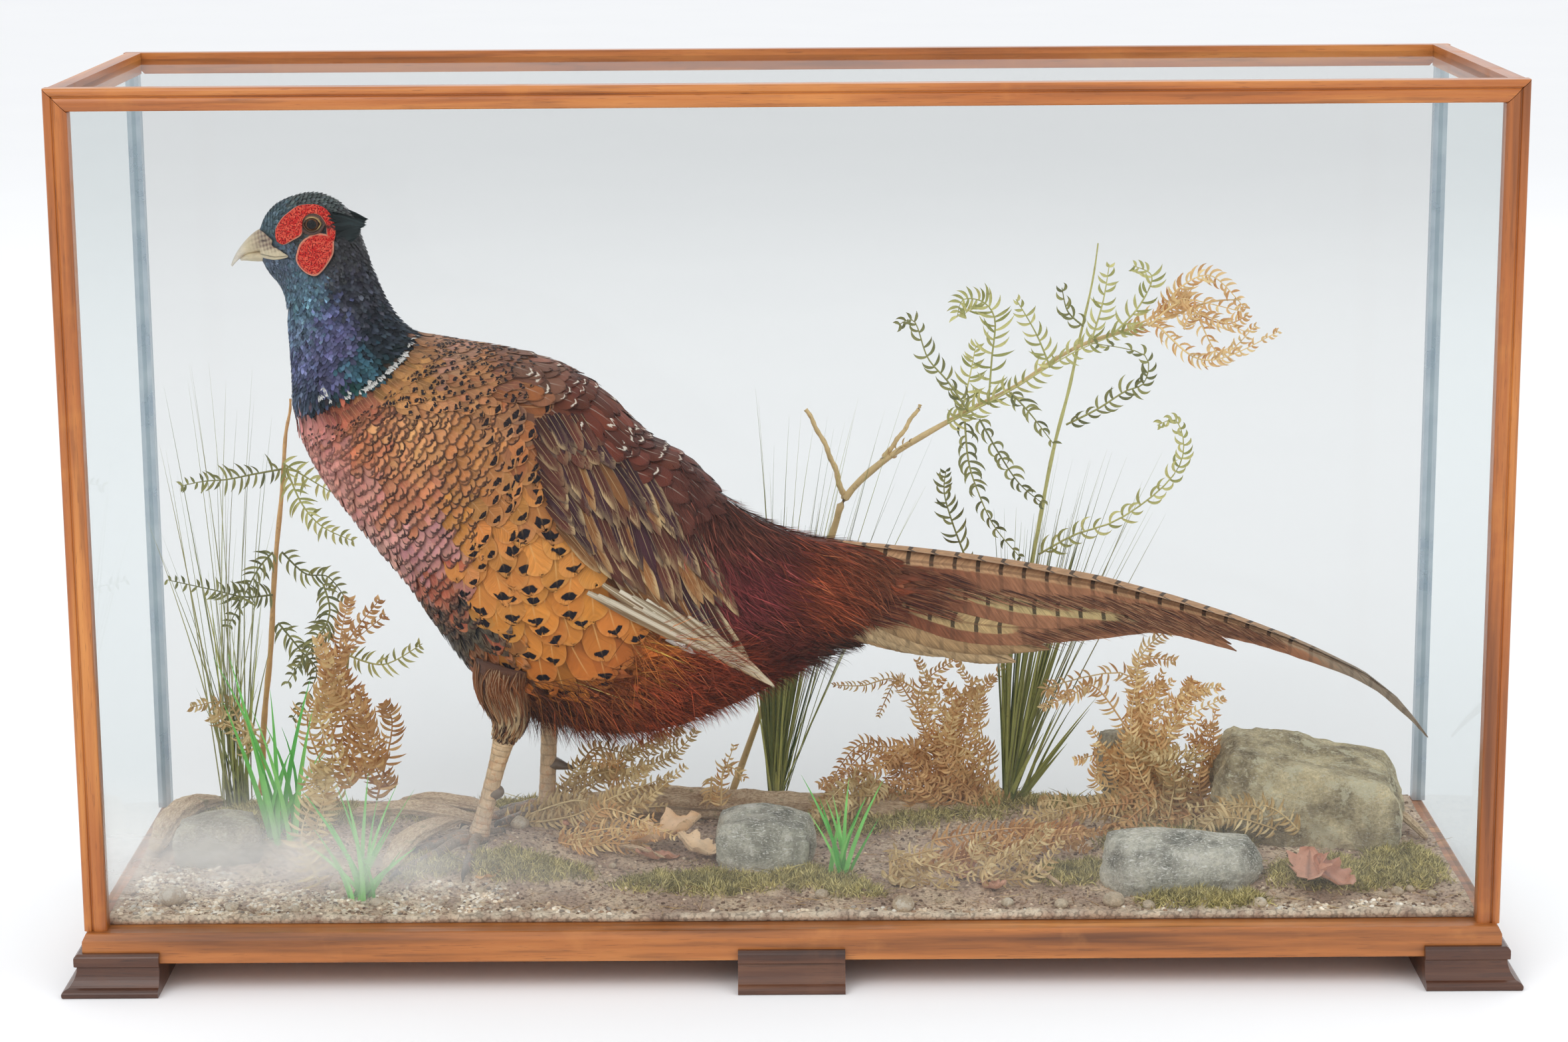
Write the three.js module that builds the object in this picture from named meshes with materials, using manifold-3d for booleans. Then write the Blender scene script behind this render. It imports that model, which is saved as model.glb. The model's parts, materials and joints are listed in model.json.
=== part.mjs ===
// A cock pheasant mounted in a glazed wooden display case, with the groundwork and plants fixed in it.
// Millimetres, +Z up, +X to the right along the case and +Y to its back.
// The origin is at the middle of the case, on the level of the undersides of its six feet.

import * as THREE from "three";
import { mergeVertices } from "three/addons/utils/BufferGeometryUtils.js";
import Module from "manifold-3d";

const wasm = await Module();
wasm.setup();

// ---- Driving dimensions: the case ----
const CASE_WIDTH = 900;
const CASE_DEPTH = 279;
const CASE_TOP = 572;
const FLOOR_TOP = 38;
const PLINTH_HEIGHT = 19;
const PLINTH_LEDGE = 8;
const PLINTH_CHAMFER = 4;
const CORNER_FOOT_INNER = 401;
const MIDDLE_FOOT_HALF = 34;
const FOOT_DEPTH = 62;
const RAIL_HEIGHT = 14;
const RAIL_DEPTH = 12;
const POST_WIDTH = 14.5;
const STRIP_WIDTH = 9;
const STRIP_DEPTH = 9;
const REED_RISE = 2;
const REED_STEPS = 4;
const UPPER_REED_END = 0.36;
const LOWER_REED_START = 0.4;
const GLASS = 3;
const GLASS_INSET = 3;
const BACK_GLASS_INSET = 2;
const GAP = 0.3;
const MITRE_GAP = 0.45;
const FACET_GAP = 1.6;
const WING_GAP = 2.8;
const WATTLE_GAP = 1.2;

// ---- Driving dimensions: the groundwork ----
const SOIL_DEPTH = 5;
const SOIL_MARGIN = 12.4;
const SOIL_COLUMNS = 19;
const SOIL_ROWS = 6;
const ROOT_SINK = 1.2;

// ---- Driving dimensions: the bird ----
const BIRD_X = -190;
const BIRD_Y = 14;
const BIRD_TURN = THREE.MathUtils.degToRad(3.5);
const EYE_RADIUS = 6.2;
const EYE_X = -118.3;
const EYE_Z = 472.4;
const EYE_SINK = 3.4;
const WING_THICKNESS = 4;
const WATTLE_THICKNESS = 1.6;
const TAIL_SHEET = 1.6;
const TAIL_COLUMNS = 9;
const TAIL_ROWS = 4;
const TAIL_SLOPE = 0.375;
const TAIL_SPLIT = 1.2;
const TAIL_SIDE_DROP = 9;
const SHANK_RADIUS = 5.7;
const SHANK_FOOT_RADIUS = 6.4;
const HOCK_RADIUS = 7;
const THIGH_RADII = [21, 14, 7];
const THIGH_BEND = 16;
const SPUR_HEIGHT = 28;
const TOE_RADIUS = 3.4;
const HALLUX_LENGTH = 20;
const HALLUX_SHARE = 0.7;
const KNUCKLE = [6, 6, 4.2];
const KNUCKLE_DROP = 4.6;
const TOE_DROP = 5;

// The body is a loft through these stations, from the root of the bill to the root of the tail. Each gives
// the point on the back and the point on the throat or belly (x along the bird, z above the floor), the
// half width, and how far up the section is widest, from 0 at the belly to 1 at the back.
const STATIONS = [
  { name: "bill_root", back: [-153.5, 468.5], belly: [-152.5, 446], half: 8.5, widest: 0.45 },
  { name: "forehead", back: [-147.7, 479], belly: [-149.9, 441.6], half: 12, widest: 0.45 },
  { name: "brow", back: [-138, 486.6], belly: [-146.7, 436.8], half: 15.5, widest: 0.48 },
  { name: "crown", back: [-119.4, 491.6], belly: [-142.2, 431], half: 18, widest: 0.5 },
  { name: "occiput", back: [-103.6, 487], belly: [-139, 423.5], half: 20, widest: 0.5 },
  { name: "nape", back: [-93.5, 476.5], belly: [-138, 414.8], half: 21.5, widest: 0.5 },
  { name: "upper_neck", back: [-87.5, 463], belly: [-137.6, 402.9], half: 23, widest: 0.5 },
  { name: "middle_neck", back: [-80, 440], belly: [-136.9, 385], half: 26, widest: 0.5 },
  { name: "lower_neck", back: [-69, 415], belly: [-136.4, 364], half: 32, widest: 0.5 },
  { name: "collar", back: [-54, 399], belly: [-135.8, 348], half: 41, widest: 0.5 },
  { name: "mantle", back: [-26.5, 391.5], belly: [-123.9, 311.4], half: 54, widest: 0.52 },
  { name: "shoulder", back: [9, 384.5], belly: [-96, 269], half: 64, widest: 0.55 },
  { name: "breast", back: [42.8, 372], belly: [-66, 230.5], half: 69, widest: 0.55 },
  { name: "keel", back: [66, 357], belly: [-45, 198], half: 71, widest: 0.55 },
  { name: "flank", back: [94.6, 328], belly: [-21.8, 167], half: 71, widest: 0.55 },
  { name: "thighs", back: [121, 311], belly: [11.5, 144], half: 68, widest: 0.52 },
  { name: "belly", back: [147.5, 285], belly: [46.9, 131.6], half: 63, widest: 0.5 },
  { name: "vent", back: [175.7, 267], belly: [96.1, 128.2], half: 54, widest: 0.5 },
  { name: "rump", back: [204, 256.5], belly: [150, 145.5], half: 42, widest: 0.52 },
  { name: "tail_root", back: [235.7, 250], belly: [199, 168], half: 31, widest: 0.55 },
  { name: "coverts", back: [268, 241], belly: [243, 181], half: 23, widest: 0.6 },
];
const HEAD_END = 5.6;
const NECK_END = 9.05;
const TRUNK_END = 17.3;
const PART_STEP = 0.05;
const LAST_STATION = STATIONS.length - 1;
const stationNumber = (name) => STATIONS.findIndex((at) => at.name === name);

// The lower and upper edges of the folded wing, from the shoulder to the tip, as seen from the side.
const WING_LOWER = [[21, 344], [24, 299], [33, 266], [54.5, 241], [95, 213], [134, 188], [171.7, 169.7]];
const WING_UPPER = [[23, 350], [44, 360], [70, 332], [103, 290], [136, 246], [160, 207], [173, 171]];

// The lower and upper edges of the bare red skin on the cheek and over the eye.
const WATTLE_LOWER = [[-141.5, 460], [-133, 459.5], [-128.5, 446], [-118, 439], [-108, 448], [-104, 464]];
const WATTLE_UPPER = [[-142, 466], [-137, 477], [-126, 484.5], [-115, 484], [-107, 477], [-103.5, 468]];

// The tail's ridge and its side sheets, from the root to the tip: x, height of the ridge, height of the
// lower edge and half width there.
const TAIL_SIDE = [
  { x: 238, ridge: 249, edge: 189, half: 27 },
  { x: 270, ridge: 246, edge: 188, half: 31 },
  { x: 310, ridge: 240, edge: 181, half: 32 },
  { x: 350, ridge: 233, edge: 174, half: 31 },
  { x: 400, ridge: 223, edge: 192, half: 22 },
  { x: 450, ridge: 209, edge: 191, half: 16 },
  { x: 492, ridge: 195, edge: 178, half: 10 },
];
const TAIL_MIDDLE = [
  { x: 238, ridge: 250.5, half: 17 },
  { x: 324, ridge: 238, half: 18 },
  { x: 381, ridge: 228, half: 17 },
  { x: 454, ridge: 207.5, half: 14 },
  { x: 524, ridge: 182.5, half: 10 },
  { x: 584, ridge: 153.5, half: 6.5 },
  { x: 617, ridge: 121.4, half: 2.6 },
  { x: 627, ridge: 107.5, half: 1.2 },
];

// ---- Colours and finishes ----
const finish = (color, roughness, metalness = 0) =>
  new THREE.MeshStandardMaterial({ color, roughness, metalness });
const PLINTH_WOOD = finish(0x9a5a2c, 0.4);
const RAIL_WOOD = finish(0xa8683a, 0.35);
const FOOT_WOOD = finish(0x6b4028, 0.5);
const ZINC = finish(0x9fb0ba, 0.4, 0.6);
const GLAZING = finish(0xe8f0f2, 0.05);
const SOIL = finish(0x8d7259, 0.95);
const STONE = finish(0x8a8a7e, 0.85);
const BARK = finish(0x77553b, 0.9);
const GREEN_BLACK = finish(0x10262a, 0.45);
const BLUE_NECK = finish(0x1b3a6b, 0.4);
const COPPER = finish(0xa8552a, 0.6);
const MAROON = finish(0x5e2a1e, 0.7);
const WING_BROWN = finish(0x7d5335, 0.65);
const TAIL_BUFF = finish(0xa87a4e, 0.65);
const RED_SKIN = finish(0xb5252a, 0.7);
const HORN = finish(0xb9ab8d, 0.4);
const LEG_HORN = finish(0x8f7c64, 0.5);
const AMBER = finish(0x5a2c08, 0.05);
const LEAF = finish(0x6f7a3a, 0.8);
const GRASS = finish(0x4fbf52, 0.6);

// ---- Making solids ----

/** A closed geometry from a list of points and triangles, turned so that its faces point out. */
function closedGeometry(points, triangles) {
  let volume = 0;
  for (const [a, b, c] of triangles) {
    volume += points[a].dot(new THREE.Vector3().crossVectors(points[b], points[c]));
  }
  const index = triangles.flatMap(([a, b, c]) => (volume > 0 ? [a, b, c] : [a, c, b]));
  return new THREE.BufferGeometry().setFromPoints(points).setIndex(index);
}

/** A closed loft through rings that all have the same number of points. */
function loft(rings) {
  const points = rings.flat();
  const sides = rings[0].length;
  const triangles = [];
  for (let i = 0; i < rings.length - 1; i += 1) {
    for (let j = 0; j < sides; j += 1) {
      const a = i * sides + j;
      const b = i * sides + ((j + 1) % sides);
      triangles.push([a, b, a + sides], [b, b + sides, a + sides]);
    }
  }
  for (const [first, turn] of [[0, 1], [(rings.length - 1) * sides, -1]]) {
    const ring = points.slice(first, first + sides);
    const middle = points.length;
    points.push(ring.reduce((sum, p) => sum.add(p), new THREE.Vector3()).divideScalar(sides));
    for (let j = 0; j < sides; j += 1) {
      const pair = [first + j, first + ((j + 1) % sides)];
      triangles.push(turn > 0 ? [middle, pair[1], pair[0]] : [middle, pair[0], pair[1]]);
    }
  }
  return closedGeometry(points, triangles);
}

/** A closed slab between two grids of points, each given as rows of equal length. */
function slab(outer, inner) {
  const rows = outer.length;
  const columns = outer[0].length;
  const border = [];
  for (let j = 0; j < columns; j += 1) border.push([0, j]);
  for (let i = 1; i < rows; i += 1) border.push([i, columns - 1]);
  for (let j = columns - 2; j >= 0; j -= 1) border.push([rows - 1, j]);
  for (let i = rows - 2; i > 0; i -= 1) border.push([i, 0]);
  const points = [...outer.flat(), ...inner.flat()];
  const half = rows * columns;
  const triangles = [];
  for (let i = 0; i < rows - 1; i += 1) {
    for (let j = 0; j < columns - 1; j += 1) {
      const a = i * columns + j;
      const b = a + 1;
      const c = a + columns;
      const d = c + 1;
      triangles.push([a, c, b], [b, c, d]);
      triangles.push([a + half, b + half, c + half], [b + half, d + half, c + half]);
    }
  }
  border.forEach(([i, j], k) => {
    const [m, n] = border[(k + 1) % border.length];
    const a = i * columns + j;
    const b = m * columns + n;
    triangles.push([a, b, b + half], [a, b + half, a + half]);
  });
  return closedGeometry(points, triangles);
}

/** The manifold-3d solid of a closed geometry. */
function solidOf(geometry) {
  const bare = geometry.clone();
  bare.deleteAttribute("normal");
  bare.deleteAttribute("uv");
  const merged = mergeVertices(bare, 1e-3);
  return new wasm.Manifold(
    new wasm.Mesh({
      numProp: 3,
      vertProperties: merged.attributes.position.array,
      triVerts: new Uint32Array(merged.index.array),
    }),
  );
}

/** The geometry of a manifold-3d solid. */
function geometryOf(solid) {
  const mesh = solid.getMesh();
  const position = new THREE.BufferAttribute(new Float32Array(mesh.vertProperties), 3);
  return new THREE.BufferGeometry()
    .setAttribute("position", position)
    .setIndex(new THREE.BufferAttribute(mesh.triVerts, 1));
}

/** Several closed geometries joined into one. */
function joined(geometries) {
  return geometryOf(geometries.map(solidOf).reduce((whole, next) => whole.add(next)));
}

/** The largest body of a geometry after the cutters are taken away from it. */
function cut(geometry, ...cutters) {
  const left = cutters.reduce((whole, cutter) => whole.subtract(solidOf(cutter)), solidOf(geometry));
  const bodies = left.decompose().sort((a, b) => b.volume() - a.volume());
  return geometryOf(bodies[0]);
}

/** A tapering tube along a smooth curve through the points, with one radius for each point. */
function taperedTube(points, radii, { sides = 6, steps = 8 } = {}) {
  const curve = new THREE.CatmullRomCurve3(points.map((p) => new THREE.Vector3(...p)));
  const frames = curve.computeFrenetFrames(steps, false);
  const rings = [];
  for (let i = 0; i <= steps; i += 1) {
    const place = (i / steps) * (radii.length - 1);
    const k = Math.min(Math.floor(place), radii.length - 2);
    const radius = THREE.MathUtils.lerp(radii[k], radii[k + 1], place - k);
    const centre = curve.getPointAt(i / steps);
    const ring = [];
    for (let j = 0; j < sides; j += 1) {
      const angle = (j / sides) * Math.PI * 2;
      ring.push(
        centre
          .clone()
          .addScaledVector(frames.normals[i], Math.cos(angle) * radius)
          .addScaledVector(frames.binormals[i], Math.sin(angle) * radius),
      );
    }
    rings.push(ring);
  }
  return loft(rings);
}

/** The point at share t, from 0 to 1, of a smooth line through points of two or three numbers. */
function along(points, t) {
  const place = t * (points.length - 1);
  const k = Math.min(Math.floor(place), points.length - 2);
  const f = place - k;
  const [a, b, c, d] = [k - 1, k, k + 1, k + 2].map(
    (i) => points[Math.min(Math.max(i, 0), points.length - 1)],
  );
  return b.map(
    (_, n) =>
      0.5 *
      (2 * b[n] +
        (c[n] - a[n]) * f +
        (2 * a[n] - 5 * b[n] + 4 * c[n] - d[n]) * f * f +
        (3 * b[n] - a[n] - 3 * c[n] + d[n]) * f * f * f),
  );
}

const SIDES = [["left", -1], ["right", 1]];
const range = (count) => Array.from({ length: count }, (_, i) => i);

const part = new THREE.Group();
const bird = new THREE.Group();
bird.position.set(BIRD_X, BIRD_Y, 0);
bird.rotation.z = BIRD_TURN;
part.add(bird);

/** Adds a named mesh to a group. */
function add(group, name, geometry, material) {
  const mesh = new THREE.Mesh(geometry, material);
  mesh.name = name;
  group.add(mesh);
}

// ---- The case ----

/** A block with a rectangular plan that changes with height, from [z, west, east, south, north] levels. */
function steppedBlock(levels) {
  return loft(
    levels.map(([z, west, east, south, north]) => [
      new THREE.Vector3(west, south, z),
      new THREE.Vector3(east, south, z),
      new THREE.Vector3(east, north, z),
      new THREE.Vector3(west, north, z),
    ]),
  );
}

/** The plinth board, grown on every side by a margin. */
function plinthShape(margin) {
  const x = CASE_WIDTH / 2 + margin;
  const y = CASE_DEPTH / 2 + PLINTH_LEDGE + margin;
  const bottom = FLOOR_TOP - PLINTH_HEIGHT - margin;
  const top = FLOOR_TOP + margin;
  const inset = PLINTH_CHAMFER;
  return steppedBlock([
    [bottom, -x, x, -y, y],
    [top - inset, -x, x, -y, y],
    [top, -x + inset / 2, x - inset / 2, -y + inset, y - inset],
  ]);
}

/** A moulded foot: a cove between a base fillet and a top bead, with the plinth's rebate cut from it. */
function caseFoot(east, north) {
  const profile = [
    [0, 11.5], [1.5, 12.2], [3.8, 11.8], [5.4, 9.6], [6, 8], [8, 6.6], [12, 4.4],
    [17.6, 3.2], [18.4, 4.4], [25, 4.4], [26.5, 2.8],
  ];
  const faceX = CASE_WIDTH / 2;
  const faceY = CASE_DEPTH / 2 + PLINTH_LEDGE;
  const levels = profile.map(([z, out]) => {
    const back = (faceY - FOOT_DEPTH) * north;
    const front = (faceY + out) * north;
    const [south, far] = [Math.min(back, front), Math.max(back, front)];
    if (east === 0) return [z, -MIDDLE_FOOT_HALF, MIDDLE_FOOT_HALF, south, far];
    const inner = CORNER_FOOT_INNER * east;
    const outer = (faceX + out) * east;
    return [z, Math.min(inner, outer), Math.max(inner, outer), south, far];
  });
  return cut(steppedBlock(levels), plinthShape(GAP));
}

/** The outline of the case moulding, as pairs of across and back: two reeds on the face, flat behind. */
function mouldingOutline(width, depth) {
  const outline = [[0, REED_RISE]];
  for (const [from, to] of [[0, width * UPPER_REED_END], [width * LOWER_REED_START, width]]) {
    for (const i of range(REED_STEPS + 1)) {
      const angle = Math.PI * (i / REED_STEPS);
      const across = (from + to) / 2 - Math.cos(angle) * (to - from) * 0.5;
      outline.push([across, REED_RISE - Math.sin(angle) * REED_RISE]);
    }
  }
  outline.push([width, depth], [0, depth]);
  return outline;
}

/** A length of moulding, cut square or mitred at its ends; place turns run, across and back into a point. */
function moulding(outline, length, mitres, place) {
  const rings = [-1, 1].map((end) =>
    outline.map(([across, back]) => {
      const short = mitres ? across : 0;
      return place(end * (length / 2 - short), across, back);
    }),
  );
  return loft(rings);
}

/** A front or back rail, mitred at its ends. */
function longRail(north) {
  return moulding(mouldingOutline(RAIL_HEIGHT, RAIL_DEPTH), CASE_WIDTH, true, (run, across, back) =>
    new THREE.Vector3(run, north * (CASE_DEPTH / 2 - back), CASE_TOP - across),
  );
}

/** A side rail, cut square between the front and back rails. */
function sideRail(east) {
  const length = CASE_DEPTH - 2 * RAIL_DEPTH - 2 * GAP;
  return moulding(mouldingOutline(RAIL_HEIGHT, RAIL_DEPTH), length, false, (run, across, back) =>
    new THREE.Vector3(east * (CASE_WIDTH / 2 - back), run, CASE_TOP - across),
  );
}

/** A front corner post, mitred into the front rail at its top. */
function cornerPost(east) {
  const outline = mouldingOutline(POST_WIDTH, RAIL_DEPTH);
  const foot = outline.map(([across, back]) => postPoint(east, across, back, FLOOR_TOP + GAP));
  const head = outline.map(([across, back]) =>
    postPoint(east, across, back, CASE_TOP - MITRE_GAP - across),
  );
  return loft([foot, head]);
}

const postPoint = (east, across, back, height) =>
  new THREE.Vector3(east * (CASE_WIDTH / 2 - across), back - CASE_DEPTH / 2, height);

/** A metal strip at a back corner. */
function cornerStrip(east) {
  const strip = new THREE.BoxGeometry(STRIP_WIDTH, STRIP_DEPTH, glassTop() - glassBottom());
  const x = east * (CASE_WIDTH / 2 - STRIP_WIDTH / 2);
  return strip.translate(x, CASE_DEPTH / 2 - STRIP_DEPTH / 2, (glassTop() + glassBottom()) / 2);
}

function buildCase() {
  add(part, "plinth", plinthShape(0), PLINTH_WOOD);
  for (const [row, north] of [["front", -1], ["back", 1]]) {
    for (const [side, east] of [["left", -1], ["middle", 0], ["right", 1]]) {
      add(part, `case_foot_${row}_${side}`, caseFoot(east, north), FOOT_WOOD);
    }
    add(part, `rail_${row}`, longRail(north), RAIL_WOOD);
  }
  for (const [side, east] of SIDES) {
    add(part, `rail_${side}`, sideRail(east), RAIL_WOOD);
    add(part, `post_front_${side}`, cornerPost(east), RAIL_WOOD);
    add(part, `strip_back_${side}`, cornerStrip(east), ZINC);
  }
  buildGlass();
}

const glassBottom = () => FLOOR_TOP + GAP;
const glassTop = () => CASE_TOP - RAIL_HEIGHT - GAP;

/** A sheet of glass between two corners. */
function pane(name, low, high) {
  const size = low.map((v, i) => high[i] - v);
  const sheet = new THREE.BoxGeometry(...size);
  sheet.translate(...low.map((v, i) => v + size[i] / 2));
  add(part, name, sheet, GLAZING);
}

function buildGlass() {
  const halfX = CASE_WIDTH / 2;
  const halfY = CASE_DEPTH / 2;
  const [bottom, top] = [glassBottom(), glassTop()];
  const front = -halfY + RAIL_DEPTH / 2;
  const back = halfY - BACK_GLASS_INSET;
  const side = halfX - GLASS_INSET;
  const behindPost = -halfY + RAIL_DEPTH + GAP;
  const beforeStrip = halfY - STRIP_DEPTH - GAP;
  const inPosts = halfX - POST_WIDTH - GAP;
  const inStrips = halfX - STRIP_WIDTH - GAP;
  pane("pane_front", [-inPosts, front - GLASS / 2, bottom], [inPosts, front + GLASS / 2, top]);
  pane("pane_back", [-inStrips, back - GLASS, bottom], [inStrips, back, top]);
  pane("pane_left", [-side, behindPost, bottom], [-side + GLASS, beforeStrip, top]);
  pane("pane_right", [side - GLASS, behindPost, bottom], [side, beforeStrip, top]);
  const lid = CASE_TOP - RAIL_HEIGHT / 2;
  const inRails = halfY - RAIL_DEPTH - GAP;
  const inSides = halfX - RAIL_DEPTH - GAP;
  pane("pane_top", [-inSides, -inRails, lid], [inSides, inRails, lid + GLASS]);
}

// ---- The groundwork ----

// Low mounds on the soil: middle x and y, height and radius.
const MOUNDS = [
  [-200, -20, 15, 80], [-345, 40, 15, 75], [-165, 45, 12, 70], [120, 60, 8, 90],
  [330, 20, 12, 100], [-60, 10, 6, 70], [230, -20, 6, 70],
];

/** The height of the soil above the floor. */
function soilHeight(x, y) {
  const swell = MOUNDS.reduce((sum, [mx, my, height, radius]) => {
    const away = ((x - mx) ** 2 + (y - my) ** 2) / (radius * radius);
    return sum + height * Math.exp(-2.2 * away);
  }, 0);
  const ripple = Math.sin(x * 0.045) * Math.cos(y * 0.06 + x * 0.01) * 1.2;
  return FLOOR_TOP + SOIL_DEPTH + swell + ripple;
}

/** The bed of soil, with its surface lifted by a margin. */
function soilBed(lift, bottom) {
  const halfX = CASE_WIDTH / 2 - SOIL_MARGIN;
  const halfY = CASE_DEPTH / 2 - SOIL_MARGIN;
  const grid = (height) =>
    range(SOIL_COLUMNS + 1).map((i) =>
      range(SOIL_ROWS + 1).map((j) => {
        const x = -halfX + (2 * halfX * i) / SOIL_COLUMNS;
        const y = -halfY + (2 * halfY * j) / SOIL_ROWS;
        return new THREE.Vector3(x, y, height(x, y));
      }),
    );
  return slab(grid((x, y) => soilHeight(x, y) + lift), grid(() => bottom));
}

// Each stone's middle, its size, how far it is turned, which dents it has and how much its top slopes.
const STONES = [
  { name: "stone_left", middle: [-386, -8, 56], size: [62, 46, 34], turn: 10, seed: 1, slope: 0 },
  { name: "stone_middle", middle: [-17, -22, 56], size: [72, 44, 44], turn: -4, seed: 2, slope: 0 },
  { name: "stone_slab", middle: [256, -72, 56], size: [100, 56, 44], turn: 3, seed: 3, slope: 0 },
  { name: "stone_small", middle: [238, 84, 80], size: [44, 38, 52], turn: 20, seed: 4, slope: 0 },
  { name: "rock_large", middle: [350, 30, 66], size: [120, 100, 84], turn: -6, seed: 5, slope: 0.2 },
];

// The pieces of wood that lie on the soil: points of the middle line, with the radii along it.
const WOOD = [
  {
    name: "log_back",
    line: [[-170, 90, 46], [-106, 82, 55], [-50, 80, 53], [4, 78, 51], [96, 70, 48], [160, 60, 45]],
    radii: [5, 11, 11, 11, 10, 6],
    sides: 7,
  },
  {
    name: "root_near",
    line: [[-300, 44, 60], [-265, 30, 68], [-235, 21, 67], [-212, 22, 60]],
    radii: [4, 5, 5, 3.5],
    sides: 6,
  },
];

/** A shape without what would stand in the soil. */
const planted = (geometry) => cut(geometry, soilBed(GAP, FLOOR_TOP - PLINTH_HEIGHT));

/** A weathered stone: a ball pulled to size, dented by a few waves and sloped, cut to sit on the soil. */
function stone({ middle, size, turn, seed, slope }) {
  const ball = mergeVertices(bareBall(2));
  const place = ball.attributes.position;
  const point = new THREE.Vector3();
  for (const i of range(place.count)) {
    point.fromBufferAttribute(place, i);
    const dent = 1 + 0.1 * Math.sin(point.x * 3.1 + seed) + 0.08 * Math.cos(point.y * 4.3 + seed * 2);
    const block = Math.max(Math.abs(point.x), Math.abs(point.y), Math.abs(point.z)) ** -0.55;
    point.multiplyScalar(dent * block);
    place.setXYZ(i, point.x, point.y, point.z);
  }
  ball.scale(...size.map((length) => length / 2));
  for (const i of range(place.count)) place.setZ(i, place.getZ(i) - slope * place.getX(i));
  ball.rotateZ(THREE.MathUtils.degToRad(turn));
  ball.translate(...middle);
  return planted(ball);
}

/** A ball of radius 1 that holds only its corners' positions. */
function bareBall(detail) {
  const ball = new THREE.IcosahedronGeometry(1, detail);
  ball.deleteAttribute("normal");
  ball.deleteAttribute("uv");
  return ball;
}

function buildGroundwork() {
  add(part, "ground", soilBed(0, FLOOR_TOP + GAP), SOIL);
  for (const each of STONES) add(part, each.name, stone(each), STONE);
  for (const { name, line, radii, sides } of WOOD) {
    add(part, name, planted(taperedTube(line, radii, { sides })), BARK);
  }
}

// ---- The bird's body ----

/** The section of the body at station number s. */
function section(s) {
  const rows = STATIONS.map((at) => [...at.back, ...at.belly, at.half, at.widest]);
  const [backX, backZ, bellyX, bellyZ, half, widest] = along(rows, s / LAST_STATION);
  return { back: [backX, backZ], belly: [bellyX, bellyZ], half, widest };
}

/** The point of the body's surface at station s and angle a, from 0 on the back, grown by a margin. */
function bodyPoint(s, angle, margin = 0) {
  const { back, belly, half, widest } = section(s);
  const length = Math.hypot(back[0] - belly[0], back[1] - belly[1]);
  const up = Math.cos(angle) > 0 ? 1 - widest : widest;
  const share = widest + Math.cos(angle) * (up + margin / length);
  return new THREE.Vector3(
    THREE.MathUtils.lerp(belly[0], back[0], share),
    Math.sin(angle) * (half + margin),
    THREE.MathUtils.lerp(belly[1], back[1], share),
  );
}

/** A length of the body between two station numbers, grown by a margin. */
function bodyLength(from, to, { steps, sides, margin = 0 }) {
  return loft(
    range(steps + 1).map((i) => {
      const s = THREE.MathUtils.lerp(from, to, i / steps);
      return range(sides).map((j) => bodyPoint(s, (j / sides) * Math.PI * 2, margin));
    }),
  );
}

/** The half width of the body where a line square to the side view meets it, at x and z. */
function bodyHalfWidth(x, z) {
  let [low, high] = [0, LAST_STATION];
  const side = (s) => {
    const { back, belly } = section(s);
    return (back[0] - belly[0]) * (z - belly[1]) - (back[1] - belly[1]) * (x - belly[0]);
  };
  for (let i = 0; i < 40; i += 1) {
    const middle = (low + high) / 2;
    if (side(middle) < 0) low = middle;
    else high = middle;
  }
  const { back, belly, half, widest } = section((low + high) / 2);
  const span = (back[0] - belly[0]) ** 2 + (back[1] - belly[1]) ** 2;
  const share =
    ((x - belly[0]) * (back[0] - belly[0]) + (z - belly[1]) * (back[1] - belly[1])) / span;
  const off = Math.min(Math.abs(share - widest) / (share > widest ? 1 - widest : widest), 1);
  return half * Math.sqrt(1 - off * off);
}

/** A pad that lies on one flank of the body, between a lower and an upper edge seen from the side. */
function bodyPad(lower, upper, side, { gap, thickness, columns, rows }) {
  const grid = (out) =>
    range(columns + 1).map((i) =>
      range(rows + 1).map((j) => {
        const [lowX, lowZ] = along(lower, i / columns);
        const [highX, highZ] = along(upper, i / columns);
        const x = THREE.MathUtils.lerp(lowX, highX, j / rows);
        const z = THREE.MathUtils.lerp(lowZ, highZ, j / rows);
        return new THREE.Vector3(x, side * (bodyHalfWidth(x, z) + out), z);
      }),
    );
  return slab(grid(gap + thickness), grid(gap));
}

/** The pointed tuft of feathers behind the ear, cut to lie on the neck. */
function earTuft(side) {
  const tuft = taperedTube(
    [[-99, side * 15, 470], [-92, side * 17, 473], [-83.5, side * 15, 474.5]],
    [5, 4.2, 0.5],
    { steps: 6 },
  );
  const form = { steps: 14, sides: 20, margin: GAP };
  return cut(tuft, bodyLength(stationNumber("brow"), stationNumber("collar"), form));
}

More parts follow.
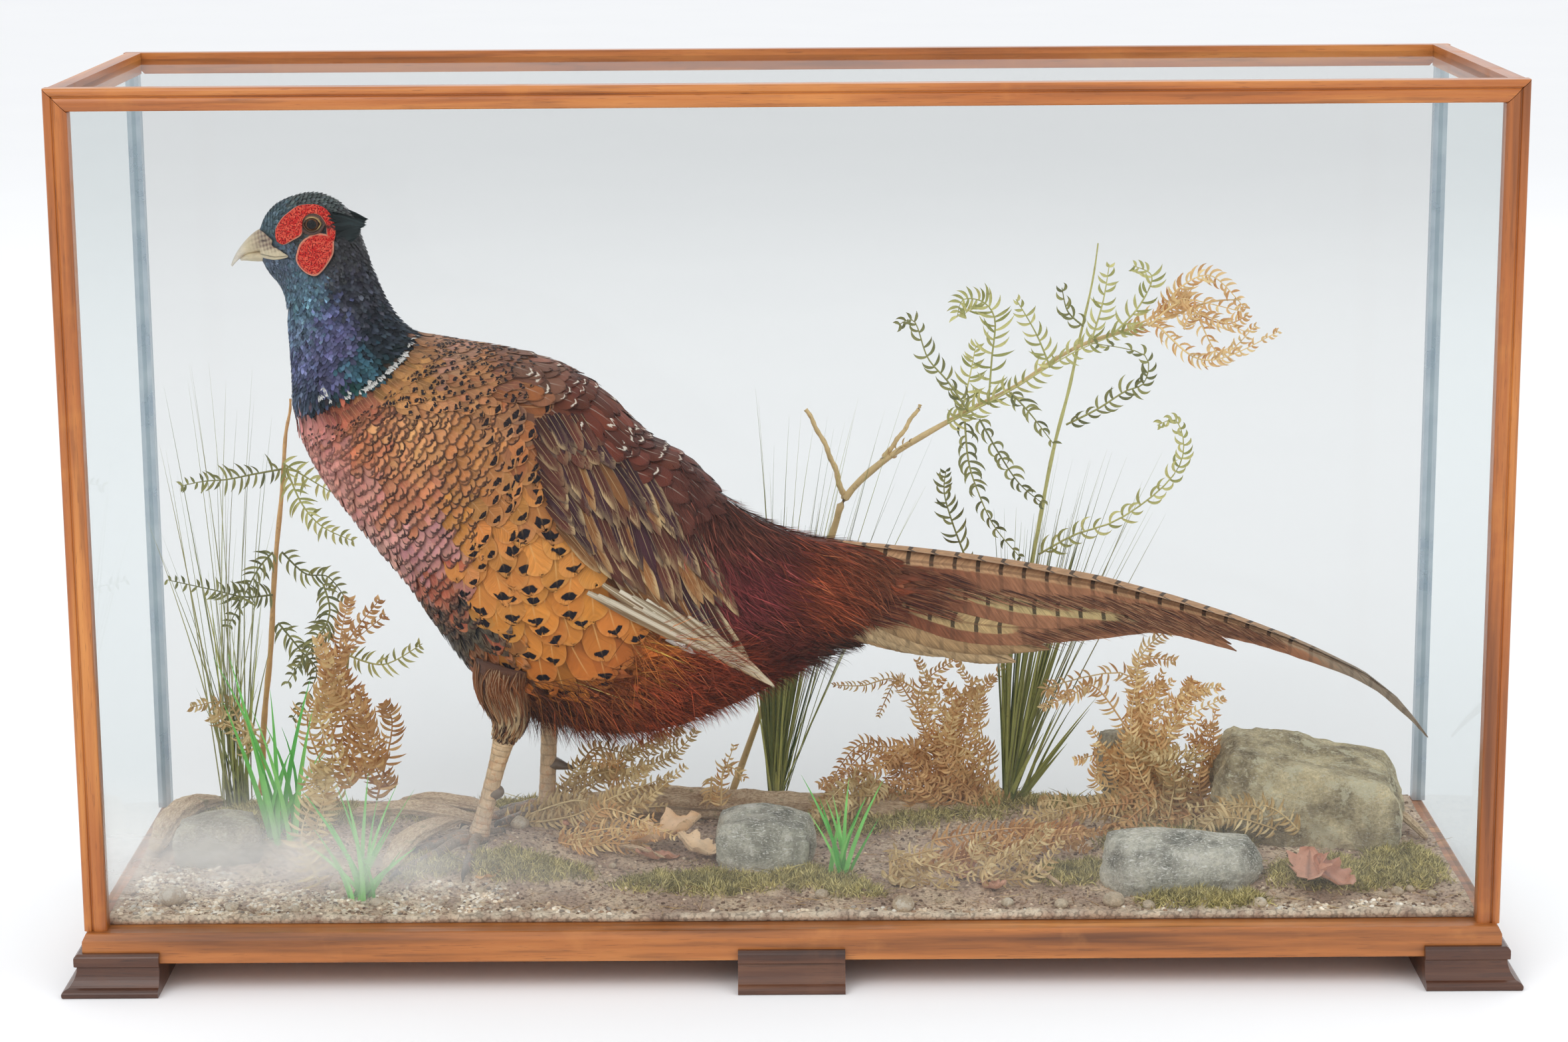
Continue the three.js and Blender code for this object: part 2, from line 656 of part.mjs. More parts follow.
function buildHead() {
  const socket = (side, margin) => {
    const ball = mergeVertices(bareBall(1));
    ball.scale(EYE_RADIUS + margin, EYE_RADIUS + margin, EYE_RADIUS + margin);
    ball.translate(EYE_X, side * (bodyHalfWidth(EYE_X, EYE_Z) - EYE_SINK), EYE_Z);
    return ball;
  };
  const head = bodyLength(0, HEAD_END - PART_STEP, { steps: 11, sides: 20 });
  add(bird, "head", cut(head, socket(-1, GAP), socket(1, GAP)), GREEN_BLACK);
  for (const [name, side] of SIDES) {
    add(bird, `eye_${name}`, socket(side, 0), AMBER);
    const wattle = bodyPad(WATTLE_LOWER, WATTLE_UPPER, side, {
      gap: WATTLE_GAP,
      thickness: WATTLE_THICKNESS,
      columns: 8,
      rows: 4,
    });
    add(bird, `wattle_${name}`, cut(wattle, socket(side, GAP)), RED_SKIN);
    add(bird, `ear_tuft_${name}`, earTuft(side), GREEN_BLACK);
  }
  buildBill();
}

/** A half of the bill, from [x, top z, bottom z, half width] sections. */
function billHalf(sections) {
  const sides = 10;
  return loft(
    sections.map(([x, top, bottom, half]) =>
      range(sides).map((j) => {
        const angle = (j / sides) * Math.PI * 2;
        const z = (top + bottom) / 2 + Math.cos(angle) * (top - bottom) * 0.5;
        return new THREE.Vector3(x, Math.sin(angle) * half, z);
      }),
    ),
  );
}

function buildBill() {
  const upper = [
    [-154.4, 467, 453, 7.6], [-159, 463.5, 452.6, 6.6], [-163.5, 459.5, 451.4, 5.4],
    [-167.5, 454.5, 448.6, 3.8], [-170.6, 449, 445.4, 2], [-172.4, 444.4, 443.5, 0.5],
  ];
  const lower = [
    [-154.6, 451.6, 446.4, 6.6], [-159, 451.2, 446.6, 5.4], [-163, 450, 447.2, 3.6], [-166.4, 447.7, 447, 1],
  ];
  add(bird, "bill_upper", billHalf(upper), HORN);
  add(bird, "bill_lower", billHalf(lower), HORN);
}

function buildBody() {
  add(bird, "neck", bodyLength(HEAD_END, NECK_END - PART_STEP, { steps: 8, sides: 24 }), BLUE_NECK);
  add(bird, "trunk", bodyLength(NECK_END, TRUNK_END - PART_STEP, { steps: 17, sides: 26 }), COPPER);
  add(bird, "rump", bodyLength(TRUNK_END, LAST_STATION, { steps: 4, sides: 24 }), MAROON);
  for (const [name, side] of SIDES) {
    const wing = bodyPad(WING_LOWER, WING_UPPER, side, {
      gap: WING_GAP,
      thickness: WING_THICKNESS,
      columns: 11,
      rows: 6,
    });
    add(bird, `wing_${name}`, wing, WING_BROWN);
  }
}

// ---- The legs ----

// Where each leg's hock and toe joint are, its thigh root, and where its toes point.
const LEGS = {
  left: {
    root: [-3, -36, 168], hock: [-2, -36, 131], joint: [-20, -35, 66],
    toes: [[-50, -36, 72], [-10, -55, 56], [-44, 4, 48]], hallux: [13, 8], spur: [15, 4],
  },
  right: {
    root: [34, 28, 172], hock: [28, 27, 136], joint: [24.5, 24, 66],
    toes: [[-60, -6, 60], [-36, -36, 50], [-28, 26, 46]], hallux: [15, -4], spur: [20, -3],
  },
};

/** A toe from the joint, bent down on to the soil, with its claw. */
function toe([x, y, z], [dx, dy], length, radius) {
  const run = Math.hypot(dx, dy);
  const place = (share, lift) => {
    const px = x + (dx / run) * length * share;
    const py = y + (dy / run) * length * share;
    const world = new THREE.Vector3(px, py, 0).applyAxisAngle(new THREE.Vector3(0, 0, 1), BIRD_TURN);
    const soil = soilHeight(world.x + BIRD_X, world.y + BIRD_Y);
    return [px, py, soil + lift];
  };
  const points = [
    [x, y, z], place(0.24, radius + 5), place(0.5, radius + 3), place(0.78, radius + 2.2), place(1, 2.2),
  ];
  const radii = [radius, radius * 0.95, radius * 0.82, radius * 0.6, 0.6];
  return taperedTube(points, radii, { sides: 4, steps: 5 });
}

/** The soil, grown by the gap, in the bird's own frame. */
function soilUnderBird() {
  return soilBed(GAP, FLOOR_TOP - PLINTH_HEIGHT)
    .translate(-BIRD_X, -BIRD_Y, 0)
    .rotateZ(-BIRD_TURN);
}

/** The shank's tube from the hock to the toe joint, grown by a margin. */
function shankTube({ hock, joint }, below, margin) {
  const radii = [HOCK_RADIUS, SHANK_RADIUS, SHANK_RADIUS * 0.95, SHANK_RADIUS, SHANK_FOOT_RADIUS];
  return taperedTube(
    [hock, below(hock, 12), below(hock, 34), below(joint, -9), below(joint, margin - GAP)],
    radii.map((radius) => radius + margin),
    { sides: 8, steps: 5 },
  );
}

/** The spur that stands out behind the shank. */
function spurHorn([x, y, z], [back, out]) {
  const points = [[x, y, z], [x + 5, y, z + 1], [x + back, y + out, z - 2]];
  return taperedTube(points, [3.2, 2.6, 0.5], { steps: 4 });
}

/** The knuckle with its four toes. */
function footShape({ joint: [x, y, z], toes, hallux }) {
  const knuckle = bareBall(1);
  knuckle.scale(...KNUCKLE);
  knuckle.translate(x, y, z - KNUCKLE_DROP);
  const start = [x, y, z - TOE_DROP];
  const front = toes.map(([dx, dy, length]) => toe(start, [dx, dy], length, TOE_RADIUS));
  const rear = toe(start, hallux, HALLUX_LENGTH, TOE_RADIUS * HALLUX_SHARE);
  return joined([mergeVertices(knuckle), ...front, rear]);
}

function buildLegs() {
  const body = bodyLength(stationNumber("mantle"), LAST_STATION, { steps: 20, sides: 28, margin: FACET_GAP });
  const soil = soilUnderBird();
  for (const [name, leg] of Object.entries(LEGS)) {
    const { root, hock, joint } = leg;
    const down = new THREE.Vector3(...joint).sub(new THREE.Vector3(...hock)).normalize();
    const below = (from, far) => new THREE.Vector3(...from).addScaledVector(down, far).toArray();
    const thighLine = [root, below(hock, -THIGH_BEND), below(hock, -GAP)];
    const thigh = taperedTube(thighLine, THIGH_RADII, { sides: 10, steps: 6 });
    add(bird, `thigh_${name}`, cut(thigh, body), COPPER);
    const shank = joined([shankTube(leg, below, 0), spurHorn(below(joint, -SPUR_HEIGHT), leg.spur)]);
    add(bird, `shank_${name}`, cut(shank, body), LEG_HORN);
    add(bird, `foot_${name}`, cut(footShape(leg), shankTube(leg, below, GAP * 2), soil), LEG_HORN);
  }
}

// ---- The tail ----

/** The upper or lower face of the roof of middle feathers. */
function roofGrid(drop) {
  const rows = TAIL_MIDDLE.map(({ x, ridge, half }) => [x, ridge, half]);
  return range(TAIL_COLUMNS + 1).map((i) => {
    const [x, ridge, half] = along(rows, i / TAIL_COLUMNS);
    return [-1, -0.5, 0, 0.5, 1].map(
      (share) => new THREE.Vector3(x, half * share, ridge - drop - half * Math.abs(share) * TAIL_SLOPE),
    );
  });
}

/** The outer face of one side of the tail, or a face that lies inwards of it. */
function sideGrid(side, inward) {
  const rows = TAIL_SIDE.map(({ x, ridge, edge, half }) => [x, ridge - TAIL_SIDE_DROP, edge, half]);
  return range(TAIL_COLUMNS + 1).map((i) => {
    const [x, ridge, edge, half] = along(rows, i / TAIL_COLUMNS);
    return range(TAIL_ROWS + 1).map((j) => {
      const share = j / TAIL_ROWS;
      const turn = share * Math.PI * 0.5;
      const y = TAIL_SPLIT + (half - inward) * Math.sin(turn);
      const z = ridge - (ridge - edge) * (1 - Math.cos(turn)) - inward * (1 - share);
      return new THREE.Vector3(x, side * y, z);
    });
  });
}

function buildTail() {
  const keep = bodyLength(stationNumber("belly"), LAST_STATION, { steps: 10, sides: 28, margin: GAP });
  add(bird, "tail_middle", cut(slab(roofGrid(0), roofGrid(TAIL_SHEET)), keep), TAIL_BUFF);
  for (const [name, side] of SIDES) {
    const sheet = slab(sideGrid(side, 0), sideGrid(side, TAIL_SHEET));
    add(bird, `tail_${name}`, cut(sheet, keep), TAIL_BUFF);
  }
}

// ---- The plants ----

const NEAR_BLADES = [[-22, -6, 62], [-10, 6, 84], [6, -4, 70], [16, 6, 78], [26, -4, 60]];
const grass = (wide, tall) => NEAR_BLADES.map(([dx, dy, height]) => [dx * wide, dy, height * tall]);

// The tufts: where each is rooted, the radius of its blades, and how far each blade reaches to the right,
// to the back and up.
const TUFTS = [
  {
    name: "reeds_left", root: [-392, 76], radius: 1.5, material: LEAF,
    blades: [[-38, -10, 350], [-20, 6, 330], [14, -4, 290], [-6, 8, 360], [30, -8, 255]],
  },
  {
    name: "sedge_middle", root: [-10, 100], radius: 2.2, material: LEAF,
    blades: [[-8, 4, 280], [26, 2, 230], [48, 2, 190], [-18, 4, 250], [34, 5, 260]],
  },
  {
    name: "sedge_right", root: [150, 100], radius: 2.2, material: LEAF,
    blades: [[6, 8, 150], [26, 6, 170], [74, 4, 150], [-14, 6, 110], [40, 12, 190]],
  },
  { name: "grass_left", root: [-344, 6], radius: 1.6, material: GRASS, blades: grass(1, 1.25) },
  { name: "grass_near", root: [-279, -92], radius: 1.6, material: GRASS, blades: grass(1, 1) },
  { name: "grass_middle", root: [31, -56], radius: 1.6, material: GRASS, blades: grass(0.7, 0.7) },
];

const FORK = [40, 116, 266];
const BRACKEN_STEM = [[-366, 108, 56], [-352, 104, 174], [-338, 100, 314]];

// The branching stems: each branch's points, from its root, and its radius there.
const STEMS = [
  {
    name: "bracken_left",
    branches: [
      { points: BRACKEN_STEM, radius: 2.2 },
      sideFrond(0.85, [-420, 104, 294]),
      sideFrond(0.45, [-428, 106, 184]),
      sideFrond(0.3, [-318, 96, 144]),
    ],
  },
  {
    name: "bracken_back",
    branches: [
      {
        points: [
          [-44, 114, 46], [-14, 116, 130], [28, 116, 232], FORK, [116, 112, 317], [201, 106, 368],
          [274, 100, 403], [314, 98, 381],
        ],
        radius: 3,
      },
      { points: [FORK, [26, 116, 298], [11, 116, 326]], radius: 1.8 },
      { points: [FORK, [64, 118, 288], [90, 120, 327]], radius: 1.8 },
    ],
  },
  {
    name: "stem_green",
    branches: [
      {
        points: [[152, 122, 50], [165, 122, 192], [183, 122, 299], [207, 120, 425], [214, 116, 533]],
        radius: 1.8,
      },
    ],
  },
];

/** A frond that arches from a share of the left bracken's stem out to a tip. */
function sideFrond(share, tip) {
  const start = along(BRACKEN_STEM, share);
  const [x, y, z] = start.map((v, n) => (v + tip[n]) / 2);
  return { points: [start, [x, y, z + 8], tip], radius: 1.4 };
}

/** A tuft of blades that fan out from one root. */
function tuft([x, y], blades, radius) {
  const z = soilHeight(x, y) + ROOT_SINK;
  const root = mergeVertices(bareBall(0));
  root.scale(radius * 3.4, radius * 3.4, radius * 3);
  root.translate(x, y, z + radius * 2);
  const leaves = blades.map(([dx, dy, height]) =>
    taperedTube(
      [
        [x + dx * 0.04, y + dy * 0.04, z + radius],
        [x + dx * 0.35, y + dy * 0.35, z + height * 0.5],
        [x + dx, y + dy, z + height],
      ],
      [radius, radius * 0.9, 0.35],
      { sides: 3, steps: 2 },
    ),
  );
  return planted(joined([root, ...leaves]));
}

/** A branching stem. */
function branching(branches) {
  const tubes = branches.map(({ points, radius }) =>
    taperedTube(points, [radius, radius * 0.45], { sides: 4, steps: 2 * (points.length - 1) }),
  );
  return planted(joined(tubes));
}

function buildPlants() {
  for (const { name, root, blades, radius, material } of TUFTS) {
    add(part, name, tuft(root, blades, radius), material);
  }
  for (const { name, branches } of STEMS) add(part, name, branching(branches), LEAF);
}

buildCase();
buildGroundwork();
buildHead();
buildBody();
buildLegs();
buildTail();
buildPlants();

export default part;
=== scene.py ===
"""The looks of a mounted cock pheasant in its glazed display case.

Lengths in the tables are millimetres; every finished mesh is in metres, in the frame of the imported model:
+X along the case, +Y to its back, +Z up, with the origin at the middle of the case under its feet.
"""

import json
import logging
import math
from dataclasses import dataclass, field
from enum import Enum
from typing import Callable, Sequence, Union

import bmesh
import bpy
import numpy as np
from mathutils import Matrix, Vector

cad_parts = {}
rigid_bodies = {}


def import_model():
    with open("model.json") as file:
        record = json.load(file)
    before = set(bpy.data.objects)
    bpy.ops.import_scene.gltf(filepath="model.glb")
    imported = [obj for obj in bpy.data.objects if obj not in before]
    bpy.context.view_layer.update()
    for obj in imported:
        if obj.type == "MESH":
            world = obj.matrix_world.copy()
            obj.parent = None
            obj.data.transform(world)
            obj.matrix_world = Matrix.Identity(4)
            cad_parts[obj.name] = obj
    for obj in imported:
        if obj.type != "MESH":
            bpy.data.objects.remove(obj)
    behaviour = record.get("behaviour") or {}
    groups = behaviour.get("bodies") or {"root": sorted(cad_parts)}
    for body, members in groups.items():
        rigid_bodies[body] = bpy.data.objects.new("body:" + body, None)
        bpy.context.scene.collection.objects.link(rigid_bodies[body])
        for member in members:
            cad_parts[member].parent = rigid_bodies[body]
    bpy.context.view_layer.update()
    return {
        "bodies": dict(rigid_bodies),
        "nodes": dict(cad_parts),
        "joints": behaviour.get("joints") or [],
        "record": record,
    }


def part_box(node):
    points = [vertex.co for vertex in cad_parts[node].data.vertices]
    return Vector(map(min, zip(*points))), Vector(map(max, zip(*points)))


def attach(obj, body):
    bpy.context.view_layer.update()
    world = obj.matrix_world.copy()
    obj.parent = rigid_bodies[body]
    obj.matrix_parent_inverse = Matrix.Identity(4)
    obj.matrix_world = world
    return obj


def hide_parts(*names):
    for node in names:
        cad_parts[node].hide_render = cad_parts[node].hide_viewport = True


LOG = logging.getLogger("pheasant_case")
MM = 0.001
BODY = "root"
TAU = 2 * math.pi

Array = np.ndarray
Value = Union[bpy.types.NodeSocket, float, Sequence[float]]
Colour = tuple[float, float, float]
Point = tuple[float, float, float]


def srgb(red: int, green: int, blue: int) -> Colour:
    """Gives the linear colour of a screen colour.

    Args:
        red: Red, from 0 to 255.
        green: Green, from 0 to 255.
        blue: Blue, from 0 to 255.

    Returns:
        The linear red, green and blue, from 0 to 1.
    """

    def linear(level: float) -> float:
        """Gives the linear value of one screen level."""
        return level / 12.92 if level <= 0.04045 else ((level + 0.055) / 1.055) ** 2.4

    return linear(red / 255), linear(green / 255), linear(blue / 255)


def smooth(low: float, high: float, value: Array) -> Array:
    """Rises smoothly from 0 at low to 1 at high.

    Args:
        low: Where the rise starts.
        high: Where it ends.
        value: The values to place on it.

    Returns:
        The height of the rise at each value.
    """
    share = np.clip((np.asarray(value, float) - low) / (high - low), 0, 1)
    return share * share * (3 - 2 * share)


def unit(vectors: Array) -> Array:
    """Scales vectors to length 1, along their last axis."""
    return vectors / np.maximum(np.linalg.norm(vectors, axis=-1, keepdims=True), 1e-9)


def along(points: Array, share: Array) -> Array:
    """Follows a smooth curve through points.

    Args:
        points: The points, one a row, of any number of coordinates.
        share: How far along the curve, from 0 to 1.

    Returns:
        The curve's points at those shares, one a row.
    """
    points = np.asarray(points, float)
    place = np.clip(np.asarray(share, float), 0, 1) * (len(points) - 1)
    k = np.minimum(place.astype(int), len(points) - 2)
    f = (place - k)[..., None]
    a, b, c, d = (points[np.clip(k + step, 0, len(points) - 1)] for step in (-1, 0, 1, 2))
    return 0.5 * (2 * b + (c - a) * f + (2 * a - 5 * b + 4 * c - d) * f**2 + (3 * b - a - 3 * c + d) * f**3)


def ripple(points: Array, size: float, seed: float = 0.0) -> Array:
    """Gives a smooth, irregular wave at each point.

    Args:
        points: Points, one a row, with three coordinates.
        size: The length of the longest waves.
        seed: Shifts the waves.

    Returns:
        A height from about -1 to 1 for each point.
    """
    total = np.zeros(points.shape[:-1])
    reach = 1.0
    for octave in range(4):
        turn = seed + octave * 1.7
        p = points * (TAU / size) * (1.9**octave)
        x, y, z = p[..., 0], p[..., 1], p[..., 2]
        swell = np.sin(x + turn + 1.3 * np.sin(y * 0.7 + turn))
        wave = swell * np.cos(y * 0.9 - turn + 1.1 * np.sin(z * 0.8))
        total += reach * (wave + 0.5 * np.sin(z * 1.1 + x * 0.6 + turn * 2))
        reach *= 0.55
    return total / 2.6


@dataclass
class MeshParts:
    """Collects the points, faces, vane maps and feather marks of one piece, in metres."""

    points: list[Array] = field(default_factory=list)
    quads: list[Array] = field(default_factory=list)
    tris: list[Array] = field(default_factory=list)
    maps: list[Array] = field(default_factory=list)
    bakes: list[Array] = field(default_factory=list)
    tints: list[Array] = field(default_factory=list)
    marks: list[Array] = field(default_factory=list)
    count: int = 0

    def add(
        self,
        points: Array,
        faces: Array,
        vane: Array | None = None,
        bake: Array | None = None,
        tint: Array | None = None,
        mark: Array | None = None,
    ) -> None:
        """Adds points and the faces between them.

        Args:
            points: The points, one a row.
            faces: Rows of three or four point numbers.
            vane: A place on the vane for each point, across and along.
            bake: A place on the bake's map for each point.
            tint: A colour for each point.
            mark: Fringe, spot and chance, from 0 to 1, for each point.
        """
        flat = np.asarray(points, float).reshape(-1, 3)
        size = len(flat)
        faces = np.asarray(faces)
        corners = faces.shape[-1]
        (self.quads if corners == 4 else self.tris).append(faces.reshape(-1, corners) + self.count)
        self.points.append(flat)
        wanted = ((self.maps, vane, 2), (self.bakes, bake, 2), (self.tints, tint, 3), (self.marks, mark, 3))
        for store, given, width in wanted:
            filled = np.zeros((size, width)) if given is None else np.asarray(given, float).reshape(-1, width)
            store.append(np.broadcast_to(filled, (size, width)))
        self.count += size

    def triangles(self) -> int:
        """Counts the triangles collected so far."""
        return sum(2 * len(q) for q in self.quads) + sum(len(t) for t in self.tris)

    def build(self, name: str, material: bpy.types.Material, smooth_faces: bool = True) -> bpy.types.Object:
        """Makes the piece.

        Args:
            name: The piece's name.
            material: Its finish.
            smooth_faces: Whether its faces shade smoothly into each other.

        Returns:
            The finished object, at the origin.
        """
        points = np.concatenate(self.points)
        quads = np.concatenate(self.quads) if self.quads else np.zeros((0, 4), int)
        tris = np.concatenate(self.tris) if self.tris else np.zeros((0, 3), int)
        corners = np.concatenate([quads.ravel(), tris.ravel()]).astype(np.int32)
        sizes = np.concatenate([np.full(len(quads), 4), np.full(len(tris), 3)])
        mesh = bpy.data.meshes.new(name)
        mesh.vertices.add(len(points))
        mesh.vertices.foreach_set("co", points.astype(np.float32).ravel())
        mesh.loops.add(len(corners))
        mesh.loops.foreach_set("vertex_index", corners)
        mesh.polygons.add(len(sizes))
        mesh.polygons.foreach_set("loop_start", np.concatenate([[0], np.cumsum(sizes)[:-1]]).astype(np.int32))
        mesh.polygons.foreach_set("use_smooth", np.full(len(sizes), smooth_faces))
        for layer, store in (("Vane", self.maps), ("OFBake", self.bakes)):
            values = np.concatenate(store)
            if values.any():
                places = values[corners].astype(np.float32).ravel()
                mesh.uv_layers.new(name=layer).data.foreach_set("uv", places)
        tint = np.concatenate(self.tints)
        if tint.any():
            shade = np.ones((len(tint), 4), np.float32)
            shade[:, :3] = tint
            mesh.attributes.new("tint", "FLOAT_COLOR", "POINT").data.foreach_set("color", shade.ravel())
            mark = np.concatenate(self.marks).astype(np.float32)
            mesh.attributes.new("mark", "FLOAT_VECTOR", "POINT").data.foreach_set("vector", mark.ravel())
        mesh.update(calc_edges=True)
        mesh.validate()
        return placed(name, mesh, material)


def placed(name: str, mesh: bpy.types.Mesh, material: bpy.types.Material) -> bpy.types.Object:
    """Puts a mesh in the scene as an object at the origin with one finish.

    Args:
        name: The object's name.
        mesh: Its mesh.
        material: Its finish.

    Returns:
        The object.
    """
    piece = bpy.data.objects.new(name, mesh)
    mesh.materials.clear()
    mesh.materials.append(material)
    bpy.context.scene.collection.objects.link(piece)
    return piece


def kept(piece: bpy.types.Object, slot: str, *nodes: str) -> None:
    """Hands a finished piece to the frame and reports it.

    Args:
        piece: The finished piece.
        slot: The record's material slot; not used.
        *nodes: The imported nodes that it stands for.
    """
    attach(piece, BODY)
    if nodes:
        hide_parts(*nodes)
    LOG.info("%s: %d faces", piece.name, len(piece.data.polygons))


def grid_faces(rows: int, columns: int, closed: bool = False) -> Array:
    """Gives the quads of a grid of points, row by row.

    Args:
        rows: How many rows of points there are.
        columns: How many points a row has.
        closed: Whether the last point of a row joins the first.

    Returns:
        The quads, one a row.
    """
    across = columns if closed else columns - 1
    i, j = np.meshgrid(np.arange(rows - 1), np.arange(across), indexing="ij")
    right = (j + 1) % columns
    quads = [i * columns + j, i * columns + right, (i + 1) * columns + right, (i + 1) * columns + j]
    return np.stack(quads, -1).reshape(-1, 4)


def end_caps(rows: int, sides: int) -> Array:
    """Gives the triangles that close a tube at both ends.

    Args:
        rows: How many rings of points it has; the points in its two ends come after them.
        sides: How many points a ring has.

    Returns:
        The triangles, one a row.
    """
    first = np.arange(sides)
    after = (first + 1) % sides
    cap = rows * sides
    start = np.stack([np.full(sides, cap), after, first], -1)
    stop = np.stack([np.full(sides, cap + 1), first + cap - sides, after + cap - sides], -1)
    return np.concatenate([start, stop])


def tube(path: Array, radii: Array, sides: int, parts: MeshParts, flat: float = 1.0, **marks: Array) -> None:
    """Adds a closed tapering tube.

    Args:
        path: The points of its middle line.
        radii: The radius at each point.
        sides: How many sides it has.
        parts: The mesh to add it to.
        flat: How much thinner it is across its upright.
        **marks: The vane, tint and mark values that MeshParts.add takes, one for each tube.
    """
    path = np.asarray(path, float)
    ways = unit(np.gradient(path, axis=0))
    side = unit(np.cross(ways, np.where(np.abs(ways[:, 2:3]) > 0.9, [[1.0, 0, 0]], [[0, 0, 1.0]])))
    upright = np.cross(side, ways)
    angle = np.arange(sides) * TAU / sides
    out, up = np.cos(angle)[None, :, None], (np.sin(angle) * flat)[None, :, None]
    ring = side[:, None] * out + upright[:, None] * up
    points = path[:, None] + ring * np.asarray(radii, float)[:, None, None]
    points = np.concatenate([points.reshape(-1, 3), path[[0, -1]]])
    base = parts.count
    parts.add(points, grid_faces(len(path), sides, True), **marks)
    parts.tris.append(end_caps(len(path), sides) + base)


class Shader:
    """The node tree of one finish, round its Principled shader."""

    def __init__(self, name: str) -> None:
        """Starts a material with a Principled shader.

        Args:
            name: The material's name.
        """
        self.material = bpy.data.materials.new(name)
        self.material.use_nodes = True
        self.tree = self.material.node_tree
        self.surface = self.tree.nodes["Principled BSDF"]
        self.output = self.tree.nodes["Material Output"]

    def put(self, socket: bpy.types.NodeSocket, value: Value) -> None:
        """Joins a socket to another, or sets its value.

        Args:
            socket: The input to fill.
            value: What it is joined to or holds.
        """
        if isinstance(value, bpy.types.NodeSocket):
            self.tree.links.new(value, socket)
        elif isinstance(value, (int, float)):
            socket.default_value = value
        else:
            wide = socket.type == "RGBA"
            socket.default_value = (*value, 1.0) if wide and len(value) == 3 else tuple(value)

    def node(
        self, kind: str, inputs: dict[str | int, Value] | None = None, **settings: object,
    ) -> bpy.types.Node:
        """Adds a node.

        Args:
            kind: The node's type name without its ShaderNode prefix.
            inputs: Values or sockets for its inputs.
            **settings: Its own settings.

        Returns:
            The new node.
        """
        made = self.tree.nodes.new("ShaderNode" + kind)
        for key, value in settings.items():
            setattr(made, key, value)
        for key, value in (inputs or {}).items():
            self.put(made.inputs[key], value)
        return made

    def place(self) -> bpy.types.NodeSocket:
        """Gives the object coordinates, in metres."""
        return self.node("TexCoord").outputs["Object"]

    def attribute(self, name: str, output: str = "Color") -> bpy.types.NodeSocket:
        """Gives a named attribute of the mesh."""
        return self.node("Attribute", attribute_name=name).outputs[output]

    def split(self, vector: Value) -> list[bpy.types.NodeSocket]:
        """Gives the three parts of a vector."""
        return list(self.node("SeparateXYZ", {0: vector}).outputs)

    def join(self, *parts: Value) -> bpy.types.NodeSocket:
        """Makes a vector of three parts."""
        return self.node("CombineXYZ", dict(enumerate(parts))).outputs[0]

    def stretch(self, vector: Value, scale: Sequence[float]) -> bpy.types.NodeSocket:
        """Scales a vector along each axis."""
        return self.node("Mapping", {"Vector": vector, "Scale": scale}).outputs[0]

    def noise(
        self, scale: float, vector: Value | None = None, detail: float = 4.0, rough: float = 0.55,
    ) -> Value:
        """Gives fractal noise from 0 to 1, about 0.5 on average."""
        inputs = {"Vector": vector or self.place(), "Scale": scale, "Detail": detail, "Roughness": rough}
        return self.node("TexNoise", inputs).outputs["Fac"]

    def cells(self, scale: float, vector: Value | None = None, feature: str = "F1") -> bpy.types.Node:
        """Adds a Voronoi texture."""
        return self.node("TexVoronoi", {"Vector": vector or self.place(), "Scale": scale}, feature=feature)

    def sum(self, operation: str, *values: Value) -> bpy.types.NodeSocket:
        """Gives the result of one sum on numbers."""
        return self.node("Math", dict(enumerate(values)), operation=operation).outputs[0]

    def times(self, first: Value, second: Value) -> bpy.types.NodeSocket:
        """Gives the product of two numbers."""
        return self.sum("MULTIPLY", first, second)

    def plus(self, first: Value, second: Value) -> bpy.types.NodeSocket:
        """Gives one number and another added up."""
        return self.sum("ADD", first, second)

    def minus(self, first: Value, second: Value) -> bpy.types.NodeSocket:
        """Gives one number less another."""
        return self.sum("SUBTRACT", first, second)

    def line(self, value: Value, slope: Value, start: Value) -> bpy.types.NodeSocket:
        """Gives a number times a slope, plus a start."""
        return self.sum("MULTIPLY_ADD", value, slope, start)

    def rise(self, value: Value, low: float, high: float) -> bpy.types.NodeSocket:
        """Rises smoothly from 0 at low to 1 at high; falls where low is above high.

        Args:
            value: The value to place on the rise.
            low: Where the rise is 0.
            high: Where it is 1.

        Returns:
            The height of the rise.
        """
        first, last, flip = (low, high, False) if low < high else (high, low, True)
        inputs = {"Value": value, "From Min": first, "From Max": last}
        if flip:
            inputs |= {"To Min": 1.0, "To Max": 0.0}
        return self.node("MapRange", inputs, interpolation_type="SMOOTHSTEP").outputs[0]

    def mix(self, share: Value, first: Value, second: Value, mode: str = "MIX") -> bpy.types.NodeSocket:
        """Mixes two colours.

        Args:
            share: How much of the second colour there is.
            first: The first colour.
            second: The second colour.
            mode: The way they blend.

        Returns:
            The mixed colour.
        """
        made = self.node("Mix", data_type="RGBA", blend_type=mode)
        self.put(made.inputs[0], share)
        self.put(made.inputs[6], first)
        self.put(made.inputs[7], second)
        return made.outputs[2]

    def vane(self) -> tuple[bpy.types.NodeSocket, bpy.types.NodeSocket]:
        """Gives how far a place is across and along its feather, leaf or limb."""
        across, along_it, _ = self.split(self.node("UVMap", uv_map="Vane").outputs[0])
        return across, along_it

    def shade(self, colour: Value, level: Value) -> bpy.types.NodeSocket:
        """Gives a colour times a level of light."""
        grey = self.node("CombineColor", {0: level, 1: level, 2: level}).outputs[0]
        return self.mix(1.0, colour, grey, "MULTIPLY")

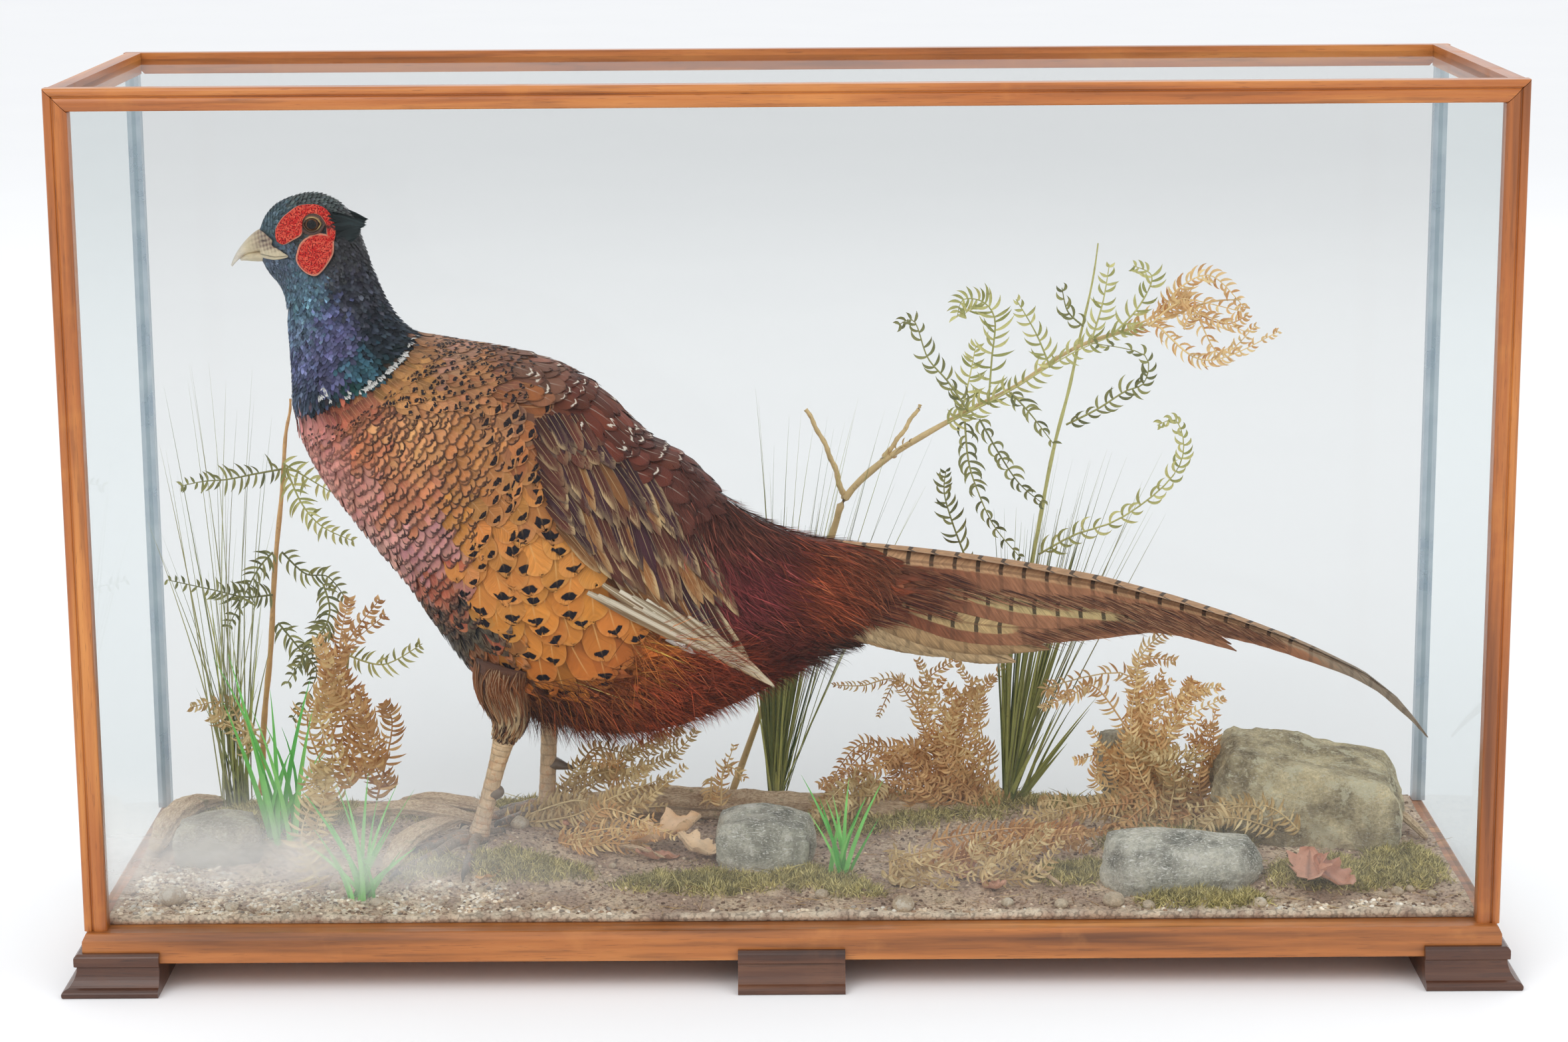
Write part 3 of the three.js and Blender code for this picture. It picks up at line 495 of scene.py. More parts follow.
    def ramp(self, value: Value, *stops: tuple[float, Colour]) -> bpy.types.NodeSocket:
        """Gives the colour of a value on a row of colour stops.

        Args:
            value: The value.
            *stops: The place and the colour of each stop.

        Returns:
            The colour.
        """
        made = self.node("ValToRGB", {0: value})
        elements = made.color_ramp.elements
        while len(elements) < len(stops):
            elements.new(0.5)
        for element, (position, colour) in zip(elements, stops):
            element.position = position
            element.color = (*colour, 1.0)
        return made.outputs[0]

    def relief(self, height: Value, depth: float, strength: float = 1.0) -> None:
        """Bumps the surface by a height of this depth in metres, over what bumps it already.

        Args:
            height: The height, from 0 to 1.
            depth: What a height of 1 is, in metres.
            strength: How strongly it shows.
        """
        made = self.node("Bump", {"Height": height, "Distance": depth, "Strength": strength})
        before = self.surface.inputs["Normal"]
        if before.is_linked:
            self.put(made.inputs["Normal"], before.links[0].from_socket)
        self.put(before, made.outputs[0])

    def finish(self, colour: Value, roughness: Value = 0.5, **constants: float) -> bpy.types.Material:
        """Sets the shader's colour, roughness and constant sockets.

        Args:
            colour: The base colour.
            roughness: The roughness.
            **constants: Other sockets by name, with _ for a space.

        Returns:
            The finished material.
        """
        self.put(self.surface.inputs["Base Color"], colour)
        self.put(self.surface.inputs["Roughness"], roughness)
        for key, value in constants.items():
            self.put(self.surface.inputs[key.replace("_", " ")], value)
        return self.material


# ---- The studio ----


@dataclass(frozen=True)
class Lamp:
    """A square lamp: its name, place, size in metres and power in watts."""

    name: str
    place: Point
    size: float
    power: float


@dataclass
class Studio:
    """A white room with soft light, and the camera that looks at the case from the front."""

    camera_place: Point = (0.004, -2.261, 0.761)
    pitch: float = math.radians(12.198)
    yaw: float = math.radians(-0.189)
    roll: float = math.radians(-0.388)
    sensor: float = 36.0
    lens: float = 80.43
    floor_reach: float = 30.0
    sky: float = 0.98
    sky_colour: Colour = (0.97, 0.985, 1.0)
    floor_dark: Colour = (0.94, 0.942, 0.955)
    floor_light: Colour = (0.97, 0.972, 0.98)
    lit: Point = (0.0, 0.0, 0.25)
    lamps: tuple[Lamp, ...] = (
        Lamp("key_lamp", (-1.5, -2.4, 2.6), 2.2, 34.0),
        Lamp("fill_lamp", (2.2, -2.0, 2.0), 2.4, 12.0),
        Lamp("back_lamp", (0.4, 2.4, 2.6), 2.4, 16.0),
    )

    def build(self) -> None:
        """Makes the camera, the floor, the sky and the lamps."""
        self.camera()
        self.floor()
        self.light()

    def camera(self) -> None:
        """Makes the camera, level but for a slight roll."""
        sin_yaw, cos_yaw = math.sin(self.yaw), math.cos(self.yaw)
        sin_pitch, cos_pitch = math.sin(self.pitch), math.cos(self.pitch)
        forward = np.array([sin_yaw * cos_pitch, cos_yaw * cos_pitch, -sin_pitch])
        level = np.array([cos_yaw, -sin_yaw, 0.0])
        above = np.cross(level, forward)
        right = math.cos(self.roll) * level + math.sin(self.roll) * above
        up = -math.sin(self.roll) * level + math.cos(self.roll) * above
        turned = np.stack([right, up, -forward, np.array(self.camera_place)], 1)
        data = bpy.data.cameras.new("camera")
        data.sensor_width = self.sensor
        data.lens = self.lens
        camera = bpy.data.objects.new("camera", data)
        bpy.context.scene.collection.objects.link(camera)
        camera.matrix_world = Matrix([*turned.tolist(), [0, 0, 0, 1]])
        bpy.context.scene.camera = camera

    def floor(self) -> None:
        """Lays a plain pale floor."""
        shader = Shader("studio_floor")
        speck = shader.noise(3.0, detail=2)
        colour = shader.mix(speck, self.floor_dark, self.floor_light)
        parts = MeshParts()
        reach = self.floor_reach
        corners = np.array([[-reach, -reach, 0], [reach, -reach, 0], [reach, reach, 0], [-reach, reach, 0]])
        parts.add(corners, [[0, 1, 2, 3]])
        parts.build("studio_floor", shader.finish(colour, 0.8, Specular_IOR_Level=0.1), False)

    def light(self) -> None:
        """Lights the room with a white sky and three large soft lamps."""
        world = bpy.data.worlds.new("white_room")
        bpy.context.scene.world = world
        world.use_nodes = True
        back = world.node_tree.nodes["Background"]
        back.inputs["Color"].default_value = (*self.sky_colour, 1.0)
        back.inputs["Strength"].default_value = self.sky
        for lamp in self.lamps:
            data = bpy.data.lights.new(lamp.name, "AREA")
            data.size = lamp.size
            data.energy = lamp.power
            made = bpy.data.objects.new(lamp.name, data)
            bpy.context.scene.collection.objects.link(made)
            aim = Vector(self.lit) - Vector(lamp.place)
            made.location = lamp.place
            made.rotation_euler = aim.to_track_quat("-Z", "Y").to_euler()


# ---- The case ----


class Grain(Enum):
    """Which way the grain of a length of wood runs, as how much the pattern is drawn out on each axis."""

    ALONG_X = (0.045, 1.0, 1.0)
    ALONG_Y = (1.0, 0.045, 1.0)
    ALONG_Z = (1.0, 1.0, 0.045)


@dataclass(frozen=True)
class WoodFinish:
    """Stained and polished wood with drawn-out grain, pores and a few darker streaks."""

    name: str
    light: Colour
    middle: Colour
    dark: Colour
    grain: Grain
    roughness: float = 0.34
    polish: float = 0.15

    def material(self) -> bpy.types.Material:
        """Makes the finish.

        Returns:
            The material.
        """
        shader = Shader(f"{self.name}_{self.grain.name.lower()}")
        drawn = shader.stretch(shader.place(), self.grain.value)
        bands = shader.noise(70.0, drawn, 5.0)
        streaks = shader.noise(260.0, drawn, 3.0)
        pores = shader.noise(1500.0, drawn, 2.0)
        body = shader.ramp(bands, (0.28, self.dark), (0.5, self.middle), (0.72, self.light))
        dusky = shader.mix(shader.rise(streaks, 0.52, 0.7), body, self.dark)
        body = shader.mix(0.45, body, dusky)
        pitted = shader.rise(pores, 0.6, 0.72)
        colour = shader.mix(shader.times(pitted, 0.55), body, self.dark)
        worn = shader.rise(shader.noise(25.0, detail=5.0), 0.56, 0.74)
        colour = shader.mix(shader.times(worn, 0.3), colour, self.light)
        shader.relief(pores, 0.00012, 0.5)
        rough = shader.line(worn, 0.2, self.roughness)
        return shader.finish(colour, rough, Coat_Weight=self.polish, Coat_Roughness=0.18)


@dataclass(frozen=True)
class MetalFinish:
    """Dull grey glazing strip with fine scratches and a slight bloom."""

    name: str = "dull_strip"

    def material(self) -> bpy.types.Material:
        """Makes the finish.

        Returns:
            The material.
        """
        shader = Shader(self.name)
        drawn = shader.stretch(shader.place(), (1.0, 1.0, 0.02))
        scratches = shader.noise(1800.0, drawn, 2.0)
        bloom = shader.noise(30.0, detail=6.0)
        colour = shader.ramp(bloom, (0.3, srgb(158, 172, 184)), (0.7, srgb(206, 216, 222)))
        shader.relief(scratches, 0.00004)
        return shader.finish(colour, shader.rise(bloom, -0.2, 1.6), Metallic=0.75)


@dataclass(frozen=True)
class GlassFinish:
    """Thin window glass: clear straight through, with a mirror film on each sheet, some bloom, and, where its
    strength is set, a painted reflection: a pale diffuse haze low down towards the left.
    """

    name: str
    tint: Colour
    # Strength of the painted reflection haze.
    painted_haze_strength: float = 0.0
    mirror: float = 0.3
    bending: float = 1.45
    film: Colour = (0.95, 0.97, 0.98)
    # Colour and place of the painted reflection: a pale diffuse haze, low on the sheet and stronger towards
    # the left, that stands for reflected light.
    painted_haze: Colour = (0.9, 0.89, 0.87)
    haze_top: tuple[float, float] = (0.15, 0.08)
    haze_foot: tuple[float, float] = (0.045, 0.075)
    haze_left: tuple[float, float] = (-0.08, -0.32)

    def material(self) -> bpy.types.Material:
        """Makes the finish.

        Returns:
            The material.
        """
        shader = Shader(self.name)
        tree = shader.tree
        clear = shader.node("BsdfTransparent", {"Color": self.tint})
        bloom = shader.noise(7.0, shader.stretch(shader.place(), (1.0, 1.0, 2.0)), 5.0)
        # Painted reflection: a pale haze low on the sheet and stronger towards the left, broken up by the
        # bloom.
        across, _, up = shader.split(shader.place())
        side = shader.line(shader.rise(across, *self.haze_left), 0.88, 0.12)
        band = shader.times(shader.rise(up, *self.haze_top), shader.rise(up, *self.haze_foot))
        low = shader.times(band, side)
        cloudy = shader.line(shader.rise(bloom, 0.35, 0.7), 0.5, 0.5)
        haze_share = shader.times(shader.times(cloudy, low), self.painted_haze_strength)
        back = shader.node("NewGeometry").outputs["Backfacing"]
        mirror = shader.times(shader.node("Fresnel", {"IOR": self.bending}).outputs[0], self.mirror)
        share = shader.times(mirror, shader.minus(1.0, back))
        shader.finish(self.film, shader.rise(bloom, -0.6, 9.0), Specular_IOR_Level=0.5, Metallic=1.0)
        film = shader.node("MixShader", {0: share, 1: clear.outputs[0], 2: shader.surface.outputs[0]})
        # The painted reflection haze, as a pale diffuse layer over the glass.
        painted_haze = shader.node("BsdfDiffuse", {"Color": self.painted_haze})
        whole = shader.node("MixShader", {0: haze_share, 1: film.outputs[0], 2: painted_haze.outputs[0]})
        tree.links.new(whole.outputs[0], shader.output.inputs["Surface"])
        return shader.material


@dataclass
class DisplayCase:
    """The glazed case: a plinth on six moulded feet, reeded rails and posts, metal strips and five panes."""

    nodes: dict[str, bpy.types.Object]
    ledge: float = 8.0
    chamfer: float = 4.0
    edge: float = 0.7
    rail_width: float = 14.0
    post_width: float = 14.5
    rail_depth: float = 12.0
    reed_share: float = 0.36
    reed_start: float = 0.4
    reed_height: float = 2.0
    reed_steps: int = 12
    gap: float = 0.3
    foot_depth: float = 62.0
    foot_profile: tuple[tuple[float, float], ...] = (
        (0, 11.3), (0.5, 11.9), (1.5, 12.2), (3, 12.2), (4, 11.7), (4.9, 10.6), (5.4, 9.6), (5.9, 8.2),
        (7, 7.2), (8, 6.6), (10, 5.3), (12, 4.4), (14.6, 3.6), (17.6, 3.2), (18, 3.4), (18.4, 4.4), (19, 4.9),
        (21.5, 5.0), (24.4, 4.9), (25.2, 4.3), (26.5, 2.8),
    )

    def build(self) -> None:
        """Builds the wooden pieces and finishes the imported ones."""
        low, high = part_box("plinth")
        self.half_x = high.x / MM
        self.half_y = high.y / MM - self.ledge
        self.floor_top = high.z / MM
        self.plinth_low = low.z / MM
        self.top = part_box("rail_front")[1].z / MM
        self.plinth()
        self.feet()
        self.rails()
        self.metal_and_glass()

    def wood(self, kind: str, grain: Grain) -> bpy.types.Material:
        """Gives the finish of one kind of wooden piece.

        Args:
            kind: rail, plinth or foot.
            grain: The way of its grain.

        Returns:
            The finish.
        """
        tones = {
            "rail": (srgb(208, 136, 66), srgb(172, 98, 42), srgb(112, 60, 24)),
            "plinth": (srgb(208, 138, 74), srgb(176, 106, 50), srgb(104, 60, 30)),
            "foot": (srgb(118, 78, 54), srgb(84, 50, 34), srgb(48, 30, 24)),
        }[kind]
        return WoodFinish(f"{kind}_wood", *tones, grain).material()

    def plinth(self) -> None:
        """Builds the board under the floor of the case, with a chamfered top edge."""
        x, y = self.half_x, self.half_y + self.ledge
        low, top, inset, edge = self.plinth_low, self.floor_top, self.chamfer, self.edge
        levels = (
            (low, edge, edge),
            (low + edge * 0.3, edge * 0.3, edge * 0.3),
            (low + edge, 0, 0),
            (top - inset - edge, 0, 0),
            (top - inset, edge * 0.2, edge * 0.3),
            (top - edge * 0.5, inset / 2 - edge * 0.3, inset - edge * 0.5),
            (top, inset / 2 + edge, inset + edge),
        )
        parts = MeshParts()
        self.stack([(z, -x + dx, x - dx, -y + dy, y - dy) for z, dx, dy in levels], parts)
        kept(parts.build("plinth_board", self.wood("plinth", Grain.ALONG_X), False), "plinth_wood", "plinth")

    def stack(self, levels: Sequence[tuple[float, ...]], parts: MeshParts) -> None:
        """Adds a block whose plan is a rectangle that changes with height.

        Args:
            levels: Height, west, east, south and north of each level.
            parts: The mesh to add it to.
        """
        rings = [[[w, s, z], [e, s, z], [e, n, z], [w, n, z]] for z, w, e, s, n in levels]
        last = 4 * (len(rings) - 1)
        faces = np.concatenate(
            [grid_faces(len(rings), 4, True), [[3, 2, 1, 0], [last, last + 1, last + 2, last + 3]]]
        )
        parts.add(np.array(rings) * MM, faces)

    def feet(self) -> None:
        """Builds the six feet: a base fillet, a cove and a top band that laps the plinth."""
        material = self.wood("foot", Grain.ALONG_X)
        y = self.half_y + self.ledge
        lap = self.plinth_low - self.gap
        for row, north in (("front", -1), ("back", 1)):
            for side, east in (("left", -1), ("middle", 0), ("right", 1)):
                node = f"case_foot_{row}_{side}"
                low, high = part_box(node)
                levels = []
                for z, out in self.foot_profile:
                    outer = y + out
                    inner = y - self.foot_depth if z < lap else y + self.gap
                    south, far = sorted((north * inner, north * outer))
                    west, right = low.x / MM, high.x / MM
                    if east:
                        end = east * (self.half_x + out)
                        start = (low if east > 0 else high).x / MM
                        west, right = sorted((start, end))
                    levels.append((z, west, right, south, far))
                under = [level for level in levels if level[0] < lap]
                parts = MeshParts()
                self.stack([*under, (lap, *under[-1][1:])], parts)
                band = [level for level in levels if level[0] >= lap]
                self.stack([(lap, *band[0][1:]), *band], parts)
                if east:
                    self.end_band(east, north, parts)
                kept(parts.build(f"moulded_foot_{row}_{side}", material, False), "foot_wood", node)

    def end_band(self, east: int, north: int, parts: MeshParts) -> None:
        """Adds the band of a corner foot that laps the end of the plinth.

        Args:
            east: 1 at the right end of the case, -1 at the left.
            north: 1 at the back, -1 at the front.
            parts: The foot's mesh.
        """
        lap = self.plinth_low - self.gap
        y = self.half_y + self.ledge
        levels = []
        for z, out in self.foot_profile:
            if z >= lap:
                west, right = sorted((east * (self.half_x + self.gap), east * (self.half_x + out)))
                south, far = sorted((north * (y - self.foot_depth), north * (y + self.gap)))
                levels.append((z, west, right, south, far))
        self.stack([(lap, *levels[0][1:]), *levels], parts)

    def moulding(self, width: float) -> Array:
        """Gives the outline of the case moulding: two reeds on its face, flat behind.

        Args:
            width: How wide the moulding is.

        Returns:
            Rows of how far across and how far behind the face each point lies.
        """
        turn = np.linspace(0, math.pi, self.reed_steps + 1)
        outline = [[0.0, self.reed_height]]
        for start, stop in ((0, width * self.reed_share), (width * self.reed_start, width)):
            across = (start + stop) / 2 - np.cos(turn) * (stop - start) / 2
            outline += np.stack([across, self.reed_height - np.sin(turn) * self.reed_height], 1).tolist()
        outline += [[width, self.rail_depth], [0.0, self.rail_depth]]
        return np.array(outline)

    def length(self, name: str, rings: Array, grain: Grain) -> None:
        """Builds one length of moulding.

        Args:
            name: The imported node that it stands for.
            rings: The outline at its two ends, in millimetres.
            grain: The way of its grain.
        """
        sides = rings.shape[1]
        middle = rings.mean(1, keepdims=True)
        points = np.concatenate([rings, middle], 1).reshape(-1, 3)
        parts = MeshParts()
        j = np.arange(sides)
        right = (j + 1) % sides
        span = sides + 1
        walls = np.stack([j, right, right + span, j + span], -1)
        caps = np.concatenate([
            np.stack([np.full(sides, sides), right, j], -1),
            np.stack([np.full(sides, sides + span), j + span, right + span], -1),
        ])
        parts.add(points * MM, walls)
        parts.tris.append(caps)
        piece = parts.build(f"{name}_moulding", self.wood("rail", grain), False)
        mend(piece)
        kept(piece, "rail_wood", name)

    def rails(self) -> None:
        """Builds the four top rails and the two front posts, mitred at the front corners."""
        face = self.moulding(self.rail_width)
        across, behind = face[:, 0], face[:, 1]
        for row, north in (("front", -1), ("back", 1)):
            rings = []
            for end in (-1, 1):
                run = end * (self.half_x - across)
                rings.append(np.stack([run, north * (self.half_y - behind), self.top - across], 1))
            self.length(f"rail_{row}", np.array(rings), Grain.ALONG_X)
        half = self.half_y - self.rail_depth - self.gap
        for side, east in (("left", -1), ("right", 1)):
            rings = []
            for end in (-1, 1):
                run = np.full(len(face), end * half)
                rings.append(np.stack([east * (self.half_x - behind), run, self.top - across], 1))
            self.length(f"rail_{side}", np.array(rings), Grain.ALONG_Y)
            post = self.moulding(self.post_width)
            rings = []
            for upper in (0, 1):
                mitre = self.top - self.gap * 1.5 - post[:, 0]
                height = mitre if upper else np.full(len(post), self.floor_top)
                outer = east * (self.half_x - post[:, 0])
                rings.append(np.stack([outer, post[:, 1] - self.half_y, height], 1))
            self.length(f"post_front_{side}", np.array(rings), Grain.ALONG_Z)

    def metal_and_glass(self) -> None:
        """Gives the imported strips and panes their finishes."""
        metal = MetalFinish().material()
        clear = GlassFinish("clear_pane", (0.926, 0.93, 0.928)).material()
        greenish = GlassFinish("end_pane", (0.92, 0.94, 0.94)).material()
        # The front sheet carries the painted reflection haze.
        hazy_front = GlassFinish("front_pane", (0.926, 0.93, 0.928), 0.36).material()
        panes = {"pane_left": greenish, "pane_right": greenish, "pane_front": hazy_front}
        for name, node in self.nodes.items():
            if name.startswith("strip_"):
                dress(node, metal)
            if name.startswith("pane_"):
                dress(node, panes.get(name, clear))


def dress(node: bpy.types.Object, material: bpy.types.Material) -> None:
    """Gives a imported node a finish."""
    for slot in node.material_slots:
        slot.material = material


def mend(piece: bpy.types.Object) -> None:
    """Turns all faces of a closed piece outwards.

    Args:
        piece: The piece.
    """
    work = bmesh.new()
    work.from_mesh(piece.data)
    bmesh.ops.remove_doubles(work, verts=work.verts, dist=1e-6)
    bmesh.ops.recalc_face_normals(work, faces=work.faces)
    work.to_mesh(piece.data)
    work.free()


# ---- The bird's body ----


@dataclass(frozen=True)
class BirdFrame:
    """Where the bird stands in the case, and how far it is turned."""

    x: float = -190.0
    y: float = 14.0
    turn: float = math.radians(3.5)

    def world(self, points: Array) -> Array:
        """Gives the case's place, in metres, of points in the bird's own frame, in millimetres.

        Args:
            points: The points.

        Returns:
            The places.
        """
        points = np.asarray(points, float)
        cos_turn, sin_turn = math.cos(self.turn), math.sin(self.turn)
        x = points[..., 0] * cos_turn - points[..., 1] * sin_turn + self.x
        y = points[..., 0] * sin_turn + points[..., 1] * cos_turn + self.y
        return np.stack([x, y, points[..., 2]], -1) * MM


@dataclass
class BodyForm:
    """The outer surface of the coat from the root of the bill to the root of the tail.

    Each station gives the point on the back, the point on the throat or belly, the half width, and how far
    up it is widest, from 0 at the belly to 1 at the back.
    """

    stations: tuple[tuple[float, ...], ...] = (
        (-153.5, 468.5, -152.5, 446.0, 8.5, 0.45),
        (-147.7, 479.0, -149.9, 441.6, 12.0, 0.45),
        (-138.0, 486.6, -146.7, 436.8, 15.5, 0.48),
        (-119.4, 491.6, -142.2, 431.0, 18.0, 0.50),
        (-103.6, 487.0, -139.0, 423.5, 20.0, 0.50),
        (-93.5, 476.5, -138.0, 414.8, 21.5, 0.50),
        (-87.5, 463.0, -137.6, 402.9, 23.0, 0.50),
        (-80.0, 440.0, -136.9, 385.0, 26.0, 0.50),
        (-69.0, 415.0, -136.4, 364.0, 32.0, 0.50),
        (-54.0, 399.0, -135.8, 348.0, 41.0, 0.50),
        (-26.5, 391.5, -123.9, 311.4, 54.0, 0.52),
        (9.0, 384.5, -96.0, 269.0, 64.0, 0.55),
        (42.8, 372.0, -66.0, 230.5, 69.0, 0.55),
        (66.0, 357.0, -45.0, 198.0, 71.0, 0.55),
        (94.6, 328.0, -21.8, 167.0, 71.0, 0.55),
        (121.0, 311.0, 11.5, 144.0, 68.0, 0.52),
        (147.5, 285.0, 46.9, 131.6, 63.0, 0.50),
        (175.7, 267.0, 96.1, 128.2, 54.0, 0.50),
        (204.0, 256.5, 150.0, 145.5, 42.0, 0.52),
        (235.7, 250.0, 199.0, 168.0, 31.0, 0.55),
        (268.0, 241.0, 243.0, 181.0, 23.0, 0.60),
    )

    halvings: int = 26

    def __post_init__(self) -> None:
        """Notes the table and the number of its last station."""
        self.table = np.array(self.stations)
        self.last = len(self.table) - 1.0

    def section(self, s: Array) -> Array:
        """Gives the section at station numbers, drawn out in a straight line past the ends.

        Args:
            s: The station numbers.

        Returns:
            The back's and belly's places, the half width and the widest share.
        """
        s = np.asarray(s, float)
        inside = np.clip(s, 0, self.last)
        rows = along(self.table, inside / self.last)
        beyond = (s - inside)[..., None]
        step = np.where(beyond > 0, self.table[-1] - self.table[-2], self.table[1] - self.table[0])
        return rows + beyond * step * np.array([1, 1, 1, 1, 0.6, 0])

    def point(self, s: Array, angle: Array, margin: Array | float = 0.0) -> Array:
        """Gives points of the surface.

        Args:
            s: The station number.
            angle: The angle round the section, 0 on the back and positive on the bird's right.
            margin: How far the surface is grown.

        Returns:
            The points in the bird's frame.
        """
        back_x, back_z, belly_x, belly_z, half, widest = np.moveaxis(self.section(s), -1, 0)
        length = np.hypot(back_x - belly_x, back_z - belly_z)
        up = np.where(np.cos(angle) > 0, 1 - widest, widest)
        share = widest + np.cos(angle) * (up + margin / length)
        x = belly_x + (back_x - belly_x) * share
        z = belly_z + (back_z - belly_z) * share
        return np.stack([x, np.sin(angle) * (half + margin), z], -1)

    def locate(self, x: Array, z: Array) -> tuple[Array, Array]:
        """Finds the station and the angle of the surface seen from the side.

        Args:
            x: The places' first coordinates.
            z: The places' heights.

        Returns:
            The station and the angle of each place.
        """
        low = np.zeros(np.shape(x))
        high = np.full(np.shape(x), self.last)
        for _ in range(self.halvings):
            middle = (low + high) / 2
            back_x, back_z, belly_x, belly_z = np.moveaxis(self.section(middle), -1, 0)[:4]
            ahead = (back_x - belly_x) * (z - belly_z) - (back_z - belly_z) * (x - belly_x) < 0
            low, high = np.where(ahead, middle, low), np.where(ahead, high, middle)
        s = (low + high) / 2
        back_x, back_z, belly_x, belly_z, _, widest = np.moveaxis(self.section(s), -1, 0)
        span = (back_x - belly_x) ** 2 + (back_z - belly_z) ** 2
        share = ((x - belly_x) * (back_x - belly_x) + (z - belly_z) * (back_z - belly_z)) / span
        up = np.where(share > widest, 1 - widest, widest)
        return s, np.arccos(np.clip((share - widest) / up, -1, 1))

    def half_width(self, x: Array, z: Array) -> Array:
        """Gives the half width of the body seen from the side at x and z."""
        s, angle = self.locate(x, z)
        return self.section(s)[..., 4] * np.sin(angle)

    def tangents(self, s: Array, angle: Array) -> tuple[Array, Array, Array]:
        """Gives how the surface runs tailwards and round the section, and its outward normal.

        Args:
            s: The station number.
            angle: The angle round the section.

        Returns:
            The two rates of change, for a step of one station or radian, and the normal.
        """
        step = 0.02
        tailwards = (self.point(s + step, angle) - self.point(s - step, angle)) / (2 * step)
        round_it = (self.point(s, angle + step) - self.point(s, angle - step)) / (2 * step)
        return tailwards, round_it, unit(np.cross(tailwards, round_it))


@dataclass(frozen=True)
class Patch:
    """A patch of colour in the plumage, round a place seen from the side."""

    x: float
    z: float
    reach: float
    colour: Colour


@dataclass(frozen=True)
class Plumage:
    """The colours of the body's plumage, which skin and feathers share."""

    patches: tuple[Patch, ...] = (
        Patch(-120, 489, 13, srgb(92, 102, 102)),  # crown
        Patch(-146, 480, 10, srgb(88, 110, 120)),  # forehead
        Patch(-142, 440, 9, srgb(94, 108, 126)),  # chin
        Patch(-126, 430, 11, srgb(96, 126, 144)),  # teal throat
        Patch(-132, 412, 9, srgb(104, 122, 146)),
        Patch(-98, 462, 12, srgb(66, 66, 70)),  # ear
        Patch(-88, 437, 12, srgb(64, 66, 76)),  # nape
        Patch(-73, 410, 12, srgb(46, 54, 64)),
        Patch(-110, 424, 9, srgb(92, 96, 134)),
        Patch(-107, 408, 10, srgb(92, 92, 128)),  # violet of the neck
        Patch(-111, 386, 10, srgb(88, 88, 122)),
        Patch(-127, 390, 10, srgb(94, 100, 134)),
        Patch(-128, 368, 9, srgb(76, 88, 108)),
        Patch(-91, 388, 9, srgb(66, 104, 120)),  # teal of the lower neck
        Patch(-96, 374, 7, srgb(30, 66, 62)),
        Patch(-70, 392, 9, srgb(28, 44, 46)),
        Patch(-116, 361, 8, srgb(30, 44, 54)),
        Patch(-82, 377, 7, srgb(24, 44, 48)),
        Patch(-72, 366, 6, srgb(176, 122, 70)),  # under the collar
        Patch(-50, 386, 6, srgb(150, 104, 66)),
        Patch(-90, 356, 7, srgb(160, 88, 66)),
        Patch(-108, 349, 8, srgb(150, 76, 60)),
        # This patch and the next are lightened pinkish at the front of the breast: partly its copper, partly
        # painted sheen highlight.
        Patch(-122, 336, 14, srgb(212, 138, 130)),  # copper breast
        Patch(-105, 300, 16, srgb(218, 148, 136)),
        Patch(-90, 330, 14, srgb(196, 116, 80)),
        Patch(-62, 334, 17, srgb(214, 148, 96)),
        Patch(-70, 296, 14, srgb(206, 128, 92)),
        Patch(-56, 262, 13, srgb(200, 138, 136)),  # mauve of the lower breast
        # Lightened mauve: partly the lower breast's gloss colour, partly painted sheen highlight.
        Patch(-80, 262, 12, srgb(222, 160, 152)),
        Patch(-40, 238, 10, srgb(186, 98, 72)),
        Patch(-28, 222, 13, srgb(34, 36, 40)),  # dark patch before the thigh
        Patch(-42, 208, 9, srgb(44, 40, 44)),
        Patch(-12, 208, 9, srgb(70, 42, 34)),
        Patch(-16, 184, 12, srgb(176, 98, 50)),
        Patch(-20, 320, 16, srgb(186, 122, 70)),
        Patch(2, 280, 22, srgb(206, 134, 64)),  # golden flank
        Patch(18, 240, 22, srgb(214, 134, 56)),
        Patch(30, 205, 20, srgb(202, 122, 50)),
        Patch(70, 200, 16, srgb(190, 106, 46)),
        Patch(10, 160, 12, srgb(84, 46, 32)),  # dark belly
        Patch(45, 150, 14, srgb(116, 54, 32)),
        Patch(95, 160, 20, srgb(150, 66, 38)),
        Patch(130, 180, 16, srgb(134, 58, 36)),
        Patch(60, 170, 12, srgb(150, 78, 42)),
        Patch(150, 240, 20, srgb(116, 48, 48)),  # maroon rump
        Patch(170, 205, 18, srgb(96, 42, 34)),
        Patch(120, 300, 18, srgb(92, 48, 38)),
        Patch(155, 275, 16, srgb(98, 52, 40)),
        Patch(205, 225, 20, srgb(136, 64, 38)),  # tail coverts
        Patch(240, 240, 18, srgb(116, 66, 44)),
        Patch(215, 190, 14, srgb(66, 44, 38)),
        Patch(45, 368, 16, srgb(100, 48, 32)),  # maroon back
        Patch(85, 340, 18, srgb(96, 46, 32)),
        Patch(5, 382, 12, srgb(124, 82, 64)),
        Patch(-38, 388, 10, srgb(176, 130, 106)),  # streaked mantle
        Patch(-62, 374, 9, srgb(176, 124, 74)),
        Patch(-25, 366, 10, srgb(176, 120, 80)),
        Patch(10, 350, 10, srgb(160, 96, 56)),
    )

    def colour(self, x: Array, z: Array) -> Array:
        """Gives the plumage's colour seen from the side at x and z.

        Args:
            x: The places' first coordinates.
            z: The places' heights.

        Returns:
            The colour at each place.
        """
        places = np.array([[p.x, p.z, p.reach] for p in self.patches])
        colours = np.array([p.colour for p in self.patches])
        away = ((x[..., None] - places[:, 0]) ** 2 + (z[..., None] - places[:, 1]) ** 2) / places[:, 2] ** 2
        nearest = away.min(-1, keepdims=True)
        share = np.exp(-1.6 * (away - nearest))
        return (share[..., None] * colours).sum(-2) / share.sum(-1)[..., None]


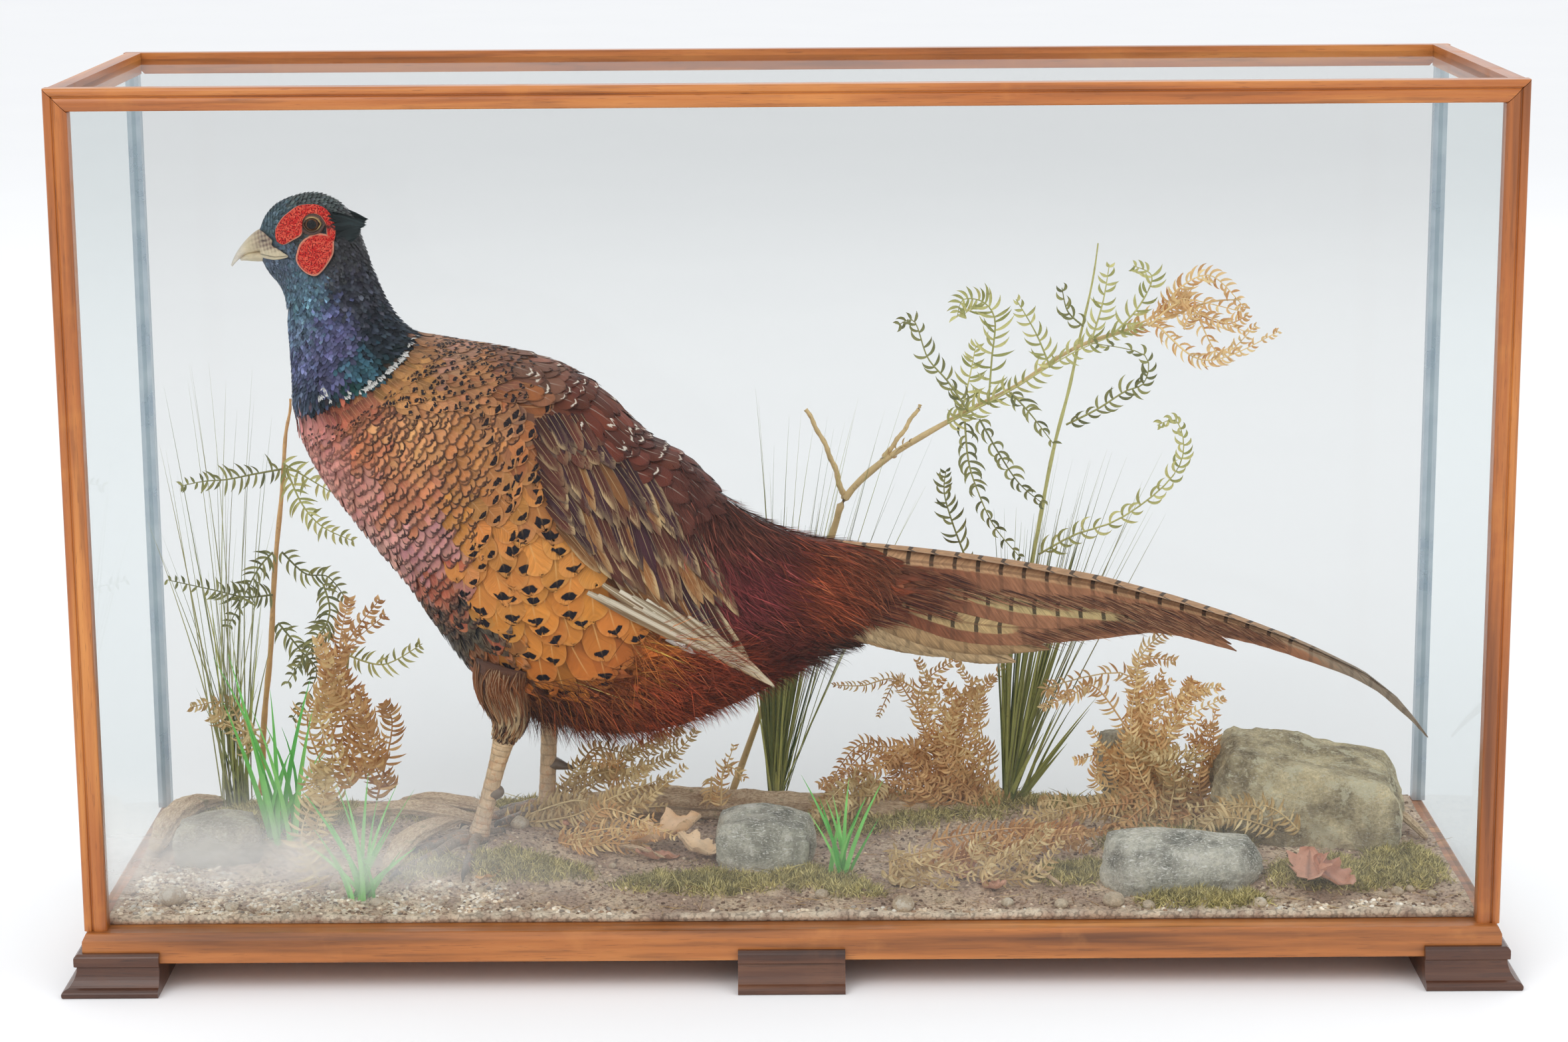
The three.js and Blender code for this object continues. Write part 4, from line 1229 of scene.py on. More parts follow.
@dataclass(frozen=True)
class Vane:
    """The shape of one kind of feather, in millimetres and shares of its length and width.

    A vane with one column is a loose strand.
    """

    length: float
    width: float
    rows: int = 6
    columns: int = 4
    broadest: float = 0.6
    roundness: float = 2.0
    root: float = 0.35
    depth: float = 3.0
    lift: float = 0.0
    camber: float = 0.4
    ragged: float = 0.0
    twist: float = 0.0
    square: float = 0.03
    notch: float = 0.0

    def half_width(self, v: Array) -> Array:
        """Gives the half width at a share of the length, as a share of the greatest.

        Args:
            v: The share of the length.

        Returns:
            The share of the greatest half width.
        """
        rising = self.root + (1 - self.root) * np.sin(np.clip(v / self.broadest, 0, 1) * math.pi / 2)
        tip = np.clip((v - self.broadest) / (1 - self.broadest), 0, 1)
        return np.where(v < self.broadest, rising, (1 - tip**self.roundness) ** (1 / self.roundness))

    def steps(self) -> Array:
        """Gives the shares of the length at its rows of points, closest together at the tip."""
        even = np.linspace(0, 1, self.rows + 1)
        return np.sin(even * math.pi / 2) ** 0.9


class Coat:
    """Lays feathers of any kind on the surface of a body form."""

    patch = 0.003

    def __init__(self, form: BodyForm, frame: BirdFrame, seed: int) -> None:
        """Notes the surface and starts its row of chances.

        Args:
            form: The surface.
            frame: Where the bird stands.
            seed: The seed of what varies from feather to feather.
        """
        self.form = form
        self.frame = frame
        self.chance = np.random.default_rng(seed)

    def roots(self, first: float, last: float, exposure: Callable[[Array], Array], spread: float) -> Array:
        """Spreads feather roots over the surface in rows, each row half a step on from the one before.

        Args:
            first: The station of the first row.
            last: The station of the last row.
            exposure: The distance to the next row, and across it, at station numbers.
            spread: How far across a feather stands from the next, in shares of the exposure.

        Returns:
            Rows of station and angle.
        """
        found = []
        s, row = first, 0
        ring = np.linspace(-math.pi, math.pi, 181)
        while s < last:
            step = float(exposure(np.array(s)))
            loop = self.form.point(np.full(ring.shape, s), ring)
            run = np.concatenate([[0], np.cumsum(np.linalg.norm(np.diff(loop, axis=0), axis=1))])
            count = max(int(run[-1] / (step * spread)), 6)
            places = (np.arange(count) + 0.5 * (row % 2)) * run[-1] / count
            places = places + self.chance.uniform(-0.13, 0.13, count) * step
            angle = np.interp(places % run[-1], run, ring)
            stations = s + self.chance.uniform(-0.1, 0.1, count) * step / self.pace(s)
            found.append(np.stack([stations, angle], 1))
            s += step / self.pace(s)
            row += 1
        return np.concatenate(found)

    def pace(self, s: float) -> float:
        """Gives how many millimetres one station is worth on the bird's side."""
        side = self.form.point(np.array([s, s + 0.1]), np.array([math.pi / 2, math.pi / 2]))
        return float(np.linalg.norm(side[1] - side[0])) * 10

    def lay(
        self,
        roots: Array,
        vane: Vane,
        parts: MeshParts,
        tint: Array,
        mark: Array,
        sweep: Array | float = 0.0,
        size: Array | float = 1.0,
        spread: float = 0.12,
        raise_by: Array | float = 0.0,
    ) -> None:
        """Lays one feather at each root, along the surface.

        Args:
            roots: Rows of station and angle.
            vane: The feather's shape.
            parts: The mesh to add the feathers to.
            tint: A colour for each feather.
            mark: Fringe, spot and chance for each feather.
            sweep: How far each turns from straight tailwards towards the belly, in radians.
            size: How large each is.
            spread: How much the ways they lie vary, in radians.
            raise_by: How far each lies above the coat's surface.
        """
        count = len(roots)
        s, angle = roots[:, 0], roots[:, 1]
        tailwards, round_it, normal = self.form.tangents(s, angle)
        ahead = unit(tailwards)
        beside = np.cross(normal, ahead)
        turn = np.sign(angle) * sweep + self.chance.normal(0, spread, count)
        lie = ahead * np.cos(turn)[:, None] + beside * np.sin(turn)[:, None]
        cross = np.cross(normal, lie)
        p, q, height, vane_map = self.web(count, vane, size, raise_by)
        move = p[..., None] * lie[:, None, None] + q[..., None] * cross[:, None, None]
        ss, aa = (tailwards * tailwards).sum(-1), (round_it * round_it).sum(-1)
        sa = (tailwards * round_it).sum(-1)
        along_s = (move * tailwards[:, None, None]).sum(-1)
        along_a = (move * round_it[:, None, None]).sum(-1)
        scale_down = (ss * aa - sa * sa)[:, None, None]
        ds = (along_s * aa[:, None, None] - along_a * sa[:, None, None]) / scale_down
        da = (along_a * ss[:, None, None] - along_s * sa[:, None, None]) / scale_down
        points = self.form.point(s[:, None, None] + ds, angle[:, None, None] + da, height)
        self.gather(points, vane_map, self.unwrap(roots), tint, mark, parts)

    def web(
        self, count: int, vane: Vane, size: Array | float, raise_by: Array | float
    ) -> tuple[Array, Array, Array, Array]:
        """Works out the webs of a number of feathers, each on a grid of points.

        Args:
            count: How many feathers there are.
            vane: Their shape.
            size: How large each is.
            raise_by: How far each lies above the surface.

        Returns:
            How far each point is along the feather, across it and above the surface, and the grid's vane map.
        """
        v = vane.steps()
        u = np.linspace(-1, 1, vane.columns + 1)
        width = np.maximum(vane.half_width(v), vane.square)
        scale = np.broadcast_to(np.asarray(size, float), (count,)) * self.chance.uniform(0.9, 1.1, count)
        loose = self.chance.uniform(0, 1, (count, 1, len(u))) * vane.ragged
        ends = 1 - loose * smooth(0.5, 1.0, v)[None, :, None]
        ends = ends * (1 - vane.notch * (1 - np.abs(u)) * smooth(0.6, 1.0, v)[:, None])
        p = (vane.length * scale)[:, None, None] * v[None, :, None] * ends
        q = (vane.width / 2 * scale)[:, None, None] * width[None, :, None] * u[None, None, :]
        p, q = np.broadcast_arrays(p, q)
        tilt = self.chance.normal(0, 0.05, count)[:, None, None]
        twist = self.chance.uniform(-1, 1, count)[:, None, None] * vane.twist
        sink = vane.depth * (1 - v[None, :, None]) ** 1.2
        rise = vane.lift * v[None, :, None] ** 2 * self.chance.uniform(0.4, 1.2, (count, 1, 1))
        crown = np.sin(np.pi * np.minimum(v * 1.1, 1))[None, :, None]
        height = rise - sink - vane.camber * (u[None, None, :] ** 2) * crown
        height = height + q * (tilt + np.sin(twist)) + np.asarray(raise_by).reshape(-1, 1, 1)
        height = height + self.chance.uniform(-0.15, 0.15, count)[:, None, None]
        across = 0.5 + 0.5 * width[:, None] * u[None, :]
        vane_map = np.stack([across, np.broadcast_to(v[:, None], across.shape)], -1)
        return p, q * np.cos(twist), height, vane_map

    def drape(
        self,
        side: int,
        starts: Array,
        heading: Callable[[Array], Array],
        surface: Callable[[Array, Array], Array],
        vane: Vane,
        parts: MeshParts,
        tint: Array,
        mark: Array,
        size: Array | float = 1.0,
        raise_by: Array | float = 0.0,
    ) -> None:
        """Lays feathers on one side of the bird, along paths seen from the side.

        Args:
            side: 1 for the bird's right and -1 for its left.
            starts: Rows of x and z where the feathers start.
            heading: Gives the way to go, as an angle from +X, at rows of x and z.
            surface: Gives the half width of what the feathers lie on, at x and z.
            vane: The feathers' shape.
            parts: The mesh to add the feathers to.
            tint: A colour for each feather.
            mark: Fringe, spot and chance for each feather.
            size: How large each is.
            raise_by: How far each lies above the surface.
        """
        count = len(starts)
        p, q, height, vane_map = self.web(count, vane, size, raise_by)
        place = np.array(starts, float)
        own_turn = self.chance.normal(0, 0.035, count)
        x, z = np.empty_like(p), np.empty_like(p)
        gone = np.zeros(count)
        middle = p.shape[2] // 2
        for row in range(p.shape[1]):
            way = heading(place) + own_turn
            place = place + np.stack([np.cos(way), np.sin(way)], 1) * (p[:, row, middle] - gone)[:, None]
            gone = p[:, row, middle]
            extra = p[:, row] - gone[:, None]
            x[:, row] = place[:, :1] + extra * np.cos(way)[:, None] - q[:, row] * np.sin(way)[:, None]
            z[:, row] = place[:, 1:] + extra * np.sin(way)[:, None] + q[:, row] * np.cos(way)[:, None]
        y = side * (surface(x, z) + height)
        points = np.stack([x, y, z], -1)
        s, angle = self.form.locate(np.array(starts)[:, 0], np.array(starts)[:, 1])
        spots = self.unwrap(np.stack([s, side * angle], 1))
        self.gather(points[:, :, ::side], vane_map[:, ::side], spots, tint, mark, parts)

    def unwrap(self, roots: Array) -> Array:
        """Gives the place of each root on the unwrapped skin."""
        share = np.clip(roots[:, 0] / self.form.last, 0, 1)
        return np.stack([roots[:, 1] / TAU + 0.5, share], 1) * 0.99 + 0.005

    def gather(
        self, points: Array, vane_map: Array, spots: Array, tint: Array, mark: Array, parts: MeshParts,
    ) -> None:
        """Adds feathers, given as grids of points, to a mesh.

        Args:
            points: One grid of points for each feather.
            vane_map: The place on the vane of each point of a grid.
            spots: Each feather's place on the unwrapped skin.
            tint: Each feather's colour.
            mark: Fringe, spot and chance of each feather.
            parts: The mesh to add them to.
        """
        count, rows, columns = points.shape[:3]
        size = rows * columns
        faces = grid_faces(rows, columns)[None] + (np.arange(count) * size)[:, None, None]
        bake = spots[:, None, None] + (vane_map[None] - 0.5) * self.patch
        parts.add(
            self.frame.world(points),
            faces[..., ::-1].reshape(-1, 4),
            vane=np.broadcast_to(vane_map[None], (count, rows, columns, 2)),
            bake=bake,
            tint=np.repeat(tint, size, 0),
            mark=np.repeat(mark, size, 0),
        )


class Pattern(Enum):
    """The markings that a kind of feather carries."""

    PLAIN = "plain"
    SCALE = "dark rim at the tip"
    SPOT = "dark spot at the tip"
    VEE = "pale V near the tip"
    STREAK = "pale middle between dark lines"
    BORDER = "dark middle in a pale border"
    STRAND = "loose barb"


@dataclass(frozen=True)
class VaneFinish:
    """A feather's web: its own tint, broken up by barbs, painted shade towards its root, a shaft and the
    markings of its kind.
    """

    name: str
    pattern: Pattern = Pattern.PLAIN
    mark_colour: Colour = srgb(38, 24, 34)
    pale: Colour = srgb(214, 190, 150)
    broadest: float = 0.6
    roughness: float = 0.55
    sheen: float = 0.0
    shine: float = 0.16
    barbs: float = 38.0
    contrast: float = 0.32
    shaft: float = 0.35
    relief: float = 0.00012

    def material(self) -> bpy.types.Material:
        """Makes the finish.

        Returns:
            The material.
        """
        shader = Shader(self.name)
        tint = shader.attribute("tint")
        fringe, spot, chance = shader.split(shader.attribute("mark", "Vector"))
        across, along_it = shader.vane()
        off = shader.sum("ABSOLUTE", shader.line(across, 2.0, -1.0))
        slant = shader.line(off, -0.28, along_it)
        shift = shader.times(chance, 61.0)
        barb_place = shader.join(shader.times(off, 1.6), shader.times(slant, self.barbs), shift)
        barbs = shader.noise(1.0, barb_place, 3.0, 0.65)
        broad = shader.noise(1.0, shader.join(across, shader.times(slant, 6.0), shift), 2.0)
        level = shader.line(barbs, self.contrast * 2, 1.0 - self.contrast)
        level = shader.times(level, shader.line(broad, 0.4, 0.8))
        # Painted shade: each feather darkens towards its root, to 0.55 of its tint, where the feather before
        # it covers it.
        level = shader.times(level, shader.line(shader.rise(along_it, 0.1, 0.75), 0.45, 0.55))
        colour = shader.shade(tint, level)
        worn = shader.line(shader.noise(1.0, barb_place, 2.0), 0.34, -0.17)
        beyond = shader.sum("DIVIDE", shader.minus(along_it, self.broadest), 1 - self.broadest)
        tip = shader.sum("MAXIMUM", 0.0, beyond)
        rim = shader.sum("SQRT", shader.plus(shader.sum("POWER", off, 2.0), shader.sum("POWER", tip, 2.0)))
        rim = shader.plus(rim, worn)
        flip = shader.rise(chance, 0.45, 0.55)
        lean = shader.sum("ABSOLUTE", shader.minus(shader.rise(across, 0.3, 0.7), flip))
        colour = self.marked(shader, colour, off, along_it, rim, worn, lean, fringe, spot)
        if self.shaft:
            ridge = shader.times(shader.rise(off, 0.07, 0.02), shader.rise(along_it, 0.97, 0.6))
            colour = shader.mix(shader.times(ridge, self.shaft), colour, self.pale)
        shader.relief(barbs, self.relief, 0.8)
        rough = shader.line(barbs, 0.24, self.roughness - 0.12)
        constants = {"Sheen_Weight": self.sheen, "Sheen_Roughness": 0.4, "Specular_IOR_Level": self.shine}
        return shader.finish(colour, rough, **constants)

    def marked(
        self,
        shader: Shader,
        colour: Value,
        off: Value,
        along_it: Value,
        rim: Value,
        worn: Value,
        lean: Value,
        fringe: Value,
        spot: Value,
    ) -> Value:
        """Adds the markings of the feather's kind; scales and spots also get a painted highlight near the
        rim.

        Args:
            shader: The finish's nodes.
            colour: The colour of the plain web.
            off: How far off the shaft, from 0 to 1.
            along_it: How far along the feather, from 0 to 1.
            rim: How near the tip's outline, 1 on it.
            worn: A small uneven shift.
            lean: How far towards the paler side, from 0 to 1.
            fringe: How strong the rim's mark is.
            spot: How strong the tip's spot is.

        Returns:
            The marked colour.
        """
        front = shader.rise(along_it, self.broadest - 0.12, self.broadest + 0.12)
        if self.pattern is Pattern.SCALE:
            band = shader.times(shader.rise(rim, 0.83, 0.93), front)
            notch = shader.times(shader.rise(along_it, 0.85, 0.93), shader.rise(off, 0.32, 0.14))
            band = shader.sum("MINIMUM", 1.0, shader.plus(band, notch))
            # A paler band inside the dark rim: partly the feather's own paler gold, partly painted sheen
            # highlight.
            inner = shader.times(shader.rise(rim, 0.35, 0.8), shader.times(front, 0.3))
            colour = shader.mix(shader.times(inner, fringe), colour, self.pale)
            return shader.mix(shader.times(band, fringe), colour, self.mark_colour)
        if self.pattern is Pattern.SPOT:
            wide = shader.sum("POWER", off, 2.0)
            # A paler rim at the tip: partly the feather's own pale edge, partly painted highlight where the
            # edge catches the light.
            edge = shader.times(shader.rise(rim, 0.76, 1.0), shader.times(front, 0.34))
            colour = shader.mix(shader.times(edge, fringe), colour, self.pale)
            bow = shader.line(wide, -0.13, 0.915)
            thick = shader.line(wide, -0.3, 0.078)
            near = shader.sum("ABSOLUTE", shader.minus(shader.line(worn, 0.16, along_it), bow))
            dark = shader.times(shader.rise(shader.minus(thick, near), -0.004, 0.01), spot)
            return shader.mix(dark, colour, self.mark_colour)
        if self.pattern is Pattern.VEE:
            bow = shader.line(shader.sum("POWER", off, 1.6), -0.3, 0.93)
            near = shader.sum("ABSOLUTE", shader.minus(shader.line(worn, 0.3, along_it), bow))
            arms = shader.times(shader.rise(near, 0.034, 0.016), shader.rise(off, 0.5, 0.36))
            colour = shader.mix(shader.times(arms, spot), colour, self.pale)
            edge = shader.times(shader.rise(rim, 0.9, 1.0), front)
            return shader.mix(shader.times(edge, fringe), colour, self.mark_colour)
        if self.pattern is Pattern.BORDER:
            ragged = shader.line(worn, 2.6, rim)
            edge = shader.times(shader.rise(ragged, 0.42, 0.8), shader.rise(along_it, 0.2, 0.5))
            edge = shader.times(edge, shader.line(lean, 0.8, 0.2))
            colour = shader.mix(shader.times(edge, fringe), colour, self.pale)
            line = shader.times(shader.rise(rim, 0.93, 1.05), spot)
            return shader.mix(shader.times(line, 0.5), colour, self.mark_colour)
        if self.pattern is Pattern.STREAK:
            wedge = shader.plus(shader.line(worn, 1.2, off), shader.times(along_it, 0.25))
            middle = shader.rise(wedge, 0.5, 0.3)
            colour = shader.mix(shader.times(middle, fringe), colour, self.pale)
            away = shader.sum("ABSOLUTE", shader.minus(shader.plus(off, worn), 0.62))
            between = shader.rise(away, 0.3, 0.14)
            return shader.mix(shader.times(between, spot), colour, self.mark_colour)
        return colour


@dataclass(frozen=True)
class SkinFinish:
    """The skin under the feathers, with their markings and a downy, uneven surface."""

    name: str = "feathered_skin"

    def material(self) -> bpy.types.Material:
        """Makes the finish.

        Returns:
            The material.
        """
        shader = Shader(self.name)
        tint = shader.attribute("tint")
        down = shader.noise(900.0, detail=5.0)
        colour = shader.mix(shader.line(down, 0.5, 0.15), tint, (0.012, 0.008, 0.007))
        shader.relief(down, 0.0006)
        return shader.finish(colour, 0.85, Sheen_Weight=0.2)


Outline = tuple[tuple[float, float], ...]


def inside(outline: Sequence[tuple[float, float]], x: Array, z: Array) -> Array:
    """Tells which places lie inside a closed outline.

    Args:
        outline: The corners of the outline.
        x: The places' first coordinates.
        z: The places' second coordinates.

    Returns:
        True for each place inside.
    """
    found = np.zeros(np.shape(x), bool)
    corners = np.array(outline)
    for (ax, az), (bx, bz) in zip(corners, np.roll(corners, -1, 0)):
        crosses = (az > z) != (bz > z)
        run = (bx - ax) * (z - az) / (bz - az + 1e-12) + ax
        found ^= crosses & (x < run)
    return found


@dataclass(frozen=True)
class Tract:
    """A tract of one kind of feather: where it grows, how close it stands and what it looks like."""

    name: str
    slot: str
    outline: Outline
    first: float
    last: float
    exposure: tuple[tuple[float, float], ...]
    vane: Vane
    finish: VaneFinish
    spread: float = 1.0
    sweep: float = 0.0
    turn_spread: float = 0.12
    fringe: float = 0.0
    spot: float = 0.0
    shade: float = 1.0
    vary: float = 0.12
    raise_by: float = 0.0
    seed: int = 1
    marked: float = 1.0
    look: tuple[float, float] = (0.0, 0.0)
    blend: float = 1.0
    fade: tuple[float, float] = (-900.0, -899.0)
    stray: float = 2.0

    def spacing(self, s: Array) -> Array:
        """Gives the distance from one row to the next at a station."""
        places = np.array(self.exposure)
        return np.interp(s, places[:, 0], places[:, 1])


HEAD_OUTLINE: Outline = (
    (-180, 400), (-180, 520), (-60, 520), (-60, 470), (-78, 445), (-84, 452), (-140, 418),
)
NECK_OUTLINE: Outline = (
    (-180, 424), (-84, 456), (-60, 470), (-40, 420), (-53, 399), (-62, 389), (-72, 379), (-84, 371),
    (-95, 365), (-106, 360), (-118, 355), (-130, 350), (-150, 346),
)
COLLAR_OUTLINE: Outline = (
    (-47, 402), (-57, 387), (-69, 376), (-81, 367.5), (-92, 361.5), (-103, 356), (-116, 351), (-130, 346),
    (-130, 334), (-110, 342), (-90, 350), (-68, 364), (-44, 382), (-30, 410),
)
MANTLE_OUTLINE: Outline = (
    (-53, 399), (-62, 389), (-72, 379), (-84, 371), (-70, 361), (-45, 360), (-20, 362), (0, 364), (12, 372),
    (16, 400), (-20, 410), (-45, 408),
)
BREAST_OUTLINE: Outline = (
    (-150, 348), (-130, 350), (-106, 360), (-84, 371), (-70, 361), (-45, 360), (-20, 364), (-2, 364),
    (-2, 345), (-14, 320), (-26, 295), (-32, 268), (-34, 245), (-28, 228), (-40, 210), (-60, 215),
    (-110, 260),
)
DARK_OUTLINE: Outline = (
    (-70, 240), (-45, 236), (-26, 232), (-8, 220), (0, 205), (-4, 180), (6, 160), (-10, 140), (-40, 160),
)
FLANK_OUTLINE: Outline = (
    (-6, 372), (14, 374), (26, 352), (36, 340), (50, 300), (60, 265), (78, 236), (92, 214), (94, 200),
    (86, 186), (68, 178), (50, 170), (22, 164), (0, 168), (-16, 182), (-8, 205), (-14, 222), (-34, 240),
    (-36, 270), (-28, 298), (-14, 325), (-4, 350),
)
SHOULDER_OUTLINE: Outline = (
    (-32, 364), (-6, 376), (18, 380), (27, 352), (22, 330), (10, 312), (-4, 296), (-16, 276), (-32, 258),
    (-37, 280), (-26, 300), (-22, 330),
)
BACK_OUTLINE: Outline = (
    (-10, 412), (-10, 388), (4, 374), (14, 362), (24, 352), (50, 344), (72, 324), (92, 302), (104, 290),
    (126, 296), (136, 330), (80, 400),
)
RUMP_OUTLINE: Outline = (
    (100, 345), (108, 310), (100, 285), (112, 262), (128, 232), (140, 205), (150, 186), (176, 172),
    (205, 176), (236, 196), (250, 220), (252, 262), (190, 280), (150, 310), (128, 340),
)
COVERT_OUTLINE: Outline = (
    (176, 290), (180, 255), (186, 225), (196, 200), (240, 160), (320, 170), (320, 260), (220, 280),
)
BELLY_OUTLINE: Outline = (
    (-24, 190), (-6, 176), (30, 172), (50, 176), (68, 184), (80, 196), (84, 214), (110, 208), (140, 196),
    (165, 176), (205, 178), (205, 120), (90, 100), (20, 110), (-10, 130),
)

PLAIN_WEB = VaneFinish(
    "head_vane", barbs=9.0, contrast=0.5, shaft=0.0, roughness=0.5, shine=0.2, relief=0.00006,
)
NECK_WEB = VaneFinish(
    "neck_vane", barbs=9.0, contrast=0.6, shaft=0.0, roughness=0.62, shine=0.08, relief=0.00003,
)
HAIR_WEB = VaneFinish(
    "loose_barb", Pattern.STRAND, barbs=3.0, contrast=0.25, shaft=0.0, roughness=0.6, relief=0.00003,
)

TRACTS: tuple[Tract, ...] = (
    Tract(
        "face_feathers", "feather_head", HEAD_OUTLINE, 0.25, 6.6, ((0, 1.35), (3, 1.9), (6, 2.3)),
        Vane(4.4, 2.5, 3, 2, 0.55, 1.6, depth=1.1, camber=0.15, ragged=0.25),
        PLAIN_WEB, shade=0.85, vary=0.3, seed=11, stray=3.0,
    ),
    Tract(
        "neck_feathers", "feather_neck", NECK_OUTLINE, 5.2, 9.9, ((5, 2.2), (9, 3.3)),
        Vane(7.0, 4.0, 3, 2, 0.55, 1.6, depth=1.8, camber=0.3, ragged=0.25),
        NECK_WEB, shade=0.92, vary=0.42, seed=12,
        look=(0, 6), stray=4.5,
    ),
    Tract(
        "mantle_feathers", "feather_body", MANTLE_OUTLINE, 8.48, 11.9, ((8, 3.8), (10, 5.2), (12, 6.8)),
        Vane(17, 7.6, 7, 6, 0.55, 1.7, depth=3.2, camber=0.8, ragged=0.12),
        VaneFinish(
            "mantle_vane", Pattern.SPOT, srgb(30, 20, 26), srgb(214, 164, 112), 0.55, contrast=0.6, shaft=0.5,
        ),
        spread=0.9, fringe=0.8, spot=1.0, marked=0.92, vary=0.2, turn_spread=0.2, seed=13, look=(3, -6),
        blend=3.0, raise_by=1.8, stray=3.0,
    ),
    Tract(
        "breast_feathers", "feather_body", BREAST_OUTLINE, 8.56, 13.8,
        ((8.7, 3.5), (9.6, 4.4), (10.6, 5.8), (11.5, 5.6), (13, 5.4)),
        Vane(16, 9.8, 8, 6, 0.7, 2.9, depth=3.4, camber=0.9, ragged=0.06, square=0.1, notch=0.05),
        VaneFinish("breast_vane", Pattern.SCALE, srgb(34, 14, 20), srgb(224, 168, 126), 0.7, contrast=0.5),
        spread=1.08, fringe=0.95, vary=0.16, turn_spread=0.19, seed=14, look=(3, -9),
        blend=5.0, fade=(-132, -80), stray=5.0,
    ),
    Tract(
        "collar_edge_feathers", "feather_body", COLLAR_OUTLINE, 8.35, 9.6, ((8, 2.9), (10, 3.2)),
        Vane(9.5, 5.4, 6, 4, 0.62, 2.0, depth=1.8, camber=0.6, ragged=0.08),
        VaneFinish(
            "collar_edge_vane", Pattern.SPOT, srgb(40, 22, 28), srgb(224, 176, 126), 0.55, contrast=0.6,
            shaft=0.4,
        ),
        spread=0.9, fringe=0.6, spot=0.9, marked=0.6, vary=0.2, turn_spread=0.2, seed=24, look=(3, -6),
        blend=3.0, raise_by=1.6, stray=1.0,
    ),
    Tract(
        "flank_feathers", "feather_body", FLANK_OUTLINE, 10.2, 17.4, ((10, 9.5), (12, 14.0), (16, 16.5)),
        Vane(42, 20, 10, 8, 0.7, 2.2, depth=4.6, camber=1.6, ragged=0.1),
        VaneFinish(
            "flank_vane", Pattern.SPOT, srgb(18, 11, 22), srgb(232, 178, 108), 0.7, contrast=0.6, shaft=0.6,
            barbs=90.0,
        ),
        spread=0.98, fringe=0.5, spot=1.0, marked=0.88, sweep=0.58, vary=0.12, turn_spread=0.14, seed=15,
        blend=3.0, stray=5.0,
    ),
    Tract(
        "shoulder_feathers", "feather_body", SHOULDER_OUTLINE, 9.8, 12.6, ((9, 8.5), (13, 11.0)),
        Vane(28, 14.5, 9, 8, 0.66, 2.2, depth=3.4, camber=1.0, ragged=0.08),
        VaneFinish(
            "shoulder_vane", Pattern.SPOT, srgb(24, 12, 18), srgb(222, 172, 122), 0.66, contrast=0.7,
            barbs=50.0,
        ),
        spread=1.0, fringe=0.6, spot=1.0, marked=0.98, vary=0.16, turn_spread=0.18, raise_by=0.5, seed=23,
        blend=3.0, stray=4.0,
    ),
    Tract(
        "dark_breast_feathers", "feather_body", DARK_OUTLINE, 11.8, 16.0, ((11, 6.0), (16, 7.5)),
        Vane(22, 10, 6, 4, 0.55, 1.6, depth=3.4, camber=0.8, ragged=0.2),
        VaneFinish("dark_vane", Pattern.SCALE, srgb(30, 22, 26), contrast=0.4, roughness=0.45),
        fringe=0.6, vary=0.3, turn_spread=0.2, shade=0.8, seed=16, blend=4.0, stray=5.0,
    ),
    Tract(
        "back_feathers", "feather_body", BACK_OUTLINE, 9.7, 16.0, ((10, 9.0), (16, 12.0)),
        Vane(32, 17, 8, 6, 0.6, 2.0, depth=3.6, camber=1.0, ragged=0.1),
        VaneFinish(
            "back_vane", Pattern.VEE, srgb(44, 22, 22), srgb(232, 222, 206), 0.6, contrast=0.45, shaft=0.25,
        ),
        fringe=0.6, spot=0.9, vary=0.24, raise_by=2.6, seed=17, marked=0.45, blend=3.0, stray=6.0,
        fade=(112, 84),
    ),
    Tract(
        "rump_feathers", "feather_rump", RUMP_OUTLINE, 13.2, 19.6, ((13, 8.0), (20, 9.0)),
        Vane(36, 10, 7, 4, 0.5, 1.5, depth=3.6, camber=0.9, ragged=0.3),
        VaneFinish("rump_vane", contrast=0.7, shaft=0.12, barbs=50.0, pale=srgb(140, 96, 70)),
        sweep=0.72, vary=0.3, turn_spread=0.18, seed=18, stray=6.0,
    ),
    Tract(
        "tail_covert_feathers", "feather_rump", COVERT_OUTLINE, 16.6, 20.4, ((16, 8.0), (20, 9.0)),
        Vane(52, 11, 8, 4, 0.5, 1.5, depth=3.2, camber=0.9, ragged=0.25),
        VaneFinish("tail_covert_vane", contrast=0.5, shaft=0.25, barbs=60.0, pale=srgb(176, 128, 84)),
        sweep=0.05, vary=0.26, turn_spread=0.1, seed=19, stray=5.0,
    ),
    Tract(
        "belly_feathers", "feather_body", BELLY_OUTLINE, 12.4, 18.6, ((12, 7.0), (19, 8.0)),
        Vane(28, 9, 7, 5, 0.5, 1.4, depth=4.0, camber=0.8, ragged=0.6, lift=4.5),
        VaneFinish("belly_vane", contrast=0.7, shaft=0.0, barbs=44.0),
        vary=0.34, turn_spread=0.3, shade=0.95, seed=20, stray=7.0,
    ),
    Tract(
        "rump_barbs", "feather_rump", RUMP_OUTLINE, 13.4, 20.0, ((13, 2.6), (20, 2.6)),
        Vane(28, 0.7, 3, 1, 0.3, 1.2, depth=1.6, lift=5.0, twist=0.8), HAIR_WEB,
        sweep=0.8, vary=0.65, turn_spread=0.22, raise_by=0.3, spread=0.9, seed=21, stray=6.0,
    ),
    Tract(
        "belly_barbs", "feather_body", BELLY_OUTLINE, 12.4, 19.0, ((12, 2.3), (19, 2.3)),
        Vane(32, 0.6, 3, 1, 0.3, 1.2, depth=2.0, lift=19.0, twist=1.0), HAIR_WEB,
        sweep=0.1, vary=0.65, turn_spread=0.5, raise_by=0.2, spread=0.9, seed=22, stray=7.0,
    ),
)


